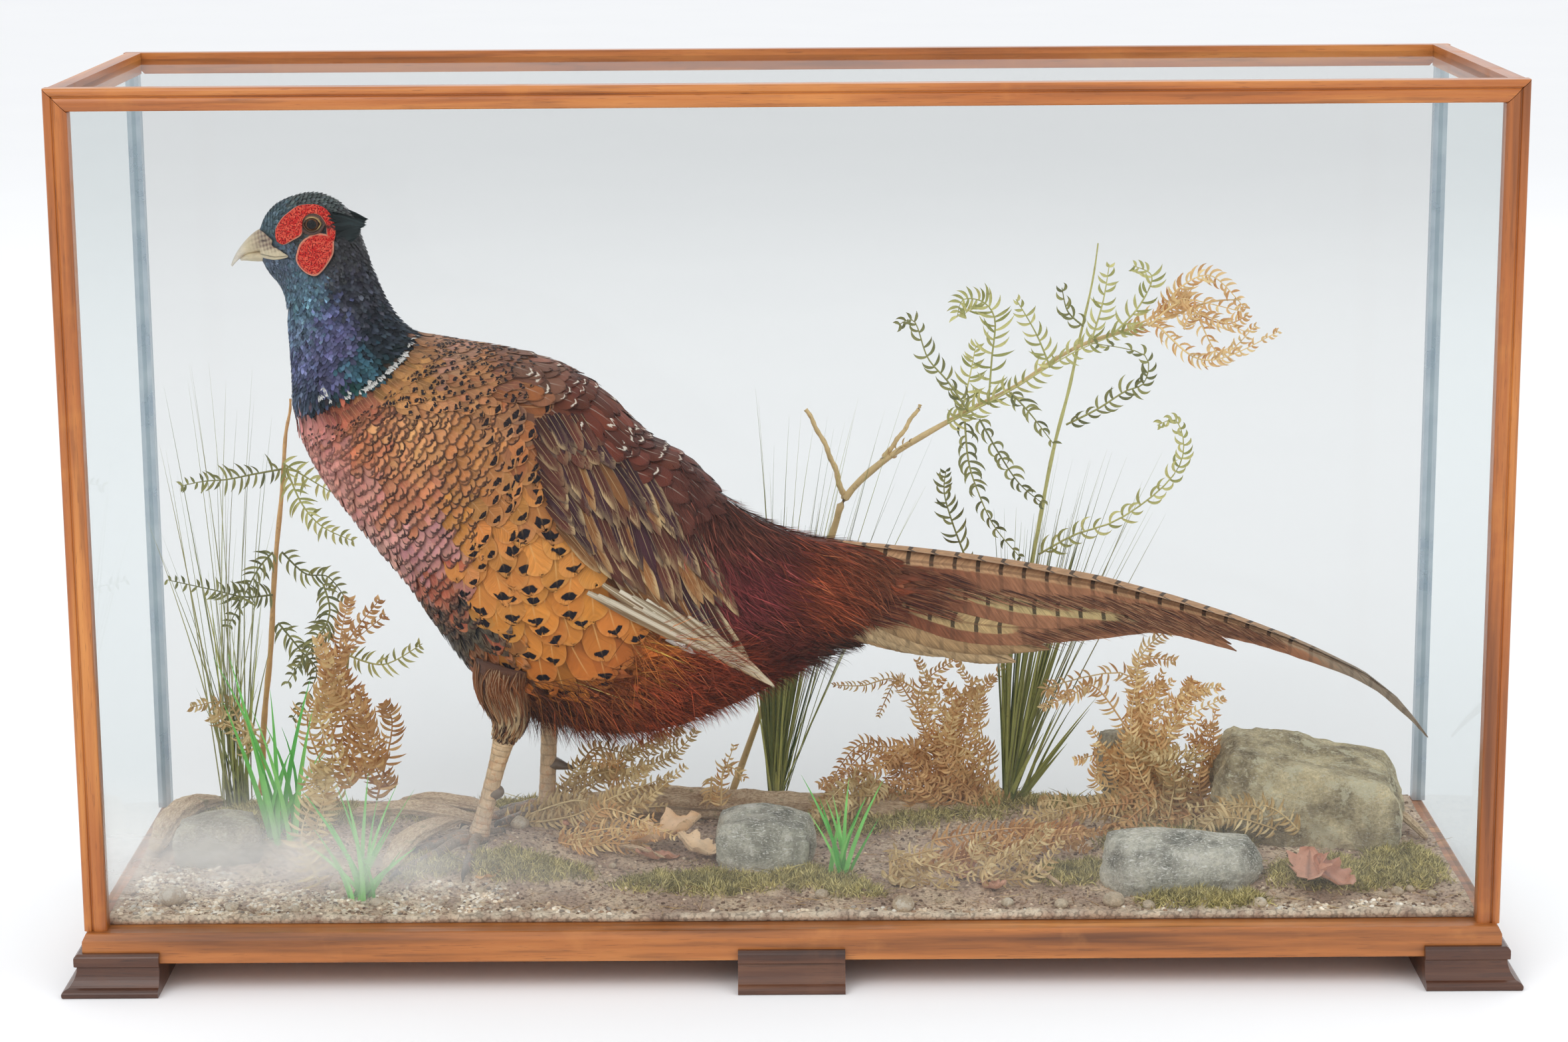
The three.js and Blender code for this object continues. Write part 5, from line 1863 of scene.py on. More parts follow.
@dataclass
class BirdBody:
    """The bird's head, neck and trunk: one skin and the tracts of feathers over it."""

    form: BodyForm
    frame: BirdFrame
    plumage: Plumage
    bare: tuple[Outline, ...]
    thighs: Callable[[MeshParts], None]
    collar_seed: int = 41
    collar_vane: Vane = Vane(3.6, 1.0, 3, 2, 0.55, 1.6, depth=0.5, camber=0.1, ragged=0.4)
    skin_rows: int = 150
    skin_columns: int = 96
    collar_runs: tuple[tuple[Outline, int, float], ...] = (
        (((-55, 398), (-58, 394)), 7, 1.0),
        (((-60.5, 390), (-66, 384.5), (-72, 379.5)), 60, 1.0),
        (((-74, 377.5), (-82, 372), (-90, 367.6)), 40, 0.6),
        (((-83.5, 374.5), (-84, 373.5)), 5, 0.4),
        (((-97.5, 368), (-97, 364.5), (-99.5, 363.5)), 9, 0.5),
        (((-114.5, 369.5), (-111.6, 367), (-113, 364.5), (-117, 362.8)), 16, 0.35),
        (((-109.5, 361.5), (-108.8, 360.5)), 4, 0.6),
    )

    def build(self) -> None:
        """Builds the skin and every tract."""
        self.skin()
        for tract in TRACTS:
            self.tract(tract)
        self.collar()

    def depth(self, s: Array) -> Array:
        """Gives how far the skin lies under the coat's surface at a station."""
        return np.interp(s, [0, 0.6, 3, 6, 9, 12, 20], [1.2, 1.3, 1.5, 2.2, 3.6, 5.0, 4.0])

    def skin(self) -> None:
        """Builds one closed skin that lies inside the coat."""
        s = np.linspace(0, self.form.last + 0.2, self.skin_rows)[:, None]
        angle = np.linspace(-math.pi, math.pi, self.skin_columns, endpoint=False)[None]
        s, angle = np.broadcast_arrays(s, angle)
        points = self.form.point(s, angle, -self.depth(s))
        tint = self.plumage.colour(points[..., 0], points[..., 2]) * 0.6
        ends = points[[0, -1]].mean(1)
        bake = np.stack([angle / TAU + 0.5, np.clip(s / self.form.last, 0, 1)], -1) * 0.99 + 0.005
        rows, columns = s.shape
        parts = MeshParts()
        every = np.concatenate([points.reshape(-1, 3), ends])
        parts.add(
            self.frame.world(every),
            grid_faces(rows, columns, True)[:, ::-1],
            bake=np.concatenate([bake.reshape(-1, 2), [[0.5, 0.001], [0.5, 0.999]]]),
            tint=np.concatenate([tint.reshape(-1, 3), tint[[0, -1], 0]]),
        )
        j = np.arange(columns)
        right = (j + 1) % columns
        top = rows * columns
        parts.tris.append(np.stack([np.full(columns, top), j, right], -1))
        last = top - columns
        parts.tris.append(np.stack([np.full(columns, top + 1), last + right, last + j], -1))
        self.thighs(parts)
        piece = parts.build("bird_skin", SkinFinish().material())
        mend(piece)
        kept(piece, "feather_body", "head", "neck", "trunk", "rump", "thigh_left", "thigh_right")

    def tract(self, tract: Tract) -> None:
        """Builds one tract of feathers.

        Args:
            tract: The tract.
        """
        coat = Coat(self.form, self.frame, tract.seed)
        roots = coat.roots(tract.first, tract.last, tract.spacing, tract.spread)
        place = self.form.point(roots[:, 0], roots[:, 1])
        x, z = place[:, 0], place[:, 2]
        grows = inside(tract.outline, x + coat.chance.normal(0, tract.blend, len(x)), z)
        for outline in self.bare:
            grows &= ~(inside(outline, x, z) & (np.abs(roots[:, 1]) > 0.6))
        roots, x, z = roots[grows], x[grows], z[grows]
        count = len(roots)
        mark = np.zeros((count, 3))
        mark[:, 0] = tract.fringe * coat.chance.uniform(0.75, 1.0, count)
        mark[:, 1] = tract.spot * (coat.chance.uniform(0, 1, count) < tract.marked)
        mark[:, 2] = coat.chance.uniform(0, 1, count)
        shown = smooth(*tract.fade, x)
        mark[:, 0] *= 0.55 + 0.45 * shown
        mark[:, 1] *= shown
        tone = np.exp(coat.chance.normal(0, tract.vary, (count, 1))) * tract.shade
        off = coat.chance.normal(0, tract.stray, (2, count))
        tint = self.plumage.colour(x + tract.look[0] + off[0], z + tract.look[1] + off[1])
        tint = tint * tone * coat.chance.uniform(0.94, 1.06, (count, 3))
        parts = MeshParts()
        coat.lay(
            roots, tract.vane, parts, np.clip(tint, 0.003, 0.9), mark,
            sweep=tract.sweep, spread=tract.turn_spread, raise_by=tract.raise_by,
        )
        kept(parts.build(tract.name, tract.finish.material()), tract.slot)

    def collar(self) -> None:
        """Builds the broken white collar."""
        coat = Coat(self.form, self.frame, self.collar_seed)
        starts = []
        for run, count, loose in self.collar_runs:
            line = along(np.array(run, float), coat.chance.uniform(0, 1, count))
            starts.append(line + coat.chance.normal(0, 0.5 * loose, line.shape))
        place = np.concatenate(starts)
        s, angle = self.form.locate(place[:, 0], place[:, 1])
        parts = MeshParts()
        for side in (-1, 1):
            roots = np.stack([s, side * angle], 1)
            count = len(roots)
            tint = np.array(srgb(232, 230, 226)) * coat.chance.uniform(0.85, 1.02, (count, 1))
            mark = np.stack([np.zeros(count), np.zeros(count), coat.chance.uniform(0, 1, count)], 1)
            coat.lay(roots, self.collar_vane, parts, tint, mark, spread=0.45, raise_by=0.6)
        finish = VaneFinish("collar_vane", barbs=8.0, contrast=0.12, shaft=0.0)
        kept(parts.build("collar_feathers", finish.material()), "feather_neck")


Path = tuple[tuple[float, float], ...]


@dataclass(frozen=True)
class WingLayer:
    """A layer of the folded wing: where its feathers start, their shape and their colours."""

    name: str
    starts: tuple[tuple[float, float, float, float, int], ...]
    vane: Vane
    finish: VaneFinish
    colours: tuple[Colour, ...]
    raise_by: float
    drift: float
    reach: float = 0.0
    fringe: float = 0.5
    spot: float = 0.6
    seed: int = 31


WING_WEB = VaneFinish(
    "covert_vane", Pattern.BORDER, srgb(46, 22, 30), srgb(220, 190, 140),
    0.6, contrast=0.7, shaft=0.4, barbs=60.0,
)
LOWER_WEB = VaneFinish(
    "secondary_vane", Pattern.BORDER, srgb(70, 40, 40), srgb(222, 200, 158),
    0.6, contrast=0.7, shaft=0.6, barbs=60.0,
)
QUILL_WEB = VaneFinish(
    "primary_vane", Pattern.STREAK, srgb(120, 90, 66), srgb(240, 228, 206),
    0.9, contrast=0.3, shaft=0.9, barbs=160.0,
)
FLUFF_WEB = VaneFinish(
    "fluff_vane", Pattern.PLAIN, srgb(150, 130, 116), srgb(246, 240, 232), 0.9, contrast=0.3, barbs=30.0,
)
PURPLE, OCHRE, BROWN = srgb(66, 34, 42), srgb(140, 92, 52), srgb(90, 46, 36)

WING_LAYERS: tuple[WingLayer, ...] = (
    WingLayer(
        "primaries", ((54, 238.5, 112, 215, 9), (66, 242, 128, 214, 8)),
        Vane(150, 10, 14, 4, 0.3, 1.5, depth=1.0, camber=0.8),
        QUILL_WEB, (srgb(236, 214, 176), srgb(206, 176, 136)),
        5.6, 0.0, reach=1.0, fringe=0.9, spot=0.9, seed=31,
    ),
    WingLayer(
        "secondaries", ((60, 272, 126, 240, 15),),
        Vane(66, 11, 10, 4, 0.7, 2.0, depth=1.2, camber=1.0, ragged=0.05),
        LOWER_WEB, (OCHRE, BROWN, PURPLE, OCHRE),
        3.0, -18.0, fringe=1.0, spot=0.5, seed=32,
    ),
    WingLayer(
        "secondary_coverts", ((40, 300, 124, 268, 24), (36, 322, 118, 284, 22)),
        Vane(58, 8.6, 9, 6, 0.6, 1.5, depth=1.6, camber=1.0, ragged=0.06),
        WING_WEB, (PURPLE, BROWN, PURPLE, BROWN, OCHRE),
        3.8, -22.0, fringe=0.9, spot=0.9, seed=33,
    ),
    WingLayer(
        "middle_coverts", ((28, 318, 36, 280, 10), (30, 334, 96, 306, 17), (26, 342, 88, 318, 17)),
        Vane(46, 8.0, 8, 6, 0.58, 1.5, depth=1.8, camber=1.0, ragged=0.06),
        WING_WEB, (OCHRE, PURPLE, BROWN, BROWN, PURPLE),
        4.6, -20.0, fringe=0.8, spot=0.9, seed=34,
    ),
    WingLayer(
        "small_coverts", ((24, 346, 66, 338, 14), (23, 338, 30, 296, 12), (24, 350, 52, 350, 11)),
        Vane(26, 8.5, 7, 6, 0.6, 1.7, depth=2.0, camber=0.9, ragged=0.06), WING_WEB, (BROWN, BROWN, PURPLE),
        5.0, -14.0, fringe=0.65, spot=0.9, seed=35,
    ),
    WingLayer(
        "white_fluff", ((106, 203, 114, 199, 6),),
        Vane(13, 3.4, 6, 4, 0.6, 1.5, depth=1.6, camber=0.8, ragged=0.5),
        FLUFF_WEB, (srgb(236, 228, 220), srgb(214, 200, 188)),
        6.6, 10.0, seed=36,
    ),
)


@dataclass
class Wing:
    """A folded wing: layers of feathers that all run towards its tip."""

    name: str
    side: int
    form: BodyForm
    frame: BirdFrame
    tip: tuple[float, float] = (176.0, 165.0)
    lower: Path = ((21, 344), (24, 299), (33, 266), (54.5, 239), (93, 210), (134, 186), (172, 165))
    upper: Path = ((23, 350), (44, 360), (70, 332), (103, 290), (136, 246), (160, 207), (173, 171))

    def build(self) -> None:
        """Builds every layer."""
        pieces = [self.layer(layer) for layer in WING_LAYERS]
        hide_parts(self.name)

    def above(self, x: Array, z: Array) -> Array:
        """Gives how far places lie inside the wing's outline, in millimetres.

        Args:
            x: The places' first coordinates.
            z: The places' heights.

        Returns:
            The distance, 0 outside.
        """
        here = np.stack([x, z], -1)[..., None, :]
        nearest = np.full(np.shape(x), 99.0)
        for outline in (self.lower, self.upper):
            corners = along(np.array(outline, float), np.linspace(0, 1, 40))
            nearest = np.minimum(nearest, np.linalg.norm(here - corners, axis=-1).min(-1))
        return np.where(inside(self.lower + self.upper[::-1], x, z), nearest, 0.0)

    def heading(self, drift: float) -> Callable[[Array], Array]:
        """Gives the feathers' ways: towards the tip, turned down well inside the wing.

        Args:
            drift: How far they turn down, in degrees.

        Returns:
            A function that gives the way at rows of x and z.
        """

        def way(places: Array) -> Array:
            """Gives the way at rows of x and z.

            Args:
                places: The rows.

            Returns:
                The angle from +X at each.
            """
            ahead = np.arctan2(self.tip[1] - places[:, 1], self.tip[0] - places[:, 0])
            deep = smooth(2, 26, self.above(places[:, 0], places[:, 1]))
            return ahead + np.radians(drift) * deep

        return way

    def surface(self, x: Array, z: Array) -> Array:
        """Gives the half width that a layer lies on, which swells away from the wing's outline."""
        clear = np.interp(x, [110, 140, 160, 180], [150, 172, 184, 192])
        return self.form.half_width(x, np.maximum(z, clear)) + np.minimum(self.above(x, z) * 0.16, 2.2)

    def layer(self, layer: WingLayer) -> bpy.types.Object:
        """Builds one layer.

        Args:
            layer: The layer.

        Returns:
            The piece.
        """
        coat = Coat(self.form, self.frame, layer.seed + (self.side > 0) * 20)
        starts = np.concatenate(
            [
                np.linspace((x0, z0), (x1, z1), int(count)) + coat.chance.uniform(-1.2, 1.2, (int(count), 2))
                for x0, z0, x1, z1, count in layer.starts
            ]
        )
        count = len(starts)
        size = 1.0
        if layer.reach:
            far = np.linalg.norm(np.array(self.tip) - starts, axis=1)
            size = far * np.linspace(layer.reach, layer.reach - 0.12, count) / layer.vane.length
        mark = np.stack(
            [
                layer.fringe * coat.chance.uniform(0.0, 1.0, count),
                layer.spot * coat.chance.uniform(0.3, 1.0, count),
                coat.chance.uniform(0, 1, count),
            ],
            1,
        )
        tint = np.array(layer.colours)[coat.chance.integers(0, len(layer.colours), count)]
        tint = tint * np.exp(coat.chance.normal(0, 0.15, (count, 1)))
        parts = MeshParts()
        raise_by = layer.raise_by - 2.2 + np.arange(count) % 3 * 0.25
        coat.drape(
            self.side, starts, self.heading(layer.drift), self.surface, layer.vane, parts, tint,
            np.clip(mark, 0, 1), size, raise_by,
        )
        piece = parts.build(f"{self.name}_{layer.name}", layer.finish.material())
        kept(piece, "feather_wing")
        return piece


@dataclass(frozen=True)
class TailFinish:
    """A long tail feather: a barred middle, loose reddish edges and a pale shaft."""

    name: str = "tail_vane"
    bar: Colour = srgb(36, 28, 26)
    root: Colour = srgb(120, 66, 44)
    edge: Colour = srgb(160, 110, 80)
    shaft: Colour = srgb(120, 84, 60)
    spacing: float = 15.8

    def material(self) -> bpy.types.Material:
        """Makes the finish.

        Returns:
            The material.
        """
        shader = Shader(self.name)
        tint = shader.attribute("tint")
        barred, edged, chance = shader.split(shader.attribute("mark", "Vector"))
        across, along_it = shader.vane()
        off = shader.sum("ABSOLUTE", shader.line(across, 2.0, -1.0))
        run = shader.times(along_it, Tail.span)
        shift = shader.times(chance, 61.0)
        slant = shader.line(off, -14.0, run)
        cross = shader.line(off, -2.5, run)
        barb_place = shader.join(shader.times(off, 1.2), shader.times(slant, 0.55), shift)
        barbs = shader.noise(1.0, barb_place, 4.0, 0.7)
        cloud = shader.noise(1.0, shader.join(shader.times(off, 2.0), shader.times(slant, 0.16), shift), 3.0)
        level = shader.times(shader.line(barbs, 1.7, 0.14), shader.line(cloud, 0.9, 0.55))
        grey = shader.node("CombineColor", {0: level, 1: level, 2: level}).outputs[0]
        wander = shader.line(cloud, 0.3, -0.15)
        frayed = shader.plus(edged, shader.line(barbs, 0.5, shader.line(cloud, 0.5, -0.5)))
        edge = shader.mix(shader.rise(run, 50.0, 150.0), self.root, self.edge)
        base = shader.mix(shader.rise(frayed, 0.46, 0.74), tint, edge)
        colour = shader.mix(1.0, base, grey, "MULTIPLY")
        step = shader.plus(shader.sum("DIVIDE", cross, self.spacing), chance)
        turn = shader.sum("FRACT", shader.line(wander, 0.25, step))
        phase = shader.sum("ABSOLUTE", shader.minus(turn, 0.5))
        faint = shader.line(shader.rise(shader.plus(barred, wander), 0.4, 0.6), 0.7, 0.3)
        dark = shader.times(shader.rise(phase, 0.11, 0.07), faint)
        colour = shader.mix(shader.times(dark, 0.85), colour, self.bar)
        ridge = shader.rise(off, 0.07, 0.03)
        colour = shader.mix(shader.times(ridge, 0.5), colour, self.shaft)
        height = shader.line(ridge, 1.5, barbs)
        shader.relief(height, 0.00018, 0.9)
        rough = shader.line(barbs, 0.25, 0.42)
        return shader.finish(colour, rough, Specular_IOR_Level=0.14)


@dataclass(frozen=True)
class TailFeather:
    """A pair of tail feathers, seen from the side, with its pale barred band between two shares."""

    path: Path
    half: tuple[float, ...]
    colour: Colour
    band: tuple[float, float]
    shown: tuple[float, float]
    inset: float


@dataclass
class Tail:
    """The tail: pairs of long feathers on each side, the middle pair over the others."""

    form: BodyForm
    frame: BirdFrame
    span: float = 420.0
    rows: int = 60
    columns: int = 8
    barb_count: int = 3000
    barb_run: tuple[float, float] = (214, 520)
    barb_fall: tuple[float, float] = (0.16, 0.74)
    barb: Vane = Vane(24, 0.7, 4, 1, 0.3, 1.2, depth=0.2, lift=0.5, twist=0.5)
    table: tuple[tuple[float, ...], ...] = (
        (196, 257, 190, 31),
        (238, 250, 187, 27),
        (270, 246, 184, 30),
        (310, 240, 177, 31),
        (350, 233, 172, 29),
        (400, 222.5, 186, 21),
        (450, 208, 185, 15),
        (492, 194.2, 181, 10.5),
        (528, 180.4, 171.5, 8),
        (550, 170.3, 163, 6.5),
        (582, 154, 148.5, 5),
        (605, 135.8, 131.5, 3.2),
        (617, 121.6, 118.5, 2),
        (627, 107.8, 106, 1),
    )
    pairs: tuple[TailFeather, ...] = (
        TailFeather(
            (
                (214, 246), (250, 242), (300, 236), (350, 228), (400, 218.5), (450, 205), (492, 191.5),
                (528, 177.6), (582, 152), (612, 125), (627, 107),
            ),
            (9, 13, 14, 14.5, 14, 13, 10.5, 8.2, 5, 2.6, 0.5),
            srgb(190, 148, 110), (-1.6, 0.2), (225, 660), 0.0,
        ),
        TailFeather(
            (
                (212, 240), (250, 232), (304, 221), (345, 211), (385, 205.5), (420, 200), (450, 193),
                (470, 184), (492, 173),
            ),
            (9, 12, 14, 14.5, 13, 10.5, 7.5, 4.6, 0.5),
            srgb(188, 164, 116), (-0.5, 0.42), (286, 424), 1.1,
        ),
        TailFeather(
            (
                (212, 233), (240, 224), (271, 212), (300, 202), (330, 197), (360, 194.5), (395, 192),
                (430, 188.6),
            ),
            (8, 11, 12.5, 13, 12.5, 10, 6.5, 0.5),
            srgb(186, 156, 110), (-0.4, 0.4), (254, 338), 2.2,
        ),
        TailFeather(
            ((212, 227), (236, 215), (262, 203), (295, 192.5), (330, 187), (363, 180.5)),
            (8, 10, 11, 11, 9, 0.6),
            srgb(176, 142, 102), (-0.2, 1.6), (190, 400), 3.3,
        ),
        TailFeather(
            ((210, 220), (232, 209), (262, 196), (297, 185.5), (320, 179.5), (340, 172.6)),
            (7, 9, 10, 9.5, 8, 0.6),
            srgb(194, 164, 124), (-0.8, 1.6), (190, 400), 4.4,
        ),
        TailFeather(
            ((208, 213), (228, 203), (254, 193.5), (284, 185), (312, 178)),
            (6, 8, 9, 8, 0.6),
            srgb(200, 172, 132), (-1.6, 1.6), (190, 400), 5.5,
        ),
        TailFeather(
            ((206, 208), (224, 200), (248, 192), (272, 186), (290, 181.5)),
            (6, 7, 8, 7, 0.6),
            srgb(186, 154, 114), (-1.6, 1.6), (190, 400), 6.6,
        ),
    )

    def build(self) -> None:
        """Builds both sides."""
        parts = MeshParts()
        coat = Coat(self.form, self.frame, 51)
        for side in (-1, 1):
            for number, pair in enumerate(self.pairs):
                self.feather(coat, parts, side, number, pair)
        piece = parts.build("tail_feathers", TailFinish().material())
        kept(piece, "feather_tail", "tail_middle", "tail_left", "tail_right")
        parts = MeshParts()
        for side in (-1, 1):
            self.loose_barbs(coat, parts, side)
        kept(parts.build("tail_loose_barbs", HAIR_WEB.material()), "feather_tail")

    def loose_barbs(self, coat: Coat, parts: MeshParts, side: int) -> None:
        """Adds the loose reddish barbs that hang over the tail's sides, clear of its pale bands.

        Args:
            coat: The coat that gathers them.
            parts: The mesh to add them to.
            side: 1 for the bird's right and -1 for its left.
        """
        chance = coat.chance
        places = np.array(self.table)
        count = self.barb_count
        x = chance.uniform(*self.barb_run, count)
        ridge, edge = np.interp(x, places[:, 0], places[:, 1]), np.interp(x, places[:, 0], places[:, 2])
        share = chance.uniform(*self.barb_fall, count)
        z = ridge + (edge - ridge) * share
        covered = ((x > 300) & (share < 0.24)) | ((x > 290) & (x < 405) & (np.abs(share - 0.5) < 0.14))
        covered |= (x > 252) & (x < 340) & (share > 0.6)
        x, z = x[~covered], z[~covered]
        count = len(x)
        tones = np.array([srgb(126, 60, 38), srgb(96, 46, 34), srgb(74, 40, 34), srgb(150, 92, 62)])
        tan = np.array([srgb(160, 106, 76), srgb(120, 74, 56), srgb(84, 54, 46), srgb(186, 140, 104)])
        pick = chance.integers(0, len(tones), count)
        share_out = smooth(250, 330, x)[:, None]
        tint = (tones[pick] * (1 - share_out) + tan[pick] * share_out) * chance.uniform(0.8, 1.2, (count, 1))
        size = chance.uniform(0.5, 1.1, count) * np.interp(x, [214, 420, 520], [1.0, 0.8, 0.4])
        mark = np.stack([np.zeros(count), np.zeros(count), chance.uniform(0, 1, count)], 1)

        def way(place: Array) -> Array:
            """Gives the way at rows of x and z: along the ridge, a little downwards.

            Args:
                place: The rows.

            Returns:
                The angle from +X at each.
            """
            step = 4.0
            ahead = np.interp(place[:, 0] + step, places[:, 0], places[:, 1])
            behind = np.interp(place[:, 0] - step, places[:, 0], places[:, 1])
            return np.arctan2(ahead - behind, 2 * step) - 0.16

        starts, lift = np.stack([x, z], 1), chance.uniform(0.4, 1.1, count)
        coat.drape(side, starts, way, self.roof, self.barb, parts, tint, mark, size, lift)

    def surface(self, x: Array, z: Array) -> tuple[Array, Array]:
        """Gives the half width and the height of the tail's roof, flat over the ridge.

        Args:
            x: The places' first coordinates.
            z: The places' heights.

        Returns:
            The half width and the height.
        """
        places = np.array(self.table)
        ridge, edge, half = (np.interp(x, places[:, 0], places[:, k]) for k in (1, 2, 3))
        down = np.clip((ridge - z) / (ridge - edge), 0, 1.15)
        wide = 1.5 + (half - 1.5) * np.sin(np.minimum(down, 1) * math.pi / 2) ** 0.8
        over = np.maximum(z - ridge, 0)
        return wide - over, np.minimum(z, ridge + 0.06 * over)

    def roof(self, x: Array, z: Array) -> Array:
        """Gives the half width of the tail's roof."""
        return self.surface(x, z)[0]

    def feather(self, coat: Coat, parts: MeshParts, side: int, number: int, pair: TailFeather) -> None:
        """Adds one feather.

        Args:
            coat: The coat that gathers it.
            parts: The mesh to add it to.
            side: 1 for the bird's right and -1 for its left.
            number: Which pair it belongs to.
            pair: The pair.
        """
        share = np.linspace(0, 1, self.rows + 1) ** 0.92
        path = along(np.array(pair.path, float), share)
        half = np.maximum(along(np.array(pair.half, float)[:, None], share)[:, 0], 0.4)
        ways = unit(np.gradient(path, axis=0))
        run = np.concatenate([[0], np.cumsum(np.linalg.norm(np.diff(path, axis=0), axis=1))])
        u = np.linspace(-1, 1, self.columns + 1)
        notch = coat.chance.uniform(-0.35, 0.1, (self.rows + 1, 2))
        torn = np.where(u < 0, -notch[:, :1], notch[:, 1:])
        frayed = half[:, None] * u + np.where(np.abs(u) > 0.99, torn, 0)
        x = path[:, :1] - frayed * ways[:, 1:] * -1
        z = path[:, 1:] - frayed * ways[:, :1]
        wide, top = self.surface(x, z)
        camber = 0.9 * u**2 * np.minimum(half[:, None] / 8, 1)
        y = side * (wide - pair.inset - camber + 0.15 * (side > 0))
        top = top - np.where(z > top, pair.inset + 0.35 * (side > 0), 0)
        points = np.stack([x, y, top], -1)[None]
        vane_map = np.stack(
            [np.broadcast_to(0.5 + 0.5 * u, x.shape), np.broadcast_to(run[:, None] / self.span, x.shape)], -1,
        )
        shade = smooth(470, 590, x)[..., None]
        tint = np.array(pair.colour) * (1 - shade) + np.array(srgb(146, 130, 112)) * shade
        dusky = 0.5 * np.exp(-((u / 0.16) ** 2)) + 0.3 * smooth(0.6, 1.0, np.abs(u))
        tint = tint * (1 - (number > 2) * dusky)[..., None]
        low, high = pair.band
        first, last = pair.shown
        pale = smooth(low - 0.12, low + 0.12, u) * smooth(high + 0.12, high - 0.12, u)
        pale = pale * smooth(first - 12, first + 12, x) * smooth(last + 14, last - 14, x)
        mark = np.empty(x.shape + (3,))
        mark[..., 0] = pale * (1 - 0.7 * shade[..., 0]) * (number < 3)
        mark[..., 1] = (1 - pale) * (1 - 0.8 * smooth(500, 600, x))
        mark[..., 2] = 0.37 * number % 1
        size = x.size
        faces = grid_faces(self.rows + 1, self.columns + 1)
        spot = np.array([0.5 + side * (0.06 + 0.04 * number), 0.985])
        parts.add(
            self.frame.world(points),
            faces[:, ::side],
            vane=vane_map,
            bake=spot + (vane_map.reshape(size, 2) - 0.5) * coat.patch,
            tint=tint.reshape(size, 3),
            mark=mark.reshape(size, 3),
        )


def loop(outline: Sequence[tuple[float, float]], count: int) -> Array:
    """Runs a smooth closed line through the corners of an outline.

    Args:
        outline: The corners.
        count: How many points to give.

    Returns:
        The points, one a row.
    """
    corners = np.array(outline, float)
    size = len(corners)
    wrapped = np.concatenate([corners[-1:], corners, corners[:2]])
    return along(wrapped, (1 + np.arange(count) / count * size) / (size + 2))


def grains(x: Array, z: Array, pitch: float, seed: int) -> Array:
    """Gives the height of close-set round grains, from 0 to 1.

    Args:
        x: The places' first coordinates.
        z: The places' second coordinates.
        pitch: How far apart the grains stand.
        seed: The seed of their unevenness.

    Returns:
        The height at each place.
    """
    chance = np.random.default_rng(seed)
    low_x, low_z = x.min() - pitch, z.min() - pitch
    columns, rows = int((x.max() - low_x) / pitch) + 3, int((z.max() - low_z) / pitch) + 3
    shift = chance.uniform(0.12, 0.88, (columns, rows, 2))
    i, j = ((x - low_x) / pitch).astype(int), ((z - low_z) / pitch).astype(int)
    nearest = np.full(x.shape, 9.0)
    for di in (-1, 0, 1):
        for dj in (-1, 0, 1):
            a, b = np.clip(i + di, 0, columns - 1), np.clip(j + dj, 0, rows - 1)
            cx = low_x + (a + shift[a, b, 0]) * pitch
            cz = low_z + (b + shift[a, b, 1]) * pitch
            nearest = np.minimum(nearest, np.hypot(x - cx, z - cz) / pitch)
    return np.clip(1 - (nearest / 0.62) ** 2, 0, 1)


@dataclass(frozen=True)
class WattleFinish:
    """Bare red skin: grainy, a little waxy, deeper red between the grains as painted shade, with a pale rim
    where it meets the feathers.
    """

    name: str = "wattle_skin"
    red: Colour = srgb(214, 36, 30)
    # The deeper red is painted shade between the grains.
    deep: Colour = srgb(136, 14, 18)
    rim: Colour = srgb(232, 168, 140)
    feathered: Colour = srgb(40, 34, 36)

    def material(self) -> bpy.types.Material:
        """Makes the finish.

        Returns:
            The material.
        """
        shader = Shader(self.name)
        rim, grain, streak = shader.split(shader.attribute("mark", "Vector"))
        blotch = shader.noise(420.0, detail=4.0)
        red = shader.mix(shader.rise(blotch, 0.38, 0.62), self.red, srgb(240, 100, 76))
        # Painted shade: deeper red in the hollows between the grains.
        colour = shader.mix(shader.rise(grain, 0.75, 0.05), red, self.deep)
        colour = shader.mix(shader.times(shader.rise(rim, 0.86, 0.95), 0.8), colour, self.rim)
        colour = shader.mix(shader.times(streak, 0.9), colour, self.feathered)
        shader.relief(shader.noise(2600.0, detail=3.0), 0.00012, 0.8)
        constants = {"Subsurface_Weight": 0.12, "Subsurface_Scale": 0.002, "Specular_IOR_Level": 0.2}
        return shader.finish(colour, 0.6, **constants)


@dataclass(frozen=True)
class HornFinish:
    """Horn of the bill, claws and spurs, with growth lines and a worn surface."""

    name: str
    roughness: float = 0.36
    streak: tuple[float, float, float] = (160.0, 900.0, 900.0)

    def material(self) -> bpy.types.Material:
        """Makes the finish.

        Returns:
            The material.
        """
        shader = Shader(self.name)
        tint = shader.attribute("tint")
        lines = shader.noise(1.0, shader.stretch(shader.place(), self.streak), 5.0)
        cloud = shader.noise(230.0, detail=3.0)
        level = shader.line(lines, 0.5, shader.line(cloud, 0.4, 0.56))
        colour = shader.shade(tint, level)
        shader.relief(lines, 0.00018, 0.8)
        rough = shader.line(lines, 0.3, self.roughness - 0.12)
        return shader.finish(
            colour, rough, Specular_IOR_Level=0.5, Subsurface_Weight=0.05, Subsurface_Scale=0.002,
        )


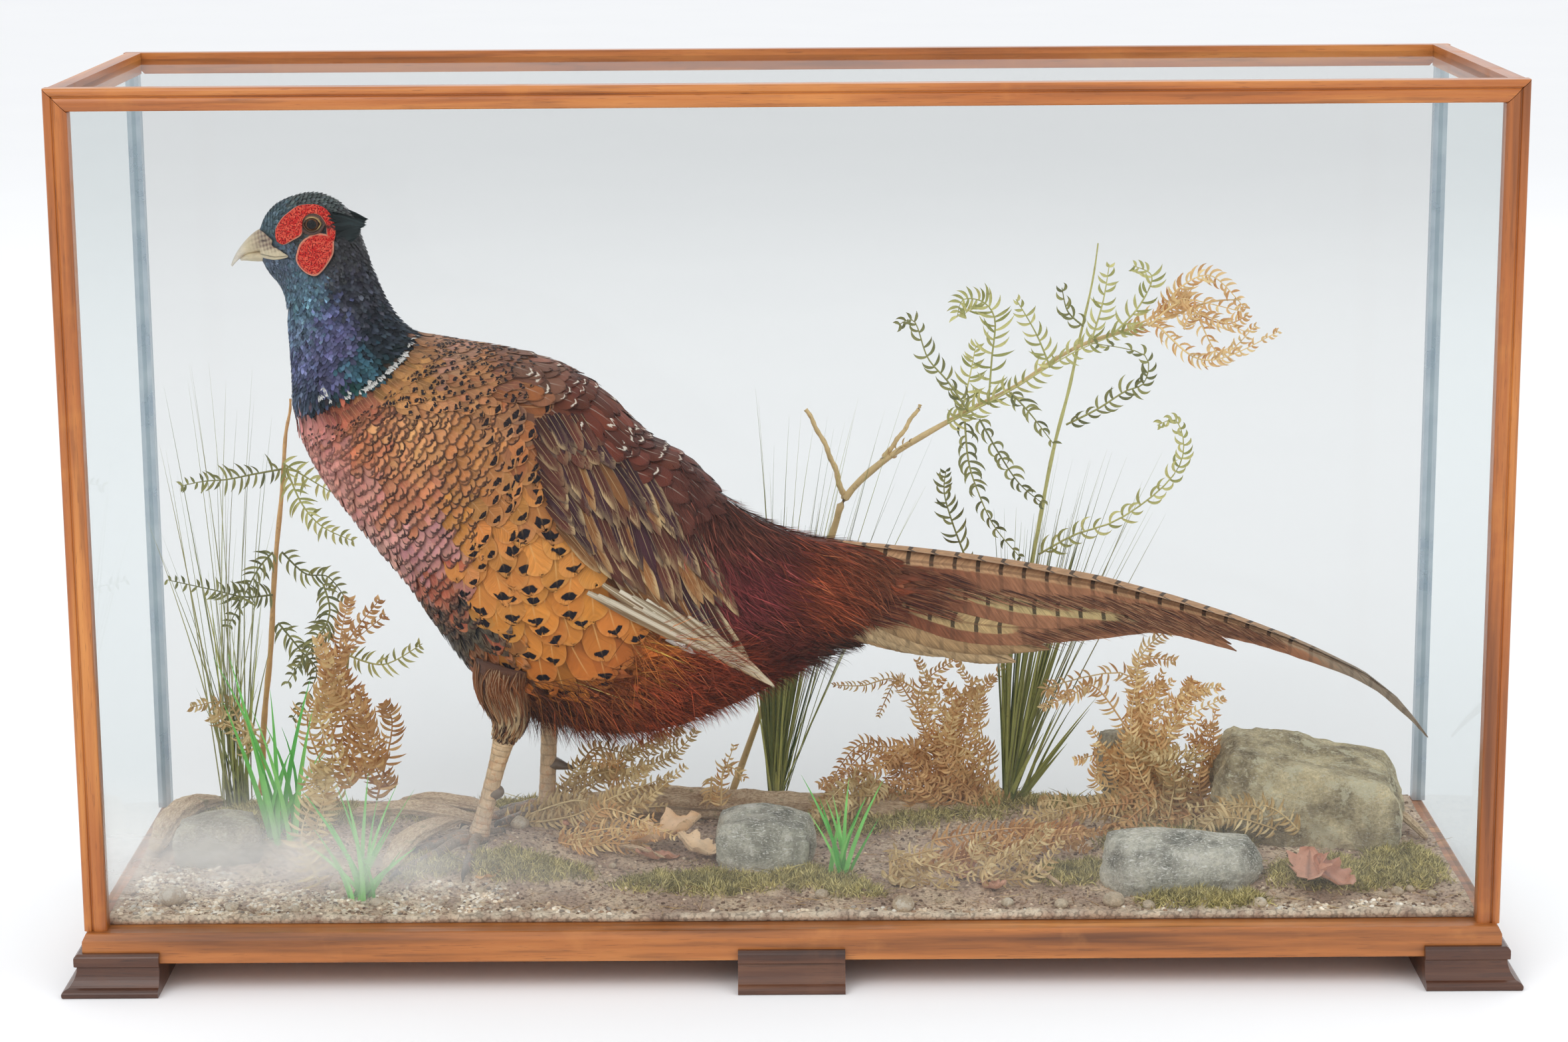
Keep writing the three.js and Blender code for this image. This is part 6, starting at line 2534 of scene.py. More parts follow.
@dataclass(frozen=True)
class EyeFinish:
    """A glass eye: a black pupil in a brown iris, under a clear glossy front."""

    name: str = "glass_eye"
    iris: Colour = srgb(112, 64, 24)
    dark: Colour = srgb(40, 22, 10)
    pupil: float = 0.165
    edge: float = 0.232

    def material(self) -> bpy.types.Material:
        """Makes the finish.

        Returns:
            The material.
        """
        shader = Shader(self.name)
        turn, polar = shader.vane()
        ray = shader.noise(1.0, shader.join(shader.times(turn, 90.0), shader.times(polar, 9.0), 0.0), 3.0)
        iris = shader.mix(shader.rise(ray, 0.3, 0.7), self.dark, self.iris)
        colour = shader.mix(shader.rise(polar, self.edge - 0.03, self.edge), iris, self.dark)
        hole = shader.rise(polar, self.pupil + 0.006, self.pupil - 0.006)
        colour = shader.mix(hole, colour, (0.002, 0.002, 0.002))
        return shader.finish(colour, 0.1, Coat_Weight=0.3, Coat_Roughness=0.02, Specular_IOR_Level=0.15)


@dataclass(frozen=True)
class LidFinish:
    """The thin pale lid round the eye."""

    name: str = "eye_lid"

    def material(self) -> bpy.types.Material:
        """Makes the finish.

        Returns:
            The material.
        """
        shader = Shader(self.name)
        tint = shader.attribute("tint")
        creases = shader.noise(1700.0, detail=3.0)
        colour = shader.mix(shader.rise(creases, 0.3, 0.75), shader.mix(0.5, tint, srgb(96, 58, 42)), tint)
        shader.relief(creases, 0.0002)
        return shader.finish(colour, 0.5, Coat_Weight=0.2)


@dataclass
class Head:
    """Everything bare on the head: wattles, eyes with their lids, and the bill."""

    form: BodyForm
    frame: BirdFrame
    plumage: Plumage
    eye: tuple[float, float] = (-118.3, 472.4)
    eye_radius: float = 6.2
    eye_depth: float = 3.4
    opening: tuple[float, float] = (4.9, 4.3)
    lid_rings: tuple[tuple[float, float, int], ...] = (
        (0.97, -0.1, 1), (1.0, 0.45, 1), (1.07, 0.8, 1), (1.16, 0.62, 1), (1.26, 0.3, 1), (1.38, 0.9, 0),
        (1.5, 1.0, 0), (1.62, 0.2, 0), (1.7, -0.8, 0),
    )
    eye_rows: int = 40
    eye_columns: int = 64
    lid_sides: int = 72
    tuft_count: int = 110
    tuft_seed: int = 61
    tuft_grid: tuple[int, int] = (7, 3)
    brow_outer: Outline = (
        (-142.2, 464.5), (-141.8, 469.7), (-138, 476), (-133.4, 480), (-127.9, 483.6), (-121.6, 484.6),
        (-114.4, 484), (-109.1, 481.1), (-105.8, 477.0), (-103.4, 471.9), (-103.2, 465.5), (-104.6, 460.5),
    )
    brow_inner: Outline = (
        (-141.2, 461.3), (-136.8, 459.2), (-130.4, 462.3), (-125.2, 465.6), (-124.4, 469.5), (-124.4, 474),
        (-121.8, 477.4), (-117.5, 478.6), (-113.3, 477.2), (-110.8, 474.2), (-109.2, 470.5), (-108.6, 463.5),
    )
    lobe: Outline = (
        (-114.5, 466.8), (-120.4, 465), (-125.8, 460.7), (-128.6, 454.4), (-129.3, 448.9), (-126.6, 444),
        (-122.1, 440.3), (-116.7, 439.2), (-112.6, 442), (-108.4, 447.2), (-105, 453), (-104.2, 458.6),
        (-104.6, 463.6), (-108.5, 465.8),
    )
    horn_base: Outline = (
        (-157.0, 465.6), (-153.6, 467.6), (-150.6, 467.0), (-147.4, 464.6), (-144.4, 461.8), (-144.6, 458.6),
        (-141.2, 456.6), (-137.6, 454.0), (-134.4, 451.4), (-138.4, 449.6), (-144.0, 448.8), (-150.5, 449.4),
        (-157.0, 451.0),
    )
    upper_bill: tuple[tuple[float, ...], ...] = (
        (-149.5, 468.4, 452.6, 9.4),
        (-154.4, 467.2, 452.8, 8.0),
        (-159.0, 463.9, 452.2, 6.7),
        (-163.5, 459.5, 451.0, 5.3),
        (-167.5, 454.5, 448.2, 3.7),
        (-170.6, 449.4, 445.2, 2.2),
        (-172.4, 445.2, 443.2, 0.8),
    )
    lower_bill: tuple[tuple[float, ...], ...] = (
        (-148.5, 453.6, 446.8, 8.0),
        (-154.6, 453.6, 446.4, 6.5),
        (-159.0, 453.2, 446.6, 5.1),
        (-163.0, 452.2, 447.0, 3.5),
        (-166.6, 450.0, 447.0, 1.2),
    )

    def bare(self) -> tuple[Outline, ...]:
        """Gives the outlines where no feathers grow.

        Returns:
            The outlines, seen from the side.
        """
        ring = np.linspace(0, TAU, 24, endpoint=False)
        lids = tuple((self.eye[0] + 7.2 * math.cos(a), self.eye[1] + 6.0 * math.sin(a)) for a in ring)
        return (self.brow_outer + self.brow_inner[::-1], self.lobe, lids, self.horn_base)

    def build(self) -> None:
        """Builds every piece on both sides."""
        wattle, lid = WattleFinish().material(), LidFinish().material()
        horn = HornFinish("bill_horn").material()
        eye_finish = EyeFinish().material()
        for name, side in (("left", -1), ("right", 1)):
            parts = MeshParts()
            self.brow(parts, side)
            self.fan(parts, side, self.lobe, 2.0, True)
            kept(parts.build(f"wattle_skin_{name}", wattle), "red_skin", f"wattle_{name}")
            parts = MeshParts()
            self.eyeball(parts, side)
            kept(parts.build(f"eyeball_{name}", eye_finish), "glass_eye", f"eye_{name}")
            parts = MeshParts()
            self.lids(parts, side)
            kept(parts.build(f"eye_lids_{name}", lid), "red_skin")
            parts = MeshParts()
            self.fan(parts, side, self.horn_base, 0.9, False)
            kept(parts.build(f"bill_base_{name}", horn), "horn")
            self.ear_tuft(name, side)
        for part, table in (("upper", self.upper_bill), ("lower", self.lower_bill)):
            parts = MeshParts()
            self.beak(parts, np.array(table), part == "upper")
            kept(parts.build(f"{part}_bill", horn), "horn", f"bill_{part}")

    def on_face(self, side: int, x: Array, z: Array, height: Array) -> Array:
        """Gives points on one side of the head, raised along the surface's own slope."""
        s, angle = self.form.locate(x, z)
        return self.form.point(s, angle * side, height)

    def brow(self, parts: MeshParts, side: int) -> None:
        """Adds the wattle's arch over the eye.

        Args:
            parts: The mesh to add it to.
            side: 1 for the bird's right and -1 for its left.
        """
        across = np.linspace(0, 1, 46)
        share = np.linspace(0, 1, 190)
        outer, inner = along(np.array(self.brow_outer), share), along(np.array(self.brow_inner), share)
        place = outer[:, None] * across[:, None] + inner[:, None] * (1 - across[:, None])
        rim = np.maximum(np.abs(2 * across - 1)[None], np.abs(2 * share - 1)[:, None] ** 8)
        self.pad(parts, side, place, rim, 1.9, grid_faces(*place.shape[:2]))

    def fan(self, parts: MeshParts, side: int, outline: Outline, height: float, red: bool) -> None:
        """Adds a pad inside an outline.

        Args:
            parts: The mesh to add it to.
            side: 1 for the bird's right and -1 for its left.
            outline: The outline, seen from the side.
            height: How far the pad stands out.
            red: Whether it is grainy skin; otherwise it is horn.
        """
        ring = loop(outline, 150)
        share = np.linspace(1, 0.01, 44)
        middle = ring.mean(0)
        place = middle + (ring - middle)[None] * share[:, None, None]
        rim = np.broadcast_to(share[:, None], place.shape[:2])
        faces = grid_faces(*place.shape[:2], closed=True)
        if red:
            self.pad(parts, side, place, rim, height, faces[:, ::-1])
            return
        x, z = place[..., 0], place[..., 1]
        flap = np.exp(-(((x + 149.5) / 2.8) ** 2) - ((z - 463.4) / 1.4) ** 2)
        slit = np.exp(-(((x + 150.2) / 2.6) ** 2) - ((z - 461.3) / 0.6) ** 2)
        line = np.interp(x, [-157, -153, -143, -134], [451.8, 452.4, 451.0, 451.8])
        gape = np.exp(-(((z - line) / 0.45) ** 2))
        raised = height * np.clip(1 - rim**10, 0, 1) - 0.5 + 0.8 * flap - 0.7 * slit - 0.5 * gape
        points = self.on_face(side, x, z, raised)
        tint = self.horn_colour(x, z) * (1 - 0.75 * np.maximum(slit, gape * 0.8))[..., None]
        parts.add(self.frame.world(points), faces[:, ::side][:, ::-1], tint=tint, mark=(0, 0, 0))

    def pad(self, parts: MeshParts, side: int, place: Array, rim: Array, height: float, faces: Array) -> None:
        """Adds a pad of grainy skin on a grid of places.

        Args:
            parts: The mesh to add it to.
            side: 1 for the bird's right and -1 for its left.
            place: The places, seen from the side.
            rim: How near the pad's edge each place is, 1 on it.
            height: How far the pad stands out.
            faces: The faces between the places.
        """
        x, z = place[..., 0], place[..., 1]
        grain = grains(x, z, 0.95, 5)
        fold = 0.25 * np.sin(0.9 * x + 0.5 * z) * np.cos(0.35 * x - 0.6 * z)
        dome = height * np.clip(1 - rim**6, 0, 1) ** 0.6
        raised = dome - 0.5 + 0.28 * grain * (rim < 0.93) + fold * (1 - rim)
        points = self.on_face(side, x, z, raised)
        line = 471.4 - 0.3 * (x + 112) + 0.5 * np.sin(1.7 * x)
        streak = np.exp(-(((z - line) / 1.25) ** 2)) * smooth(-112.6, -110.5, x)
        mark = np.stack([rim, grain, streak], -1)
        parts.add(self.frame.world(points), faces[:, ::side], tint=(1, 1, 1), mark=mark)

    def horn_colour(self, x: Array, z: Array) -> Array:
        """Gives the bill's colour: cream at the tip and along the gape, brown at its root.

        Args:
            x: The places' first coordinates.
            z: The places' heights.

        Returns:
            The colour at each place.
        """
        patchy = 0.5 * np.sin(0.9 * x + 1.3 * z) * np.cos(1.7 * x - 0.8 * z)
        root = smooth(-163, -149, x + 3 * patchy) * smooth(453, 459, z + 2.5 * patchy)
        tip = smooth(-160, -170, x)
        cream, brown = np.array(srgb(216, 200, 168)), np.array(srgb(128, 104, 92))
        pale = np.array(srgb(226, 218, 206))
        base = cream + (brown - cream) * root[..., None] * (0.75 + 0.7 * patchy[..., None])
        return base + (pale - base) * tip[..., None] * 0.8

    def eyeball(self, parts: MeshParts, side: int) -> None:
        """Adds an eyeball whose pole looks straight out.

        Args:
            parts: The mesh to add it to.
            side: 1 for the bird's right and -1 for its left.
        """
        rows, columns = self.eye_rows, self.eye_columns
        polar = np.linspace(0.004, math.pi - 0.004, rows)[:, None]
        turn = np.linspace(0, TAU, columns)[None]
        bulge = self.eye_radius + 0.25 * smooth(0.75, 0.0, polar)
        x = self.eye[0] + bulge * np.sin(polar) * np.cos(turn)
        z = self.eye[1] + bulge * np.sin(polar) * np.sin(turn)
        middle = float(self.form.half_width(np.array(self.eye[0]), np.array(self.eye[1]))) - self.eye_depth
        y = side * (middle + bulge * np.cos(polar) + 0 * turn)
        vane = np.stack(np.broadcast_arrays(turn / TAU, polar / math.pi), -1)
        faces = grid_faces(rows, columns)[:, ::-side]
        parts.add(self.frame.world(np.stack([x, y, z], -1)), faces, vane=vane, tint=(1, 1, 1))

    def lids(self, parts: MeshParts, side: int) -> None:
        """Adds the rolled rim of the lids and the skin from it to the wattle.

        Args:
            parts: The mesh to add them to.
            side: 1 for the bird's right and -1 for its left.
        """
        turn = np.linspace(0, TAU, self.lid_sides, endpoint=False)
        radius = self.eye_radius
        middle = float(self.form.half_width(np.array(self.eye[0]), np.array(self.eye[1]))) - self.eye_depth
        wide, high = self.opening
        corner = 1 + 0.12 * np.cos(2 * turn) ** 8 * (np.abs(np.cos(turn)) > 0.7)
        rows, shades = [], []
        for share, lift, on_ball in self.lid_rings:
            dx = wide * share * np.cos(turn) * corner
            dz = high * share * np.sin(turn)
            x, z = self.eye[0] + dx, self.eye[1] + dz
            ball = middle + np.sqrt(np.maximum(radius**2 - dx**2 - dz**2, 1.0)) + lift
            face = self.form.half_width(x, z) + lift
            y = side * (ball if on_ball else face)
            rows.append(np.stack([x, y, z], -1))
            pale = smooth(1.3, 1.0, share) * (0.12 + 0.88 * smooth(-0.35, 0.45, np.cos(turn - 0.75)))
            dusky, cream = np.array(srgb(74, 52, 44)), np.array(srgb(228, 194, 124))
            shades.append(dusky * (1 - pale[:, None]) + cream * pale[:, None])
        points = np.array(rows)
        faces = grid_faces(len(rows), self.lid_sides, closed=True)[:, ::side]
        parts.add(self.frame.world(points), faces, tint=np.array(shades))

    def beak(self, parts: MeshParts, table: Array, upper: bool) -> None:
        """Adds one half of the bill, as a closed loft.

        Args:
            parts: The mesh to add it to.
            table: Rows of x, top, bottom and half width, from the root to the tip.
            upper: Whether it is the upper half, whose top is a narrow ridge.
        """
        rows = along(table, np.linspace(0, 1, 46))
        sides = 36
        turn = np.arange(sides) * TAU / sides
        up, out = np.cos(turn), np.sin(turn)
        pinch = 1 - 0.24 * np.clip(up if upper else -up, 0, 1) ** 1.5
        flat = np.sign(out) * np.abs(out) ** 0.85 * pinch
        top, bottom, half = rows[:, 1:2], rows[:, 2:3], rows[:, 3:4]
        z = (top + bottom) / 2 + (top - bottom) / 2 * up[None]
        y = half * flat[None]
        if upper:
            ledge = np.exp(-(((up + 0.72) / 0.2) ** 2))[None]
            y = y * (1 + 0.07 * ledge)
        x = np.broadcast_to(rows[:, :1], z.shape) + 0.4 * (half * np.abs(flat[None]) > 0)
        ends = np.array(
            [
                [rows[0, 0], 0, float((top[0, 0] + bottom[0, 0]) / 2)],
                [rows[-1, 0] - 0.4, 0, float((top[-1, 0] + bottom[-1, 0]) / 2)],
            ]
        )
        points = np.concatenate([np.stack([x, y, z], -1).reshape(-1, 3), ends])
        tint = self.horn_colour(points[:, 0], points[:, 2])
        base = parts.count
        parts.add(self.frame.world(points), grid_faces(len(rows), sides, True), tint=tint)
        parts.tris.append(end_caps(len(rows), sides) + base)

    def ear_tuft(self, name: str, side: int) -> None:
        """Builds the tuft of longer feathers behind the ear.

        Args:
            name: left or right.
            side: 1 for the bird's right and -1 for its left.
        """
        chance = np.random.default_rng(self.tuft_seed + side)
        count = self.tuft_count
        share = np.sort(chance.uniform(0, 1, count))
        low = smooth(0.55, 1.0, share)
        out = side * chance.uniform(14.0, 17.2, count)
        start = np.stack([-106 + 5 * share, out, 479.0 - 18 * share], 1) + chance.normal(0, 1.1, (count, 3))
        target = np.stack([-84.2 - 4.2 * low, out * 0.82, 471.0 - 7.0 * low], 1)
        target = target + chance.normal(0, 0.6, (count, 3))
        coat = Coat(self.form, self.frame, 62)
        v, u = np.linspace(0, 1, self.tuft_grid[0]), np.linspace(-1, 1, self.tuft_grid[1])
        way = unit(target - start)
        length = np.linalg.norm(target - start, axis=1) * chance.uniform(0.7, 1.0, count)
        outwards = np.array([0, side, 0.0]) + chance.normal(0, 0.25, (count, 3))
        cross = unit(np.cross(way, outwards))
        bow = 0.9 * np.sin(v * math.pi)
        shape = 1.5 * np.maximum(np.sin(np.clip(v * 0.9 + 0.1, 0, 1) * math.pi), 0.03)
        points = (
            start[:, None, None]
            + way[:, None, None] * (length[:, None] * v)[:, :, None, None]
            + cross[:, None, None] * (shape[:, None] * u)[None, ..., None]
            + unit(np.cross(cross, way))[:, None, None] * (bow * side)[None, :, None, None]
        )
        vane_map = np.stack(np.broadcast_arrays(0.5 + 0.5 * u, v[:, None]), -1)
        tint = np.array(srgb(44, 56, 58)) * chance.uniform(0.6, 1.25, (count, 1))
        mark = np.tile([0, 0, 0.5], (count, 1))
        spots = coat.unwrap(np.tile([4.6, side * 1.3], (count, 1)))
        parts = MeshParts()
        coat.gather(points, vane_map, spots, tint, mark, parts)
        kept(parts.build(f"ear_feathers_{name}", PLAIN_WEB.material()), "feather_head", f"ear_tuft_{name}")


@dataclass(frozen=True)
class Bed:
    """The lie of the soil in the case, in millimetres: a flat bed with low mounds."""

    level: float = 43.0
    mounds: tuple[tuple[float, float, float, float], ...] = (
        (-200, -20, 15, 80),
        (-345, 40, 15, 75),
        (-165, 45, 12, 70),
        (120, 60, 8, 90),
        (330, 20, 12, 100),
        (-60, 10, 6, 70),
        (230, -20, 6, 70),
    )

    def height(self, x: Array, y: Array) -> Array:
        """Gives the height of the soil at places in the case.

        Args:
            x: How far along the case.
            y: How far to its back.

        Returns:
            The heights.
        """
        total = self.level + 1.2 * np.sin(0.045 * x) * np.cos(0.06 * y + 0.01 * x)
        for centre_x, centre_y, height, reach in self.mounds:
            far = ((x - centre_x) ** 2 + (y - centre_y) ** 2) / reach**2
            total = total + height * np.exp(-2.2 * far)
        return total


@dataclass(frozen=True)
class ScaleFinish:
    """Horny scales of the legs, darker in the seams between them, with orange patches and a fine pale mottle
    of painted sheen.
    """

    name: str = "leg_scales"

    def material(self) -> bpy.types.Material:
        """Makes the finish.

        Returns:
            The material.
        """
        shader = Shader(self.name)
        tint = shader.attribute("tint")
        seam, _, _ = shader.split(shader.attribute("mark", "Vector"))
        cloud = shader.noise(210.0, detail=5.0)
        fine = shader.noise(1500.0, detail=3.0)
        level = shader.line(cloud, 0.8, shader.line(fine, 0.3, 0.42))
        colour = shader.shade(tint, level)
        colour = shader.mix(shader.times(seam, 0.4), colour, srgb(92, 70, 52))
        colour = shader.mix(shader.times(shader.rise(cloud, 0.52, 0.62), 0.4), colour, srgb(188, 124, 74))
        # Painted highlight: a fine pale cream mottle that stands for the whitish sheen on the scales.
        colour = shader.mix(shader.times(shader.rise(fine, 0.56, 0.66), 0.45), colour, srgb(232, 216, 190))
        shader.relief(fine, 0.00015)
        return shader.finish(colour, shader.line(fine, 0.3, 0.2), Specular_IOR_Level=0.5)


@dataclass(frozen=True)
class Leg:
    """One leg: its joints in the bird's frame, the reach of its toes, and its spur."""

    name: str
    root: Point
    hock: Point
    joint: Point
    toes: tuple[tuple[float, float, float], ...]
    hallux: tuple[float, float]
    spur: tuple[float, float]


@dataclass
class Legs:
    """Both legs: feathered thighs, scaled shanks and toes, claws and spurs."""

    frame: BirdFrame
    bed: Bed
    toe_radius: float = 3.4
    thigh_count: int = 620
    thigh_seed: int = 71
    pair: tuple[Leg, ...] = (
        Leg(
            "left", (-3, -36, 168), (-2, -36, 131), (-20, -35, 66),
            ((-50, -36, 72), (-10, -55, 56), (-44, 4, 48)), (13, 8), (6, 13),
        ),
        Leg(
            "right", (34, 28, 172), (28, 27, 136), (24.5, 24, 66),
            ((-60, -6, 60), (-36, -36, 50), (-28, 26, 46)), (15, -4), (20, -3),
        ),
    )

    def build(self) -> None:
        """Builds both legs."""
        scales, claw = ScaleFinish().material(), HornFinish("claw_horn", 0.3).material()
        for leg in self.pair:
            shank, foot, horn, spur = MeshParts(), MeshParts(), MeshParts(), MeshParts()
            self.shank(leg, shank)
            self.foot(leg, foot, horn)
            self.spur(leg, spur)
            kept(shank.build(f"scaled_shank_{leg.name}", scales), "leg_skin", f"shank_{leg.name}")
            kept(foot.build(f"scaled_foot_{leg.name}", scales), "leg_skin", f"foot_{leg.name}")
            kept(horn.build(f"claws_{leg.name}", claw), "horn")
            kept(spur.build(f"spur_{leg.name}", claw), "horn")
            self.thigh_feathers(leg)

    def limb(
        self, path: Array, radii: Array, parts: MeshParts, pitch: float, columns: int, tints: Array,
    ) -> None:
        """Adds a scaled tube.

        Args:
            path: Points of its middle line.
            radii: The radius at each point.
            parts: The mesh to add it to.
            pitch: How far apart the rows of scales are.
            columns: How many scales go round it.
            tints: Its colour at the first and the last point.
        """
        path = np.asarray(path, float)
        length = np.linalg.norm(np.diff(path, axis=0), axis=1).sum()
        rows, sides = max(int(length / 0.55), 12), 40
        share = np.linspace(0, 1, rows)
        line, wide = along(path, share), along(np.asarray(radii, float)[:, None], share)[:, 0]
        ways = unit(np.gradient(line, axis=0))
        side = unit(np.cross(ways, [[0.0, 1.0, 0.02]]))
        upright = np.cross(side, ways)
        turn = np.arange(sides) * TAU / sides
        row = share[:, None] * length / pitch + 0 * turn
        column = turn / TAU * columns + 0.5 * (np.floor(row) % 2)
        down, over = np.abs(2 * (row % 1) - 1), np.abs(2 * (column % 1) - 1)
        edge = np.maximum(down, over)
        plate = 0.34 * (1 - edge**7) + 0.16 * (row % 1)
        reach = wide[:, None] + plate * np.minimum(wide / 4, 1)[:, None]
        ring = side[:, None] * np.cos(turn)[None, :, None] + upright[:, None] * np.sin(turn)[None, :, None]
        points = line[:, None] + ring * reach[..., None]
        tint = np.array(tints[0]) + (np.array(tints[1]) - np.array(tints[0])) * share[:, None, None]
        tint = np.broadcast_to(tint, points.shape) * (1 + 0.1 * np.sin(column * 2.3 + row * 1.7))[..., None]
        seam = smooth(0.8, 0.97, edge)
        self.closed(parts, points, line, tint, np.stack([seam, seam * 0, seam * 0], -1))

    def closed(self, parts: MeshParts, points: Array, line: Array, tint: Array, mark: Array) -> None:
        """Adds a tube of rings with both ends closed.

        Args:
            parts: The mesh to add it to.
            points: The points of each ring.
            line: The points of its middle line.
            tint: The colour of each point.
            mark: The mark of each point.
        """
        rows, sides = points.shape[:2]
        base = parts.count
        every = np.concatenate([points.reshape(-1, 3), line[[0, -1]]])
        tints = np.concatenate([tint.reshape(-1, 3), tint[[0, -1], 0]])
        marks = np.concatenate([mark.reshape(-1, 3), mark[[0, -1], 0]])
        parts.add(self.frame.world(every), grid_faces(rows, sides, True), tint=tints, mark=marks)
        parts.tris.append(end_caps(rows, sides) + base)

    def shank(self, leg: Leg, parts: MeshParts) -> None:
        """Adds the scaled shank.

        Args:
            leg: The leg.
            parts: The mesh to add it to.
        """
        hock, joint = np.array(leg.hock, float), np.array(leg.joint, float)
        share = np.array([-0.12, 0, 0.1, 0.3, 0.6, 0.86, 1.0, 1.06])
        path = hock + (joint - hock) * share[:, None]
        radii = np.array([6.6, 7.2, 6.4, 5.4, 5.2, 5.5, 6.6, 5.0])
        self.limb(path, radii, parts, 3.9, 7, (srgb(240, 204, 158), srgb(204, 176, 148)))

    def spur(self, leg: Leg, parts: MeshParts) -> None:
        """Adds the spur behind the shank.

        Args:
            leg: The leg.
            parts: The mesh to add it to.
        """
        hock, joint = np.array(leg.hock, float), np.array(leg.joint, float)
        heel = joint - 28 * unit(joint - hock)
        tip = heel + np.array([leg.spur[0], leg.spur[1], -2.0])
        path = [heel, heel + (5, 0, 1), (heel + tip) / 2 + (1.5, 0, 0.6), tip]
        self.limb(path, [5.2, 4.3, 2.4, 0.4], parts, 9.0, 3, (srgb(140, 122, 106), srgb(96, 84, 76)))

    def foot(self, leg: Leg, foot: MeshParts, horn: MeshParts) -> None:
        """Adds the knuckle, the toes and the claws.

        Args:
            leg: The leg.
            foot: The mesh of the scaled parts.
            horn: The mesh of the claws.
        """
        start = np.array(leg.joint, float) - (0, 0, 5)
        grey = (srgb(156, 134, 112), srgb(96, 90, 86))
        knuckle = [start + (0, 0, 4.5), start + (0, 0, 1), start - (0, 0, 3.5)]
        self.limb(knuckle, [4.5, 6.4, 3.0], foot, 2.6, 9, grey)
        toes = [(dx, dy, length, self.toe_radius) for dx, dy, length in leg.toes]
        toes.append((*leg.hallux, 20.0, self.toe_radius * 0.7))
        for dx, dy, length, radius in toes:
            way = unit(np.array([dx, dy], float))
            path = [start]
            for share, lift in ((0.24, 5), (0.5, 3), (0.78, 2.2), (0.9, 1.2)):
                path.append(self.on_soil(start[:2] + way * length * share, radius + lift))
            radii = [radius, radius * 0.98, radius * 0.88, radius * 0.72, radius * 0.5]
            self.limb(path, radii, foot, 2.5, 6, grey)
            base = path[-1]
            claw = [
                self.on_soil(start[:2] + way * (length * 0.9 - 3), radius + 1.6),
                base + (0, 0, 0.8),
                self.on_soil(start[:2] + way * (length * 0.96), radius + 1.2),
                self.on_soil(start[:2] + way * length, 1.4),
            ]
            radii = [radius * 0.5, radius * 0.52, radius * 0.36, 0.25]
            self.limb(claw, radii, horn, 30.0, 1, (srgb(92, 84, 76), srgb(60, 54, 50)))

    def on_soil(self, place: Array, lift: float) -> Array:
        """Gives a point in the bird's frame at a height above the soil below it."""
        world = self.frame.world(np.array([[place[0], place[1], 0.0]]))[0] / MM
        return np.array([place[0], place[1], float(self.bed.height(world[0], world[1])) + lift])

    def thigh(self, leg: Leg) -> tuple[Array, Array]:
        """Gives the thigh's middle line and radii, which its skin and feathers share.

        Args:
            leg: The leg.

        Returns:
            The points of the line and the radius at each.
        """
        root, hock, joint = (np.array(p, float) for p in (leg.root, leg.hock, leg.joint))
        down = unit(joint - hock)
        path = np.array([root + (2, 0, 14), root, hock - 16 * down, hock - 2 * down, hock + 3 * down])
        return path, np.array([20.0, 17.5, 12.5, 8.2, 6.4])

    def skins(self, parts: MeshParts) -> None:
        """Adds the skin of both thighs to the bird's skin.

        Args:
            parts: The mesh of the bird's skin.
        """
        for leg in self.pair:
            path, radii = self.thigh(leg)
            share = np.linspace(0, 1, 16)
            line = self.frame.world(along(path, share))
            wide = (along(radii[:, None], share)[:, 0] - 1.2) * MM
            tube(line, wide, 20, parts, tint=srgb(120, 72, 46), bake=(0.5, 0.9))

    def thigh_feathers(self, leg: Leg) -> None:
        """Builds the narrow streaked feathers of one thigh.

        Args:
            leg: The thigh's leg.
        """
        chance = np.random.default_rng(self.thigh_seed)
        path, radii = self.thigh(leg)
        length = np.linalg.norm(np.diff(path, axis=0), axis=1).sum()
        count = self.thigh_count
        t = chance.uniform(0.0, 0.72, count)[:, None, None]
        turn = chance.uniform(0, TAU, count)[:, None, None]
        rows, stations = 6, 40
        v, u = np.linspace(0, 1, rows)[None, :, None], np.linspace(-1, 1, 3)[None, None]
        size = chance.uniform(0.75, 1.2, count)[:, None, None]
        shape = 1.3 * np.maximum(np.sin(np.clip(v + 0.12, 0, 1) * math.pi) ** 0.7, 0.04)
        there = np.clip(t + 13 * size * v / length, 0, 1.02)
        line = along(path, there.ravel()).reshape(count, rows, 1, 3)
        wide = along(radii[:, None], there.ravel()).reshape(count, rows, 1)
        ways = unit(np.gradient(along(path, np.linspace(0, 1, stations)), axis=0))
        near = np.clip((there.ravel() * (stations - 1)).astype(int), 0, stations - 1)
        way = ways[near].reshape(count, rows, 1, 3)
        side = unit(np.cross(way, np.array([0.0, 1.0, 0.02])))
        upright = np.cross(side, way)
        reach = wide + 0.9 * v - 1.0 * (1 - v) + chance.uniform(0, 0.8, (count, 1, 1)) - 0.3 * u**2
        bend = turn + chance.normal(0, 0.12, (count, 1, 1)) * v + u * shape * size / wide
        points = line + side * (np.cos(bend) * reach)[..., None] + upright * (np.sin(bend) * reach)[..., None]
        vane_map = np.stack(np.broadcast_arrays(0.5 + 0.5 * u[0], v[0]), -1)
        front = smooth(0.3, -0.6, np.cos(turn[:, 0, 0] + 1.2))[:, None]
        palette = np.array([srgb(196, 140, 92), srgb(136, 86, 58), srgb(66, 42, 36), srgb(226, 194, 150)])
        tint = palette[chance.integers(0, 4, count)] * (0.7 + 0.6 * front)
        low = smooth(0.34, 0.16, t[:, 0])
        tint = tint * (1 - low) + np.array(srgb(168, 96, 52)) * (0.5 + 0.5 * front) * low
        coat = Coat(BodyForm(), self.frame, 72)
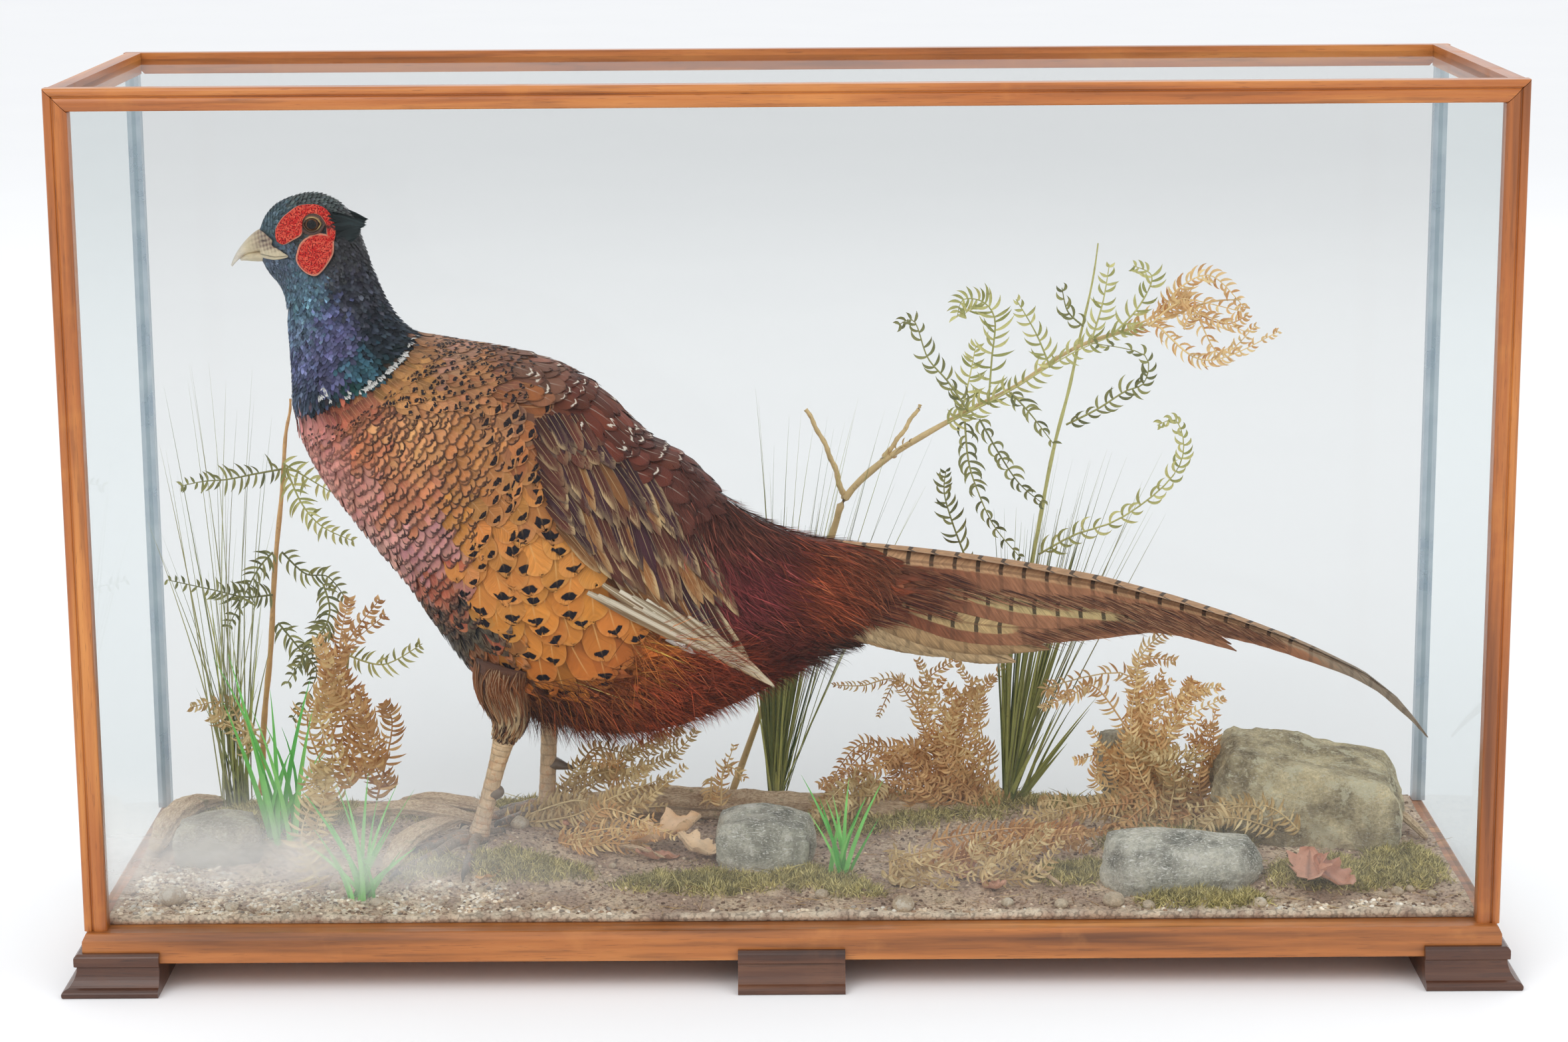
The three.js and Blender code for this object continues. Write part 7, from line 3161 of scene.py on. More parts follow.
        mark = np.stack([chance.uniform(0, 0.6, count), np.zeros(count), chance.uniform(0, 1, count)], 1)
        parts = MeshParts()
        place = np.stack([np.full(count, 15.0), np.sign(leg.root[1]) * chance.uniform(2.4, 3.0, count)], 1)
        coat.gather(points, vane_map, coat.unwrap(place), tint, mark, parts)
        finish = VaneFinish(
            "thigh_vane", Pattern.STREAK, srgb(60, 40, 34), srgb(196, 166, 130), 0.5, contrast=0.4, barbs=20,
        )
        kept(parts.build(f"thigh_feathers_{leg.name}", finish.material()), "feather_body")


class Tone(Enum):
    """The colours of the dried and dyed plants, each a dull and a bright one."""

    REED = (srgb(122, 128, 84), srgb(178, 176, 126))
    OLIVE = (srgb(104, 108, 68), srgb(164, 162, 100))
    LIME = (srgb(158, 160, 92), srgb(222, 216, 146))
    STRAW = (srgb(190, 154, 98), srgb(232, 208, 156))
    ORANGE = (srgb(214, 158, 98), srgb(252, 222, 162))
    RUST = (srgb(190, 134, 82), srgb(240, 196, 136))
    SEDGE = (srgb(72, 90, 46), srgb(196, 198, 116))
    DYED = (srgb(84, 182, 74), srgb(150, 228, 120))
    MOSS = (srgb(140, 130, 72), srgb(220, 204, 138))
    LEAF = (srgb(176, 112, 84), srgb(222, 170, 142))
    HUSK = (srgb(238, 196, 150), srgb(250, 224, 188))

    def pick(self, chance: np.random.Generator, count: int) -> Array:
        """Gives colours between the two."""
        share = chance.uniform(0, 1, (count, 1))
        return np.array(self.value[0]) * (1 - share) + np.array(self.value[1]) * share


@dataclass(frozen=True)
class LeafFinish:
    """Dried or dyed leaf: its own tint, fibres along it and brown blotches."""

    name: str
    roughness: float = 0.6
    blotch: float = 0.35

    def material(self) -> bpy.types.Material:
        """Makes the finish.

        Returns:
            The material.
        """
        shader = Shader(self.name)
        tint = shader.attribute("tint")
        across, along_it = shader.vane()
        fibre_place = shader.join(shader.times(across, 9.0), shader.times(along_it, 1.5), 0.0)
        fibres = shader.noise(1.0, fibre_place, 4.0)
        cloud = shader.noise(120.0, detail=4.0)
        level = shader.line(fibres, 0.5, shader.line(cloud, 0.5, 0.5))
        colour = shader.shade(tint, level)
        spots = shader.rise(shader.noise(420.0, detail=3.0), 0.58, 0.7)
        colour = shader.mix(shader.times(spots, self.blotch), colour, srgb(92, 62, 38))
        shader.relief(fibres, 0.0002, 0.7)
        return shader.finish(colour, self.roughness, Sheen_Weight=0.1)


def blades(
    parts: MeshParts,
    paths: Array,
    half: Array,
    facing: Array,
    tint: Array,
    fold: float = 0.3,
    columns: int = 2,
) -> None:
    """Adds thin blades.

    Args:
        parts: The mesh to add them to.
        paths: The points of each blade's middle line, in millimetres.
        half: The half width at each of those points.
        facing: The way each blade faces.
        tint: A colour for each blade.
        fold: How far a blade folds along its middle, in shares of its half width.
        columns: How many strips it has across.
    """
    count, rows = paths.shape[:2]
    ways = unit(np.gradient(paths, axis=1))
    side = unit(np.cross(ways, facing[:, None]))
    upright = np.cross(side, ways)
    u = np.linspace(-1, 1, columns + 1)
    wide = half[..., None, None] * u[:, None]
    points = paths[:, :, None] + side[:, :, None] * wide + upright[:, :, None] * np.abs(wide) * fold
    size = rows * (columns + 1)
    faces = grid_faces(rows, columns + 1)[None] + (np.arange(count) * size)[:, None, None]
    v = np.linspace(0, 1, rows)
    vane = np.stack(np.broadcast_arrays(0.5 + 0.5 * u, v[:, None]), -1)
    vane = np.broadcast_to(vane[None], (count, rows, columns + 1, 2))
    parts.add(points * MM, faces.reshape(-1, 4), vane=vane, tint=np.repeat(tint, size, 0))


@dataclass(frozen=True)
class Frond:
    """A spray of bracken: the line of its stalk, and how its leaflets stand on it."""

    path: tuple[Point, ...]
    reach: float
    tone: Tone
    step: float = 4.5
    curl: float = 1.3
    copies: int = 1
    stalk: float = 0.8
    spread: float = 0.2


@dataclass(frozen=True)
class Clump:
    """A clump of narrow leaves that fan out from one place."""

    base: tuple[float, float]
    tips: tuple[float, float, float, float]
    count: int
    half: float
    tone: Tone
    bend: float = 8.0
    depth: float = 16.0
    foot: float = 7.0


@dataclass(frozen=True)
class Stem:
    """A stem: its name, its middle line, the radius at each point of that, and its colours."""

    name: str
    path: tuple[Point, ...]
    radii: tuple[float, ...]
    tone: Tone


@dataclass
class Plants:
    """The plants fixed in the case: reeds, sedges, bracken and dyed grass."""

    bed: Bed
    reeds: tuple[Clump, ...] = (
        Clump((-386, 84), (-440, -350, 240, 372), 26, 0.5, Tone.REED, 10, 14, 11),
        Clump((-384, 82), (-412, -360, 120, 250), 26, 0.7, Tone.SEDGE, 8, 12, 9),
    )
    sedges: tuple[tuple[str, tuple[Clump, ...]], ...] = (
        (
            "sedge_middle",
            (
                Clump((-12, 100), (-34, 28, 172, 268), 70, 0.85, Tone.SEDGE, 3, 9, 2.6),
                Clump((-11, 100), (-26, 100, 262, 342), 26, 0.45, Tone.SEDGE, 9, 14, 4),
            ),
        ),
        (
            "sedge_right",
            (
                Clump((151, 100), (140, 208, 165, 262), 66, 0.85, Tone.SEDGE, 3, 9, 3),
                Clump((152, 100), (176, 262, 240, 300), 22, 0.45, Tone.REED, 9, 14, 5),
                Clump((156, 96), (168, 214, 84, 140), 9, 1.4, Tone.SEDGE, 7, 10, 6),
            ),
        ),
    )
    grasses: tuple[tuple[str, Clump], ...] = (
        ("grass_left", Clump((-344, 6), (-386, -310, 100, 186), 15, 1.9, Tone.DYED, 12, 16, 10)),
        ("grass_near", Clump((-279, -92), (-322, -236, 76, 140), 15, 1.8, Tone.DYED, 9, 14, 9)),
        ("grass_middle", Clump((31, -56), (6, 64, 70, 128), 12, 1.6, Tone.DYED, 7, 12, 7)),
    )
    stems: tuple[Stem, ...] = (
        Stem(
            "bracken_stem_left", ((-374, 108, 54), (-363, 106, 158), (-348, 103, 292), (-341, 102, 338)),
            (2.2, 2.0, 1.5, 0.8), Tone.RUST,
        ),
        Stem(
            "bracken_stem_back",
            ((-44, 114, 46), (-14, 116, 130), (28, 116, 232), (38, 114, 263), (64, 113, 289), (109, 112, 317),
             (154, 112, 341), (198, 111, 369), (253, 104, 388), (285, 100, 401), (308, 98, 403)),
            (2.4, 2.4, 2.4, 2.6, 2.3, 1.9, 1.6, 1.4, 1.0, 0.7, 0.4), Tone.STRAW,
        ),
        Stem(
            "bracken_fork_left", ((38, 115, 263), (28, 115, 294), (12, 115, 326)),
            (2.2, 1.8, 1.5), Tone.STRAW,
        ),
        Stem(
            "bracken_fork_right", ((62, 113, 288), (76, 116, 306), (91, 119, 328)),
            (1.8, 1.6, 1.3), Tone.STRAW,
        ),
        Stem(
            "fern_stem_green",
            ((152, 120, 50), (165, 119, 192), (184, 117, 300), (200, 115, 372), (212, 114, 440)),
            (1.7, 1.6, 1.3, 1.0, 0.5), Tone.LIME,
        ),
    )
    fronds: tuple[tuple[str, tuple[Frond, ...]], ...] = (
        (
            "bracken_back",
            (
                Frond(
                    ((124, 112, 216), (113, 110, 246), (107, 108, 268), (108, 106, 284)),
                    13, Tone.OLIVE, 5.4, 1.4,
                ),
                Frond(
                    ((121, 108, 318), (123, 106, 294), (128, 104, 275), (141, 102, 246), (160, 101, 223)),
                    13, Tone.OLIVE, 6.4, 2.4,
                ),
                Frond(
                    ((131, 106, 320), (144, 104, 297), (158, 102, 276), (174, 101, 262)),
                    13, Tone.OLIVE, 6.4, 2.6,
                ),
                Frond(((152, 104, 339), (165, 102, 325), (182, 100, 303)), 13, Tone.OLIVE, 6.4, 2.4),
                Frond(
                    (
                        (172, 100, 226), (196, 98, 240), (224, 96, 250), (251, 95, 269), (267, 94, 288),
                        (270, 94, 306), (264, 94, 321), (252, 95, 317),
                    ),
                    13, Tone.LIME, 6.4, 2.3,
                ),
                Frond(
                    (
                        (190, 100, 317), (211, 98, 328), (229, 97, 340), (243, 96, 347), (242, 96, 366),
                        (206, 97, 374),
                    ),
                    13, Tone.OLIVE, 6.4, 2,
                ),
                Frond(
                    ((123, 104, 326), (109, 102, 347), (95, 101, 364), (86, 100, 389), (75, 99, 387)),
                    13, Tone.OLIVE, 6.4, 1.8,
                ),
                Frond(
                    (
                        (137, 106, 330), (139, 104, 362), (141, 102, 389), (133, 100, 402), (119, 99, 404),
                        (115, 99, 392),
                    ),
                    16, Tone.LIME, 4.6, 1.1,
                ),
                Frond(((118, 106, 322), (124, 104, 350), (128, 102, 372)), 14, Tone.LIME, 4.6, 1.1),
                Frond(((179, 104, 356), (169, 102, 380), (155, 100, 404)), 13, Tone.LIME, 5.4, 1.4),
                Frond(
                    ((109, 108, 317), (150, 106, 339), (198, 104, 368), (240, 102, 384)),
                    13, Tone.LIME, 5.4, 1.4,
                ),
                Frond(((201, 100, 385), (190, 98, 396), (186, 97, 412)), 13, Tone.OLIVE, 6.4, 2.2),
                Frond(
                    ((222, 100, 380), (238, 98, 398), (247, 97, 419), (234, 96, 427)),
                    13, Tone.LIME, 5.4, 1.4,
                ),
                Frond(((207, 100, 376), (214, 98, 402), (218, 97, 428)), 13, Tone.LIME, 5.4, 1.4),
                Frond(
                    ((240, 100, 385), (267, 98, 406), (283, 97, 413), (307, 96, 404)),
                    12, Tone.ORANGE, 3.6, 1.8, 2,
                ),
                Frond(
                    ((248, 98, 388), (272, 97, 381), (298, 96, 370), (321, 95, 383)),
                    10, Tone.ORANGE, 3.6, 1.8, 2,
                ),
                Frond(((262, 98, 390), (286, 97, 398), (309, 96, 392)), 10, Tone.ORANGE, 3.6, 1.8, 2),
                Frond(((70, 112, 292), (76, 110, 300), (84, 109, 304)), 7, Tone.STRAW, 5.0, 2.0),
            ),
        ),
        (
            "bracken_left",
            (
                Frond(
                    ((-349, 101, 289), (-369, 98, 286), (-386, 96, 283), (-402, 95, 282), (-418, 94, 279)),
                    12, Tone.OLIVE, 4.4, 0.8,
                ),
                Frond(
                    ((-358, 98, 201), (-377, 96, 200), (-397, 95, 205), (-430, 94, 213)),
                    12, Tone.OLIVE, 4.4, 0.7,
                ),
                Frond(((-348, 101, 293), (-332, 98, 284), (-315, 95, 274)), 14, Tone.LIME, 4.4, 0.9),
                Frond(
                    ((-346, 101, 290), (-336, 98, 266), (-322, 95, 250), (-300, 92, 240)),
                    14, Tone.LIME, 4.4, 1,
                ),
                Frond(
                    ((-351, 100, 231), (-335, 98, 216), (-319, 96, 214), (-307, 94, 199)),
                    12, Tone.OLIVE, 4.4, 1.2,
                ),
                Frond(
                    ((-357, 99, 231), (-367, 97, 220), (-378, 95, 200), (-390, 94, 178)),
                    12, Tone.OLIVE, 4.4, 1,
                ),
                Frond(
                    ((-355, 98, 181), (-340, 96, 162), (-329, 94, 145), (-347, 93, 113)),
                    12, Tone.OLIVE, 4.4, 1.2,
                ),
                Frond(
                    ((-322, 92, 210), (-318, 90, 190), (-328, 88, 168), (-345, 86, 150)),
                    13, Tone.OLIVE, 4.4, 1.3,
                ),
                Frond(((-306, 88, 160), (-281, 86, 154), (-254, 84, 169)), 12, Tone.LIME, 4.4, 0.9),
                Frond(
                    ((-298, 84, 70), (-300, 82, 118), (-306, 80, 160), (-286, 78, 190)),
                    13, Tone.RUST, 3.4, 1.4, 3,
                ),
                Frond(
                    ((-306, 78, 66), (-316, 76, 108), (-322, 74, 142), (-312, 72, 176)),
                    13, Tone.ORANGE, 3.4, 1.5, 3,
                ),
                Frond(((-292, 80, 60), (-282, 78, 104), (-286, 76, 142)), 13, Tone.RUST, 3.4, 1.5, 3),
                Frond(((-319, 84, 184), (-328, 82, 172), (-348, 80, 142)), 12, Tone.OLIVE, 4.4, 1.4),
                Frond(((-372, 60, 108), (-388, 58, 123), (-406, 56, 131)), 11, Tone.STRAW, 3.4, 1.4, 3),
                Frond(
                    ((-316, -58, 58), (-318, -56, 86), (-308, -52, 112), (-298, -48, 128)),
                    13, Tone.STRAW, 3.4, 0.5, 3,
                ),
            ),
        ),
        (
            "bracken_dry_middle",
            (
                Frond(
                    ((130, 96, 48), (111, 92, 87), (105, 90, 126), (105, 89, 141)),
                    10, Tone.ORANGE, 3.3, 1.4, 6,
                ),
                Frond(
                    ((130, 96, 50), (120, 86, 78), (118, 84, 110), (122, 82, 134)),
                    10, Tone.ORANGE, 3.3, 1.5, 6,
                ),
                Frond(((130, 92, 52), (89, 84, 74), (68, 80, 85), (23, 76, 62)), 10, Tone.RUST, 3.3, 1.3, 6),
                Frond(((126, 92, 50), (102, 80, 62), (84, 76, 70), (58, 72, 60)), 10, Tone.RUST, 3.3, 1.4, 6),
                Frond(((128, 90, 52), (106, 76, 78), (92, 70, 92)), 10, Tone.RUST, 3.3, 1.4, 6),
                Frond(
                    ((111, 96, 103), (86, 94, 132), (58, 92, 127), (38, 91, 126)),
                    7, Tone.ORANGE, 3.3, 1.4, 2,
                ),
                Frond(((121, 96, 86), (127, 94, 112), (143, 92, 139)), 9, Tone.ORANGE, 3.3, 1.2, 2),
                Frond(((60, 70, 58), (44, 62, 66), (30, 54, 60), (16, 50, 52)), 10, Tone.STRAW, 3.3, 1.2, 6),
            ),
        ),
        (
            "bracken_dry_right",
            (
                Frond(
                    ((272, 45, 56), (250, 43, 88), (264, 41, 128), (279, 40, 143)),
                    10, Tone.ORANGE, 3.3, 1.3, 6,
                ),
                Frond(
                    ((270, 48, 56), (242, 50, 84), (240, 50, 120), (246, 50, 150)),
                    10, Tone.ORANGE, 3.3, 1.4, 6,
                ),
                Frond(
                    ((268, 40, 60), (238, 30, 70), (206, 26, 72), (162, 22, 60)),
                    10, Tone.STRAW, 3.3, 0.7, 6,
                ),
                Frond(
                    ((252, 60, 71), (232, 58, 117), (212, 56, 147), (190, 54, 142), (183, 54, 122)),
                    10, Tone.ORANGE, 3.3, 1, 2,
                ),
                Frond(((257, 55, 98), (242, 53, 148), (263, 52, 165)), 10, Tone.ORANGE, 3.3, 1, 2),
                Frond(((262, 36, 62), (252, 28, 96), (236, 24, 112)), 10, Tone.STRAW, 3.3, 0.9, 6),
                Frond(((274, 40, 60), (284, 38, 88), (280, 36, 118)), 10, Tone.RUST, 3.3, 1.3, 6),
                Frond(((264, 50, 58), (226, 46, 82), (206, 44, 100)), 10, Tone.ORANGE, 3.3, 1.3, 6),
                Frond(((330, -12, 62), (302, -14, 76), (270, -12, 64)), 10, Tone.STRAW, 3.3, 0.8, 6),
                Frond(((268, 30, 58), (240, 20, 64), (214, 12, 60)), 10, Tone.RUST, 3.3, 1.2, 6),
            ),
        ),
        (
            "bracken_dry_front",
            (
                Frond(((92, -38, 50), (150, -34, 66), (200, -30, 68)), 10, Tone.RUST, 3.3, 1.2, 6),
                Frond(((120, -62, 48), (140, -66, 62), (168, -64, 70)), 10, Tone.STRAW, 3.3, 1.6, 6),
                Frond(((70, -70, 50), (86, -78, 62), (100, -84, 52)), 10, Tone.STRAW, 3.3, 1.4, 6),
                Frond(
                    ((-186, 20, 56), (-150, 16, 70), (-112, 12, 80), (-84, 8, 92)),
                    10, Tone.STRAW, 3.3, 0.9, 6,
                ),
                Frond(
                    ((-170, 40, 58), (-136, 38, 84), (-104, 36, 98), (-76, 34, 112)),
                    10, Tone.STRAW, 3.3, 1.1, 6,
                ),
                Frond(((-150, -6, 52), (-122, -10, 60), (-92, -14, 56)), 10, Tone.ORANGE, 3.3, 1.2, 6),
                Frond(((-120, 40, 60), (-122, 38, 92), (-136, 37, 108)), 9, Tone.ORANGE, 3.3, 1.3, 2),
                Frond(((-60, 60, 60), (-56, 58, 84), (-40, 56, 98)), 9, Tone.ORANGE, 3.3, 1.3, 2),
            ),
        ),
    )

    def build(self) -> None:
        """Builds every plant."""
        dried, dyed = LeafFinish("dried_leaf").material(), LeafFinish("dyed_leaf", 0.45, 0.05).material()
        parts = MeshParts()
        for number, clump in enumerate(self.reeds):
            self.clump(parts, clump, 80 + number)
        kept(parts.build("reed_leaves", dried), "dried_leaf", "reeds_left")
        for number, (node, clumps) in enumerate(self.sedges):
            parts = MeshParts()
            for step, clump in enumerate(clumps):
                self.clump(parts, clump, 90 + 5 * number + step)
            kept(parts.build(f"{node}_leaves", dried), "dried_leaf", node)
        for number, (node, clump) in enumerate(self.grasses):
            parts = MeshParts()
            self.clump(parts, clump, 110 + number)
            kept(parts.build(f"{node}_leaves", dyed), "dyed_grass", node)
        for stem in self.stems:
            self.stem(stem, dried)
        for number, (name, fronds) in enumerate(self.fronds):
            parts = MeshParts()
            for step, frond in enumerate(fronds):
                for copy in range(frond.copies):
                    self.frond(parts, frond, 200 + 40 * number + step + 1000 * copy)
            nodes = (name,) if name in ("bracken_back", "bracken_left") else ()
            kept(parts.build(f"{name}_leaflets", dried), "dried_leaf", *nodes)

    def clump(self, parts: MeshParts, clump: Clump, seed: int) -> None:
        """Adds a clump of narrow leaves.

        Args:
            parts: The mesh to add it to.
            clump: The clump.
            seed: The seed of what varies from leaf to leaf.
        """
        chance = np.random.default_rng(seed)
        count = clump.count
        low_x, high_x, low_z, high_z = clump.tips
        turn, far = chance.uniform(0, TAU, count), clump.foot * np.sqrt(chance.uniform(0, 1, count))
        x0, y0 = clump.base[0] + far * np.cos(turn), clump.base[1] + 0.7 * far * np.sin(turn)
        z0 = self.bed.height(x0, y0) - 2
        share = (np.arange(count) + chance.uniform(0, 1, count)) / count
        x1 = low_x + (high_x - low_x) * share
        y1 = np.clip(y0 + chance.normal(0, clump.depth, count), -116, 120)
        z1 = chance.uniform(low_z, high_z, count)
        t = np.linspace(0, 1, 9)[None, :, None]
        base, tip = np.stack([x0, y0, z0], 1)[:, None], np.stack([x1, y1, z1], 1)[:, None]
        lean = np.sign(x1 - x0)[:, None, None] * np.array([1.0, 0.2, 0.0])
        bow = clump.bend * chance.uniform(0.2, 1.2, (count, 1, 1)) * (t**2 - t) * lean
        paths = base + (tip - base) * t + bow * 1.6
        half = clump.half * chance.uniform(0.7, 1.2, (count, 1)) * np.maximum(1 - t[..., 0] ** 2.2, 0.05)
        facing = np.stack([chance.normal(0, 0.5, count), -np.ones(count), chance.normal(0, 0.2, count)], 1)
        blades(parts, paths, half, facing, clump.tone.pick(chance, count), 0.35)

    def stem(self, stem: Stem, finish: bpy.types.Material) -> None:
        """Builds one stem, a little knotted along its way.

        Args:
            stem: The stem.
            finish: Its material.
        """
        share = np.linspace(0, 1, 44)
        line = along(np.array(stem.path, float), share)
        wide = along(np.array(stem.radii, float)[:, None], share)[:, 0] * (1 + 0.1 * np.sin(share * 71.0))
        line = line + 0.5 * np.stack([np.sin(share * 23), np.cos(share * 17), 0 * share], 1)
        parts = MeshParts()
        tone = stem.tone.pick(np.random.default_rng(7), 1)[0]
        tube(line * MM, wide * MM, 9, parts, tint=tone)
        nodes = ("stem_green",) if stem.name == "fern_stem_green" else ()
        kept(parts.build(stem.name, finish), "dried_leaf", *nodes)

    def frond(self, parts: MeshParts, frond: Frond, seed: int) -> None:
        """Adds one frond: its stalk and its curling leaflets.

        Args:
            parts: The mesh to add it to.
            frond: The frond.
            seed: The seed of what varies from leaflet to leaflet.
        """
        chance = np.random.default_rng(seed)
        path = np.array(frond.path, float)
        if frond.copies > 1:
            path = path + chance.normal(0, 1, path.shape) * np.array([9.0, 9.0, 8.0])
            path[:, 2] = np.maximum(path[:, 2], self.bed.height(path[:, 0], path[:, 1]) + 1)
        length = np.linalg.norm(np.diff(path, axis=0), axis=1).sum()
        pairs = max(int(length / frond.step), 4)
        share = np.linspace(0, 1, 20)
        tone = frond.tone.pick(chance, 1)[0]
        tube(along(path, share) * MM, np.linspace(frond.stalk, 0.3, 20) * MM, 5, parts, tint=tone)
        at = np.repeat((np.arange(pairs) + 0.5) / pairs, 2)
        count = len(at)
        side = np.tile([1.0, -1.0], pairs)
        base = along(path, np.clip(at + chance.normal(0, 0.2, count) / pairs, 0, 1))
        ahead = unit(along(path, np.clip(at + 0.02, 0, 1)) - along(path, np.clip(at - 0.02, 0, 1)))
        plane = unit(np.array([0.0, -1.0, 0.0]) + chance.normal(0, frond.spread, (count, 3)))
        across = unit(np.cross(plane, ahead)) * side[:, None]
        taper = np.sin(np.clip(0.2 + 0.8 * (1 - at), 0, 1) * math.pi * 0.62)
        reach = frond.reach * taper * chance.uniform(0.75, 1.15, count)
        lean = np.radians(chance.normal(78, 9, count))
        curl = frond.curl * chance.uniform(0.5, 1.2, count)
        rows = 6 if frond.copies > 1 else 8
        v = np.linspace(0, 1, rows)
        turn = lean[:, None] - curl[:, None] * v
        step = (reach / (rows - 1))[:, None, None]
        ways = ahead[:, None] * np.cos(turn)[..., None] + across[:, None] * np.sin(turn)[..., None]
        ways = ways + plane[:, None] * (0.3 * np.sin(v * 3 + side[:, None]))[..., None]
        walk = np.concatenate([np.zeros((count, 1, 3)), np.cumsum(ways[:, :-1] * step, 1)], 1)
        paths = base[:, None] + walk
        paths[..., 1] = np.clip(paths[..., 1], -120, 121)
        half = np.broadcast_to(0.45 + 0.5 * np.sin(v * math.pi), (count, rows)) * min(frond.reach / 11, 1.2)
        half = half * np.maximum(1 - v**4, 0.08)
        blades(parts, paths, half, plane, frond.tone.pick(chance, count), 0.4, 1 if frond.copies > 1 else 2)


@dataclass(frozen=True)
class SoilFinish:
    """Soil and sand: its own tint, broken up by grains, dark crumbs and pale patches."""

    name: str = "soil_surface"

    def material(self) -> bpy.types.Material:
        """Makes the finish.

        Returns:
            The material.
        """
        shader = Shader(self.name)
        tint = shader.attribute("tint")
        cloud = shader.noise(38.0, detail=6.0, rough=0.62)
        grain = shader.noise(700.0, detail=4.0, rough=0.6)
        level = shader.line(cloud, 0.9, shader.line(grain, 0.8, 0.12))
        colour = shader.shade(tint, level)
        crumb = shader.cells(420.0).outputs["Distance"]
        colour = shader.mix(shader.times(shader.rise(crumb, 0.5, 0.75), 0.45), colour, srgb(66, 50, 40))
        pale = shader.rise(shader.noise(260.0, detail=3.0), 0.64, 0.7)
        colour = shader.mix(shader.times(pale, 0.4), colour, srgb(206, 190, 164))
        shader.relief(cloud, 0.002, 0.5)
        shader.relief(grain, 0.0007, 0.9)
        shader.relief(crumb, 0.0006, 0.6)
        return shader.finish(colour, 0.92)


@dataclass(frozen=True)
class StoneFinish:
    """Stone with clouds of two colours, pale patches of lichen and fine scratches."""

    name: str
    low: Colour
    high: Colour
    lichen: Colour
    cover: float = 0.3
    scratches: float = 0.3

    def material(self) -> bpy.types.Material:
        """Makes the finish.

        Returns:
            The material.
        """
        shader = Shader(self.name)
        cloud = shader.noise(34.0, detail=9.0, rough=0.68)
        middle = shader.noise(130.0, detail=6.0, rough=0.7)
        fine = shader.noise(520.0, detail=5.0, rough=0.7)
        colour = shader.ramp(cloud, (0.36, self.low), (0.62, self.high))
        level = shader.line(fine, 1.0, shader.line(middle, 0.9, 0.05))
        colour = shader.shade(colour, level)
        edge = 0.66 - 0.24 * self.cover
        patch = shader.rise(shader.noise(70.0, detail=9.0, rough=0.75), edge, edge + 0.05)
        colour = shader.mix(shader.times(patch, 0.75), colour, self.lichen)
        swirl = shader.noise(30.0, shader.stretch(shader.place(), (1.0, 2.0, 4.0)), 3.0)
        line = shader.sum("ABSOLUTE", shader.minus(shader.sum("FRACT", shader.times(swirl, 16.0)), 0.5))
        scratch = shader.times(shader.rise(line, 0.13, 0.04), shader.rise(fine, 0.4, 0.55))
        colour = shader.mix(shader.times(scratch, self.scratches), colour, srgb(240, 238, 230))
        shader.relief(cloud, 0.005, 0.7)
        shader.relief(middle, 0.0022, 0.9)
        shader.relief(fine, 0.0006, 0.8)
        return shader.finish(colour, 0.8)


@dataclass(frozen=True)
class BitFinish:
    """Scattered bits: each takes its own colour from a row of colours by chance."""

    name: str
    stops: tuple[tuple[float, Colour], ...]
    roughness: float = 0.85
    scale: float = 600.0

    def material(self) -> bpy.types.Material:
        """Makes the finish.

        Returns:
            The material.
        """
        shader = Shader(self.name)
        colour = shader.ramp(shader.attribute("chance", "Fac"), *self.stops)
        fine = shader.noise(self.scale, detail=4.0)
        clump = shader.noise(75.0, detail=2.0)
        level = shader.line(fine, 0.9, shader.line(clump, 1.6, -0.22))
        colour = shader.shade(colour, level)
        shader.relief(fine, 0.0003, 0.7)
        return shader.finish(colour, self.roughness)


@dataclass(frozen=True)
class BarkFinish:
    """Bark or weathered wood with grain along the Vane map, cracks and patches of moss."""

    name: str
    low: Colour
    high: Colour

    def material(self) -> bpy.types.Material:
        """Makes the finish.

        Returns:
            The material.
        """
        shader = Shader(self.name)
        across, along_it = shader.vane()
        place = shader.join(shader.times(across, 14.0), shader.times(along_it, 7.0), 0.0)
        grain = shader.noise(1.6, place, 6.0, 0.6)
        cloud = shader.noise(60.0, detail=5.0)
        colour = shader.ramp(
            shader.line(grain, 0.65, shader.times(cloud, 0.35)), (0.36, self.low), (0.62, self.high),
        )
        crack = shader.rise(shader.noise(3.4, place, 3.0), 0.42, 0.34)
        colour = shader.mix(shader.times(crack, 0.6), colour, srgb(70, 50, 36))
        moss = shader.times(shader.rise(shader.noise(90.0, detail=5.0), 0.6, 0.68), 0.5)
        colour = shader.mix(moss, colour, srgb(132, 134, 92))
        shader.relief(grain, 0.0018, 0.8)
        shader.relief(cloud, 0.001, 0.5)
        return shader.finish(colour, 0.85)


class Bit(Enum):
    """The shapes that Geometry Nodes scatters over the soil."""

    LUMP = "lump"
    NEEDLE = "needle"
    SPRIG = "sprig"


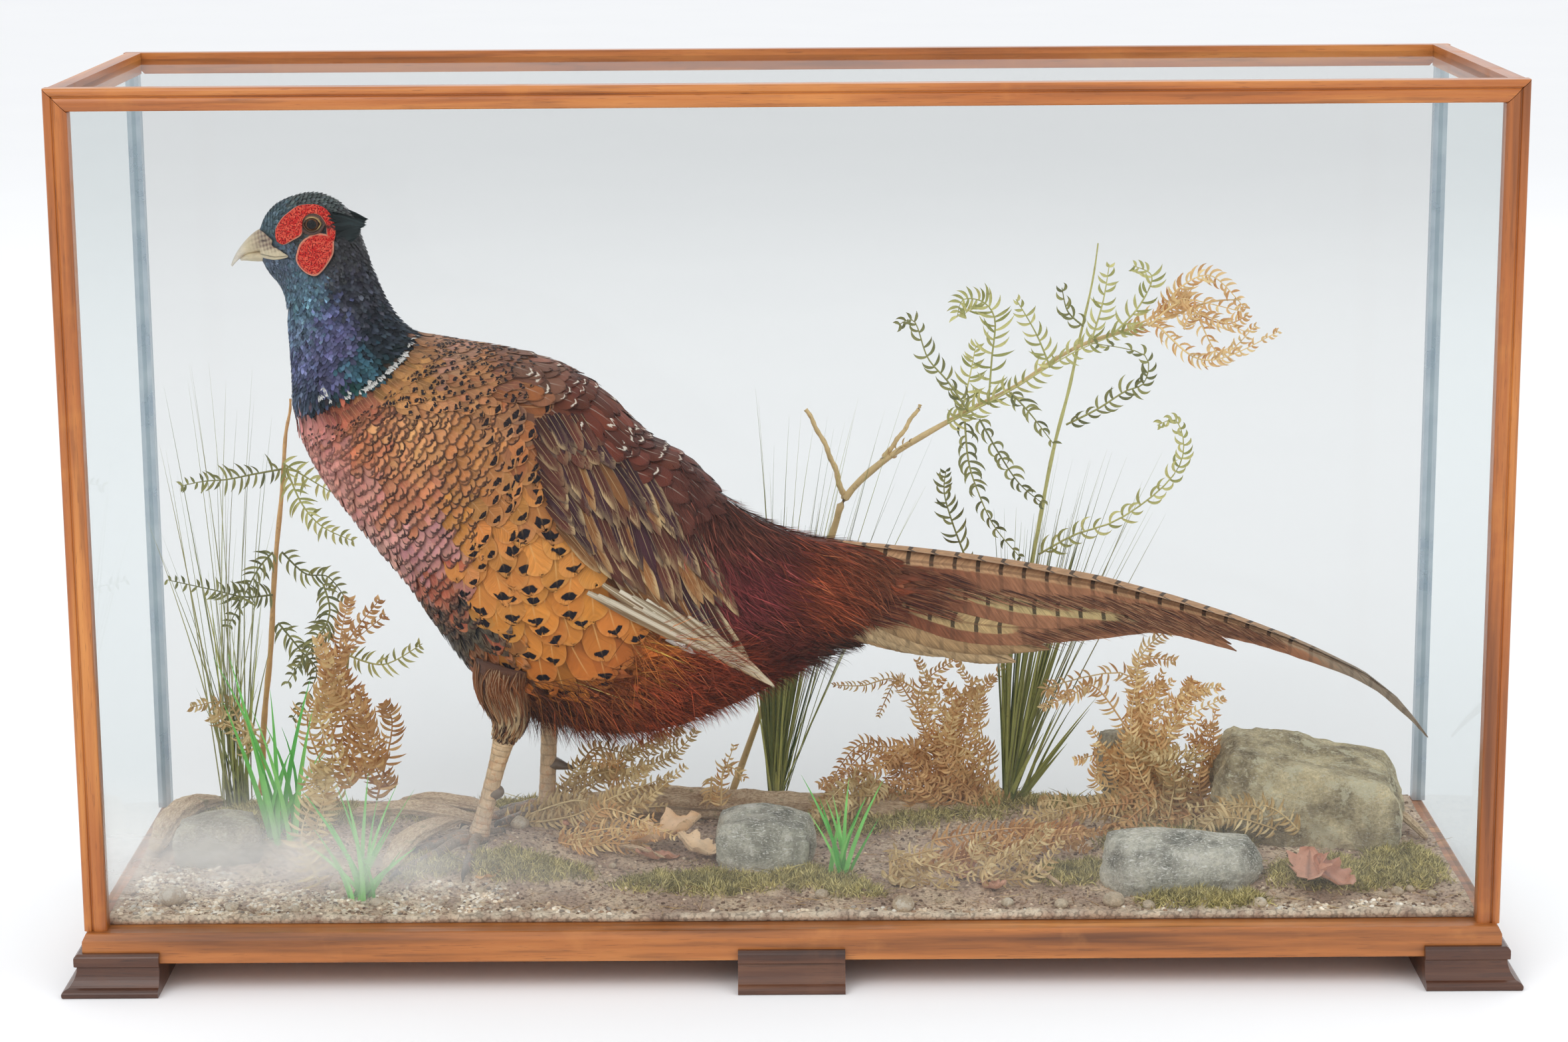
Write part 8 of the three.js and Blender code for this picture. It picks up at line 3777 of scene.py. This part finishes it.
@dataclass(frozen=True)
class Scatter:
    """One kind of bit scattered over the soil by Geometry Nodes, where a density layer allows it."""

    name: str
    bit: Bit
    layer: str
    density: float
    small: float
    large: float
    seed: int
    finish: BitFinish
    flat: float = 0.7
    rough: float = 0.25
    detail: int = 2

    def tree(self, finish: bpy.types.Material) -> tuple[bpy.types.NodeTree, dict[str, str]]:
        """Builds the node tree.

        Args:
            finish: The material that it sets at its end.

        Returns:
            The tree, and the identifier of each named input.
        """
        tree = bpy.data.node_groups.new(self.name, "GeometryNodeTree")
        tree.interface.new_socket("Geometry", in_out="INPUT", socket_type="NodeSocketGeometry")
        names = {}
        for key in ("Density", "Smallest", "Largest", "Flatness", "Roughness"):
            made = tree.interface.new_socket(key, in_out="INPUT", socket_type="NodeSocketFloat")
            names[key] = made.identifier
        made = tree.interface.new_socket("Seed", in_out="INPUT", socket_type="NodeSocketInt")
        names["Seed"] = made.identifier
        tree.interface.new_socket("Geometry", in_out="OUTPUT", socket_type="NodeSocketGeometry")

        def node(
            kind: str, inputs: dict[str | int, object] | None = None, **settings: object,
        ) -> bpy.types.Node:
            """Adds a node.

            Args:
                kind: The node's type name.
                inputs: What its inputs are joined to or hold.
                **settings: Its own settings.

            Returns:
                The new node.
            """
            made = tree.nodes.new(kind)
            for key, value in settings.items():
                setattr(made, key, value)
            for key, value in (inputs or {}).items():
                if isinstance(value, bpy.types.NodeSocket):
                    tree.links.new(value, made.inputs[key])
                else:
                    made.inputs[key].default_value = value
            return made

        given = node("NodeGroupInput").outputs
        layer = node(
            "GeometryNodeInputNamedAttribute", {"Name": self.layer}, data_type="FLOAT",
        ).outputs["Attribute"]
        density = node("ShaderNodeMath", {0: given["Density"], 1: layer}, operation="MULTIPLY").outputs[0]
        points = node(
            "GeometryNodeDistributePointsOnFaces",
            {"Mesh": given["Geometry"], "Density": density, "Seed": given["Seed"]},
        ).outputs["Points"]
        limits = {2: given["Smallest"], 3: given["Largest"], "Seed": 3}
        size = node("FunctionNodeRandomValue", limits, data_type="FLOAT").outputs[1]
        if self.bit is Bit.LUMP:
            shape = node("GeometryNodeMeshIcoSphere", {"Radius": 1.0, "Subdivisions": self.detail}).outputs[0]
            low, high = (-0.4, -0.4, 0.0), (0.4, 0.4, TAU)
        elif self.bit is Bit.NEEDLE:
            cone = {"Vertices": 4, "Radius Top": 0.01, "Radius Bottom": 0.035, "Depth": 2.0}
            shape = node("GeometryNodeMeshCone", cone).outputs[0]
            low, high = (1.35, -0.3, 0.0), (1.75, 0.3, TAU)
        else:
            cone = {"Vertices": 3, "Radius Top": 0.0, "Radius Bottom": 0.2, "Depth": 2.0}
            shape = node("GeometryNodeMeshCone", cone).outputs[0]
            low, high = (-0.9, -0.9, 0.0), (0.9, 0.9, TAU)
        limits = {0: low, 1: high, "Seed": 5}
        turn = node("FunctionNodeRandomValue", limits, data_type="FLOAT_VECTOR").outputs[0]
        wide = node("ShaderNodeCombineXYZ", {0: 1.0, 1: 1.0, 2: given["Flatness"]}).outputs[0]
        scale = node("ShaderNodeVectorMath", {0: wide, "Scale": size}, operation="SCALE").outputs[0]
        placing = {"Points": points, "Instance": shape, "Rotation": turn, "Scale": scale}
        copies = node("GeometryNodeInstanceOnPoints", placing).outputs[0]
        chance = node("FunctionNodeRandomValue", {2: 0.0, 3: 1.0, "Seed": 9}, data_type="FLOAT").outputs[1]
        marked = node(
            "GeometryNodeStoreNamedAttribute",
            {"Geometry": copies, "Name": "chance", "Value": chance},
            data_type="FLOAT",
            domain="INSTANCE",
        ).outputs[0]
        solid = node("GeometryNodeRealizeInstances", {0: marked}).outputs[0]
        noise = node("ShaderNodeTexNoise", {"Scale": 160.0, "Detail": 2.0}).outputs["Color"]
        centred = node(
            "ShaderNodeVectorMath", {0: noise, 1: (0.5, 0.5, 0.5)}, operation="SUBTRACT",
        ).outputs[0]
        shift = node(
            "ShaderNodeVectorMath", {0: centred, "Scale": given["Roughness"]}, operation="SCALE",
        ).outputs[0]
        moved = node("GeometryNodeSetPosition", {"Geometry": solid, "Offset": shift}).outputs[0]
        done = node("GeometryNodeSetMaterial", {"Geometry": moved, "Material": finish}).outputs[0]
        node("NodeGroupOutput", {"Geometry": done})
        return tree, names

    def grow(self, soil: bpy.types.Object) -> bpy.types.Object:
        """Scatters the bits.

        Args:
            soil: The soil, with its density layers.

        Returns:
            The bits as one plain mesh.
        """
        finish = self.finish.material()
        tree, names = self.tree(finish)
        modifier = soil.modifiers.new(self.name, "NODES")
        modifier.node_group = tree
        small, large = self.small * MM, self.large * MM
        values = (self.density, small, large, self.flat, self.rough * large, self.seed)
        for key, value in zip(("Density", "Smallest", "Largest", "Flatness", "Roughness", "Seed"), values):
            modifier[names[key]] = value
        graph = bpy.context.evaluated_depsgraph_get()
        mesh = bpy.data.meshes.new_from_object(
            soil.evaluated_get(graph), preserve_all_data_layers=True, depsgraph=graph,
        )
        soil.modifiers.remove(modifier)
        mesh.name = self.name
        mesh.polygons.foreach_set("use_smooth", np.full(len(mesh.polygons), self.bit is Bit.LUMP))
        return placed(self.name, mesh, finish)


@dataclass(frozen=True)
class Cover:
    """A patch of the bed: its middle, half sizes and how strongly it shows."""

    x: float
    y: float
    half_x: float
    half_y: float
    strength: float = 1.0

    def cover(self, x: Array, y: Array, fray: Array) -> Array:
        """Gives how far places are inside the patch, from 0 to 1."""
        far = np.hypot((x - self.x) / self.half_x, (y - self.y) / self.half_y)
        return self.strength * smooth(1.15, 0.8, far + 0.35 * fray)


@dataclass(frozen=True)
class Boulder:
    """A stone: the node it stands for, its middle, sizes, turn, shape seed, finish, slope and lumpiness."""

    node: str
    centre: Point
    size: tuple[float, float, float]
    turn: float
    seed: float
    finish: StoneFinish
    slope: float = 0.0
    rugged: float = 0.04


@dataclass(frozen=True)
class Timber:
    """A length of wood: its name, the node it stands for, its middle line, radii and flatness."""

    name: str
    node: str
    path: tuple[Point, ...]
    radii: tuple[float, ...]
    flat: float


@dataclass(frozen=True)
class DeadLeaf:
    """A dead leaf on the bed: its middle, sizes, the way it points, how it curls, and its colour."""

    x: float
    y: float
    lift: float
    length: float
    half: float
    heading: float
    curl: float
    roll: float
    tone: Tone


CREAM = srgb(226, 208, 182)
GREY_STONE = StoneFinish(
    "stone_grey", srgb(128, 118, 98), srgb(196, 186, 162), srgb(216, 208, 186), 0.3, 0.35,
)
SLAB_STONE = StoneFinish(
    "stone_slab_grey", srgb(112, 112, 98), srgb(220, 216, 198), srgb(226, 222, 210), 0.4, 1.0,
)
ROCK_STONE = StoneFinish(
    "stone_rock_lichen", srgb(128, 114, 88), srgb(222, 206, 166), srgb(218, 210, 178), 0.55, 0.3,
)


@dataclass
class Ground:
    """The groundwork of the case: soil, moss, gravel, stones, wood and dead leaves."""

    bed: Bed
    half_x: float = 437.2
    half_y: float = 126.7
    bottom: float = 38.4
    step: float = 2.9
    strand_count: int = 90000
    timber_rings: int = 90
    timber_sides: int = 40
    stone_rows: int = 60
    stone_columns: int = 96
    pebble_rows: int = 12
    pebble_columns: int = 18
    leaf_rows: int = 26
    leaf_columns: int = 13
    moss: tuple[Cover, ...] = (
        Cover(-368, 46, 52, 42), Cover(-316, 66, 34, 26), Cover(-242, -52, 22, 17), Cover(-176, -56, 40, 16),
        Cover(-60, -72, 52, 18), Cover(16, -64, 30, 19), Cover(40, -90, 20, 12), Cover(188, -58, 32, 16),
        Cover(266, -110, 42, 12), Cover(262, 0, 52, 36, 0.8), Cover(366, -66, 52, 25),
        Cover(404, -48, 26, 40), Cover(-210, 92, 70, 22, 0.7), Cover(60, 70, 90, 34, 0.6),
        Cover(120, 104, 100, 22, 0.7),
    )
    gravel: tuple[Cover, ...] = (
        Cover(-330, -112, 130, 38), Cover(-396, -62, 36, 34), Cover(-228, -98, 50, 26),
        Cover(-160, -124, 70, 10), Cover(60, -126, 130, 8, 0.9), Cover(330, -124, 120, 12, 0.8),
        Cover(370, -132, 70, 22, 0.7),
    )
    pebbles: tuple[tuple[float, float, float], ...] = (
        (-184, 13, 6.5), (-225, -9, 3.4), (-133, -35, 3.0), (-119, -33, 2.6), (-202, -89, 3.2),
        (-401, -95, 8.5), (-238, -60, 2.8), (-352, -60, 4.2), (207, -112, 7.0), (72, -118, 7.5),
        (139, -112, 4.0), (173, -118, 4.4), (229, -118, 4.0), (392, -96, 4.2), (402, -88, 3.4),
        (414, -98, 3.0), (382, -104, 2.8), (-300, -70, 3.6), (-268, -104, 4.0), (-360, -112, 4.4),
        (-318, -118, 3.2), (20, -96, 4.6), (96, -104, 3.2), (300, -116, 5.0),
    )
    boulders: tuple[Boulder, ...] = (
        Boulder("stone_left", (-386, -8, 56), (62, 46, 34), 10, 1, GREY_STONE),
        Boulder("stone_middle", (-17, -22, 56), (72, 44, 44), -4, 2, SLAB_STONE),
        Boulder("stone_slab", (256, -72, 56), (100, 56, 44), 3, 3, SLAB_STONE),
        Boulder("stone_small", (238, 84, 80), (44, 38, 52), 20, 4, GREY_STONE),
        Boulder("rock_large", (350, 30, 66), (120, 100, 84), -6, 5, ROCK_STONE, 0.2, 0.11),
    )
    timber: tuple[Timber, ...] = (
        Timber(
            "log_at_back", "log_back",
            ((-170, 90, 46), (-106, 82, 55), (-50, 80, 53), (4, 78, 51), (96, 70, 48), (160, 60, 45)),
            (5, 11, 11, 11, 10, 6), 0.95,
        ),
        Timber(
            "root_by_foot", "root_near", ((-300, 44, 60), (-265, 30, 68), (-235, 21, 67), (-212, 22, 60)),
            (4, 5, 5, 3.5), 0.9,
        ),
        Timber(
            "bark_slab_left", "", ((-266, -62, 52), (-256, -20, 60), (-240, 8, 62), (-216, 34, 62)),
            (5, 9, 9, 4), 0.45,
        ),
        Timber(
            "bark_slab_inner", "", ((-272, 66, 60), (-250, 56, 66), (-222, 44, 66), (-198, 40, 60)),
            (5, 8, 8, 4), 0.5,
        ),
        Timber(
            "bark_slab_end", "", ((-428, -6, 48), (-424, 34, 58), (-414, 66, 60), (-396, 88, 56)),
            (5, 9, 10, 5), 0.6,
        ),
        Timber(
            "stick_front", "", ((129, -14, 52), (140, -44, 57), (158, -68, 55), (176, -91, 49)),
            (1.4, 2.0, 1.8, 0.9), 1.0,
        ),
        Timber("stick_by_leaf", "", ((-128, -10, 51), (-106, -18, 54), (-84, -30, 50)), (0.8, 1.4, 0.8), 1.0),
        Timber("stick_right", "", ((402, 62, 62), (418, 36, 56), (430, 10, 48)), (2.6, 3.4, 2.2), 0.8),
        Timber(
            "twig_middle", "", ((-164, 30, 56), (-150, 12, 60), (-128, 2, 57), (-112, -12, 49)),
            (0.7, 1.1, 1.0, 0.5), 1.0,
        ),
    )
    leaves: tuple[DeadLeaf, ...] = (
        DeadLeaf(-84, -6, 34, 62, 24, 20, 1.3, 1.6, Tone.HUSK),
        DeadLeaf(-64, -20, 22, 44, 17, 150, 1.9, 1.4, Tone.HUSK),
        DeadLeaf(-90, -22, 10, 34, 10, 190, 1.2, 1.3, Tone.LEAF),
        DeadLeaf(336, -84, 40, 46, 20, 80, 1.5, 1.3, Tone.LEAF),
        DeadLeaf(350, -90, 34, 46, 17, 118, 1.7, 1.3, Tone.LEAF),
        DeadLeaf(116, -44, 9, 40, 11, 70, 1.8, 1.5, Tone.LEAF),
        DeadLeaf(132, -82, 8, 34, 10, 300, 1.6, 1.4, Tone.LEAF),
        DeadLeaf(69, -70, 7, 30, 9, 150, 1.4, 1.2, Tone.STRAW),
        DeadLeaf(-196, -66, 6, 26, 8, 30, 1.2, 1.0, Tone.ORANGE),
        DeadLeaf(-150, 20, 9, 30, 10, 250, 1.4, 1.4, Tone.LEAF),
        DeadLeaf(190, 30, 9, 36, 12, 100, 1.4, 1.2, Tone.LEAF),
    )

    def build(self) -> None:
        """Builds the whole groundwork."""
        soil = self.soil()
        moss = BitFinish(
            "moss_sprigs",
            ((0.0, srgb(112, 106, 56)), (0.5, srgb(186, 172, 106)), (1.0, srgb(238, 224, 162))),
        )
        sand = BitFinish(
            "gravel_bits", (
                (0.0, srgb(156, 126, 102)), (0.4, srgb(236, 218, 192)), (0.8, srgb(250, 244, 232)),
                (1.0, srgb(98, 78, 64)),
            )
        )
        crumb = BitFinish(
            "soil_crumbs", (
                (0.0, srgb(100, 78, 64)), (0.4, srgb(152, 126, 106)), (0.8, srgb(196, 170, 142)),
                (1.0, srgb(232, 214, 188)),
            )
        )
        litter = BitFinish(
            "litter_needles",
            ((0.0, srgb(120, 84, 54)), (0.5, srgb(178, 142, 92)), (1.0, srgb(214, 192, 146))),
        )
        for scatter in (
            Scatter("moss_cushions", Bit.SPRIG, "moss", 7.0e5, 1.4, 3.4, 11, moss, 1.0, 0.2),
            Scatter("gravel_grains", Bit.LUMP, "gravel", 1.5e5, 0.4, 1.9, 12, sand, 0.7, 0.3),
            Scatter("soil_lumps", Bit.LUMP, "crumbs", 5.0e4, 0.4, 1.7, 13, crumb, 0.7, 0.5, 1),
            Scatter("litter_bits", Bit.NEEDLE, "crumbs", 6.5e3, 3.0, 9.0, 14, litter, 1.0, 0.15),
        ):
            piece = scatter.grow(soil)
            kept(piece, "stone" if scatter.bit is Bit.LUMP and scatter.layer == "gravel" else "soil")
        kept(soil, "soil", "ground")
        self.moss_strands()
        for boulder in self.boulders:
            self.boulder(boulder)
        self.wood()
        self.dead_leaves()

    def soil(self) -> bpy.types.Object:
        """Makes the soil as a closed solid, with its colours and density layers.

        Returns:
            The piece.
        """
        columns, rows = int(2 * self.half_x / self.step), int(2 * self.half_y / self.step)
        x, y = np.meshgrid(
            np.linspace(-self.half_x, self.half_x, columns), np.linspace(-self.half_y, self.half_y, rows),
        )
        flat = np.stack([x, y, 0 * x], -1)
        lumps = 1.1 * ripple(flat, 34, 2.0) + 0.8 * ripple(flat, 13, 5.0)
        edge = smooth(0, 10, self.half_x - np.abs(x)) * smooth(0, 10, self.half_y - np.abs(y))
        fray = 0.8 * ripple(flat, 42, 8.0) + 0.3 * ripple(flat, 12, 3.0)
        moss = np.max([patch.cover(x, y, fray) for patch in self.moss], 0)
        gravel = np.max([patch.cover(x, y, fray) for patch in self.gravel], 0) * (1 - moss)
        gravel = gravel * smooth(-0.7, 0.5, ripple(flat, 26, 9.0) + 0.5 * ripple(flat, 8, 1.0))
        tufts = np.clip(4.0 + 5.5 * ripple(flat, 19, 6.0), 0.6, 9.5)
        z = self.bed.height(x, y) + lumps * edge + tufts * moss * edge
        peat, leaf_mould = np.array(srgb(188, 162, 142)), np.array(srgb(226, 202, 174))
        share = smooth(-0.4, 0.6, ripple(flat, 70, 1.0))[..., None]
        tint = peat * (1 - share) + leaf_mould * share
        tint = tint * (1 - moss[..., None]) + np.array(srgb(168, 154, 102)) * moss[..., None]
        tint = tint * (1 - gravel[..., None]) + np.array(srgb(238, 222, 198)) * gravel[..., None]
        top = np.stack([x, y, z], -1)
        under = np.stack([x, y, np.full_like(x, self.bottom)], -1)
        size = rows * columns
        quads = grid_faces(rows, columns)
        index = np.arange(size).reshape(rows, columns)
        ring = np.concatenate([index[0], index[1:, -1], index[-1, -2::-1], index[-2:0:-1, 0]])
        after = np.roll(ring, -1)
        wall = np.stack([ring, ring + size, after + size, after], -1)
        parts = MeshParts()
        faces = np.concatenate([quads, quads[:, ::-1] + size, wall])
        both = np.concatenate([tint.reshape(-1, 3)] * 2)
        parts.add(np.concatenate([top.reshape(-1, 3), under.reshape(-1, 3)]) * MM, faces, tint=both)
        piece = parts.build("soil_bed", SoilFinish().material())
        mend(piece)
        inside_bed = (edge > 0.3).astype(float)
        layers = (
            ("moss", moss * inside_bed), ("gravel", gravel * inside_bed),
            ("crumbs", (1 - 0.7 * moss) * inside_bed),
        )
        for name, values in layers:
            both = np.concatenate([values.ravel(), 0 * values.ravel()]).astype(np.float32)
            piece.data.attributes.new(name, "FLOAT", "POINT").data.foreach_set("value", both)
        return piece

    def moss_strands(self) -> None:
        """Builds the long curling strands that stand out of the moss."""
        chance = np.random.default_rng(31)
        count = self.strand_count
        x = chance.uniform(-self.half_x, self.half_x, count)
        y = chance.uniform(-self.half_y, self.half_y, count)
        fray = chance.normal(0, 0.25, count)
        cover = np.max([patch.cover(x, y, fray) for patch in self.moss], 0)
        stays = cover > chance.uniform(0.15, 1.6, count)
        stays &= (np.abs(x) < self.half_x - 6) & (np.abs(y) < self.half_y - 6)
        x, y = x[stays], y[stays]
        count = len(x)
        base = np.stack([x, y, self.bed.height(x, y) + 2.0], 1)
        turn, lift = chance.uniform(0, TAU, count), chance.uniform(0.2, 1.3, count)
        way = np.stack([np.cos(turn) * np.cos(lift), np.sin(turn) * np.cos(lift), np.sin(lift)], 1)
        bend = np.stack(
            [chance.normal(0, 1, count), chance.normal(0, 1, count), chance.normal(-0.7, 0.6, count)], 1,
        )
        t = np.linspace(0, 1, 6)[None, :, None]
        length = chance.uniform(4.5, 12.0, count)[:, None, None]
        paths = base[:, None] + length * (way[:, None] * t + 0.5 * bend[:, None] * t**2)
        paths[..., 0] = np.clip(paths[..., 0], -self.half_x, self.half_x)
        paths[..., 1] = np.clip(paths[..., 1], -self.half_y, self.half_y)
        half = chance.uniform(0.25, 0.5, (count, 1)) * np.array([1, 1, 0.95, 0.8, 0.5, 0.1])
        parts = MeshParts()
        tuft = 0.5 + 0.75 * smooth(-0.5, 0.6, ripple(base, 15, 3.0))[:, None]
        blades(parts, paths, half, np.cross(way, bend), Tone.MOSS.pick(chance, count) * tuft, 0.5)
        kept(parts.build("moss_long_strands", LeafFinish("moss_skin", 0.8, 0.1).material()), "soil")

    def boulder(self, boulder: Boulder) -> None:
        """Builds one stone.

        Args:
            boulder: The stone.
        """
        rows, columns = self.stone_rows, self.stone_columns
        lift = np.linspace(-math.pi / 2, math.pi / 2, rows)[1:-1, None]
        turn = np.linspace(0, TAU, columns, endpoint=False)[None]
        ball = np.stack(
            [np.cos(lift) * np.cos(turn), np.cos(lift) * np.sin(turn), np.sin(lift) + 0 * turn], -1,
        )
        poles = np.array([[0, 0, -1.0], [0, 0, 1.0]])
        ball = np.concatenate([ball.reshape(-1, 3), poles])
        dent = 1 + 0.1 * np.sin(3.1 * ball[:, 0] + boulder.seed)
        dent = dent + 0.08 * np.cos(4.3 * ball[:, 1] + 2 * boulder.seed)
        block = np.maximum(np.abs(ball).max(1), 0.5) ** -0.55
        rough = 1 + boulder.rugged * ripple(ball, 1.3, boulder.seed)
        rough = rough + 0.3 * boulder.rugged * ripple(ball, 0.35, 3.0)
        points = ball * (dent * block * rough)[:, None] * np.array(boulder.size) / 2
        points[:, 2] -= boulder.slope * points[:, 0]
        angle = math.radians(boulder.turn)
        x, y = points[:, 0].copy(), points[:, 1].copy()
        points[:, 0] = x * math.cos(angle) - y * math.sin(angle)
        points[:, 1] = x * math.sin(angle) + y * math.cos(angle)
        points += boulder.centre
        inner = rows - 2
        ring = np.arange(columns)
        after = (ring + 1) % columns
        low = np.stack([np.full(columns, inner * columns), after, ring], -1)
        high = np.stack([np.full(columns, inner * columns + 1), ring, after], -1)
        high = high + np.array([0, 1, 1]) * (inner - 1) * columns
        parts = MeshParts()
        parts.add(points * MM, grid_faces(inner, columns, True))
        parts.tris.append(np.concatenate([low, high]))
        piece = parts.build(f"{boulder.node}_surface", boulder.finish.material())
        mend(piece)
        kept(piece, "stone", boulder.node)

    def wood(self) -> None:
        """Builds the log, roots, bark and sticks, and the pale pebbles on the soil."""
        bark = BarkFinish("bark_light", srgb(168, 132, 98), srgb(240, 214, 178)).material()
        for timber in self.timber:
            share = np.linspace(0, 1, self.timber_rings)
            line = along(np.array(timber.path, float), share)
            wide = along(np.array(timber.radii, float)[:, None], share)[:, 0]
            wide = wide * np.minimum(1, 0.35 + 9 * np.minimum(share, 1 - share))
            parts = MeshParts()
            sides = self.timber_sides
            size = self.timber_rings * sides
            tube(line * MM, wide * MM, sides, parts, timber.flat)
            points = parts.points[0][:size].reshape(-1, sides, 3)
            middle = line[:, None] * MM
            turn = np.arange(sides) * TAU / sides
            length = share[:, None] * np.linalg.norm(np.diff(line, axis=0), axis=1).sum()
            ridge = 0.10 * np.sin(7 * turn + 0.05 * length) + 0.07 * np.sin(13 * turn - 0.11 * length + 2)
            ridge = ridge + 0.10 * ripple(points / MM, 18, 4.0)
            ridged = middle + (points - middle) * (1 + ridge[..., None])
            parts.points[0][:size] = ridged.reshape(-1, 3)
            over = turn[None] / TAU * 2 * wide.mean() / 6
            vane = np.stack(np.broadcast_arrays(over, length / 40), -1).reshape(-1, 2)
            parts.maps[0] = np.concatenate([vane, vane[:1], vane[-1:]])
            piece = parts.build(timber.name, bark)
            mend(piece)
            kept(piece, "bark", *([timber.node] if timber.node else []))
        parts = MeshParts()
        rows, columns = self.pebble_rows, self.pebble_columns
        lift, turn = np.linspace(-1.57, 1.57, rows)[:, None], np.arange(columns)[None] * TAU / columns
        ball = np.stack(
            [np.cos(lift) * np.cos(turn), np.cos(lift) * np.sin(turn), 0.75 * np.sin(lift) + 0 * turn], -1,
        )
        for number, (x, y, radius) in enumerate(self.pebbles):
            shape = ball * (radius * (1 + 0.13 * ripple(ball + number, 2.0, number)))[..., None]
            middle = np.array([x, y, self.bed.height(x, y) + radius * 0.45])
            parts.add((shape + middle) * MM, grid_faces(rows, columns, True))
        finish = StoneFinish("pebble_cream", srgb(196, 172, 142), CREAM, srgb(238, 228, 210), 0.5, 0.2)
        piece = parts.build("pale_pebbles", finish.material())
        mend(piece)
        kept(piece, "stone")

    def dead_leaves(self) -> None:
        """Builds the curled dead leaves."""
        parts = MeshParts()
        chance = np.random.default_rng(61)
        rows, columns = self.leaf_rows, self.leaf_columns
        v, u = np.linspace(0, 1, rows)[:, None], np.linspace(-1, 1, columns)[None]
        for leaf in self.leaves:
            teeth = 1 + 0.22 * np.sin(v * 21 + u) * np.abs(u) ** 3
            teeth = teeth + 0.1 * np.sin(v * 47 + 2 * u) * np.abs(u) ** 3
            half = leaf.half * np.sin(np.clip(v, 0, 1) ** 0.8 * math.pi) ** 0.7 * teeth
            bend = leaf.curl * (v - 0.35)
            forward = np.cumsum(np.cos(bend), 0) * leaf.length / rows
            rise = np.cumsum(np.sin(bend), 0) * leaf.length / rows
            roll = leaf.roll * u * (0.6 + 0.4 * v)
            across = half * np.sin(roll) / leaf.roll
            lift = half * (1 - np.cos(roll)) / leaf.roll + 1.6 * np.sin(v * 17 + u * 3) * np.abs(u)
            angle = math.radians(leaf.heading)
            ahead = forward - leaf.length / 2 - lift * np.sin(bend) * 0.5
            x = leaf.x + ahead * math.cos(angle) - across * math.sin(angle)
            y = leaf.y + ahead * math.sin(angle) + across * math.cos(angle)
            z = self.bed.height(leaf.x, leaf.y) + leaf.lift * 0.35 + rise * 0.8 + lift
            vane = np.stack(np.broadcast_arrays(0.5 + 0.5 * u, v), -1)
            rib = (1 - 0.4 * np.exp(-((u / 0.07) ** 2)))[..., None]
            tint = np.broadcast_to(leaf.tone.pick(chance, 1)[0], (rows, columns, 3)) * rib
            parts.add(np.stack([x, y, z + 0 * x], -1) * MM, grid_faces(rows, columns), vane=vane, tint=tint)
        kept(parts.build("dead_leaves", LeafFinish("dead_leaf_skin", 0.36, 0.4).material()), "dried_leaf")


def build_bird(bed: Bed) -> None:
    """Builds the bird.

    Args:
        bed: The soil that it stands on.
    """
    frame = BirdFrame()
    form = BodyForm()
    plumage = Plumage()
    head = Head(form, frame, plumage)
    legs = Legs(frame, bed)
    BirdBody(form, frame, plumage, head.bare(), legs.skins).build()
    head.build()
    legs.build()
    for name, side in (("wing_left", -1), ("wing_right", 1)):
        Wing(name, side, form, frame).build()
    Tail(form, frame).build()


def main() -> None:
    """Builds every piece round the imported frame, in order."""
    logging.basicConfig(level=logging.INFO, format="%(name)s: %(message)s")
    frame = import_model()
    bpy.context.scene.view_settings.view_transform = "Standard"
    Studio().build()
    DisplayCase(frame["nodes"]).build()
    bed = Bed()
    build_bird(bed)
    Plants(bed).build()
    Ground(bed).build()


if __name__ == "__main__":
    main()
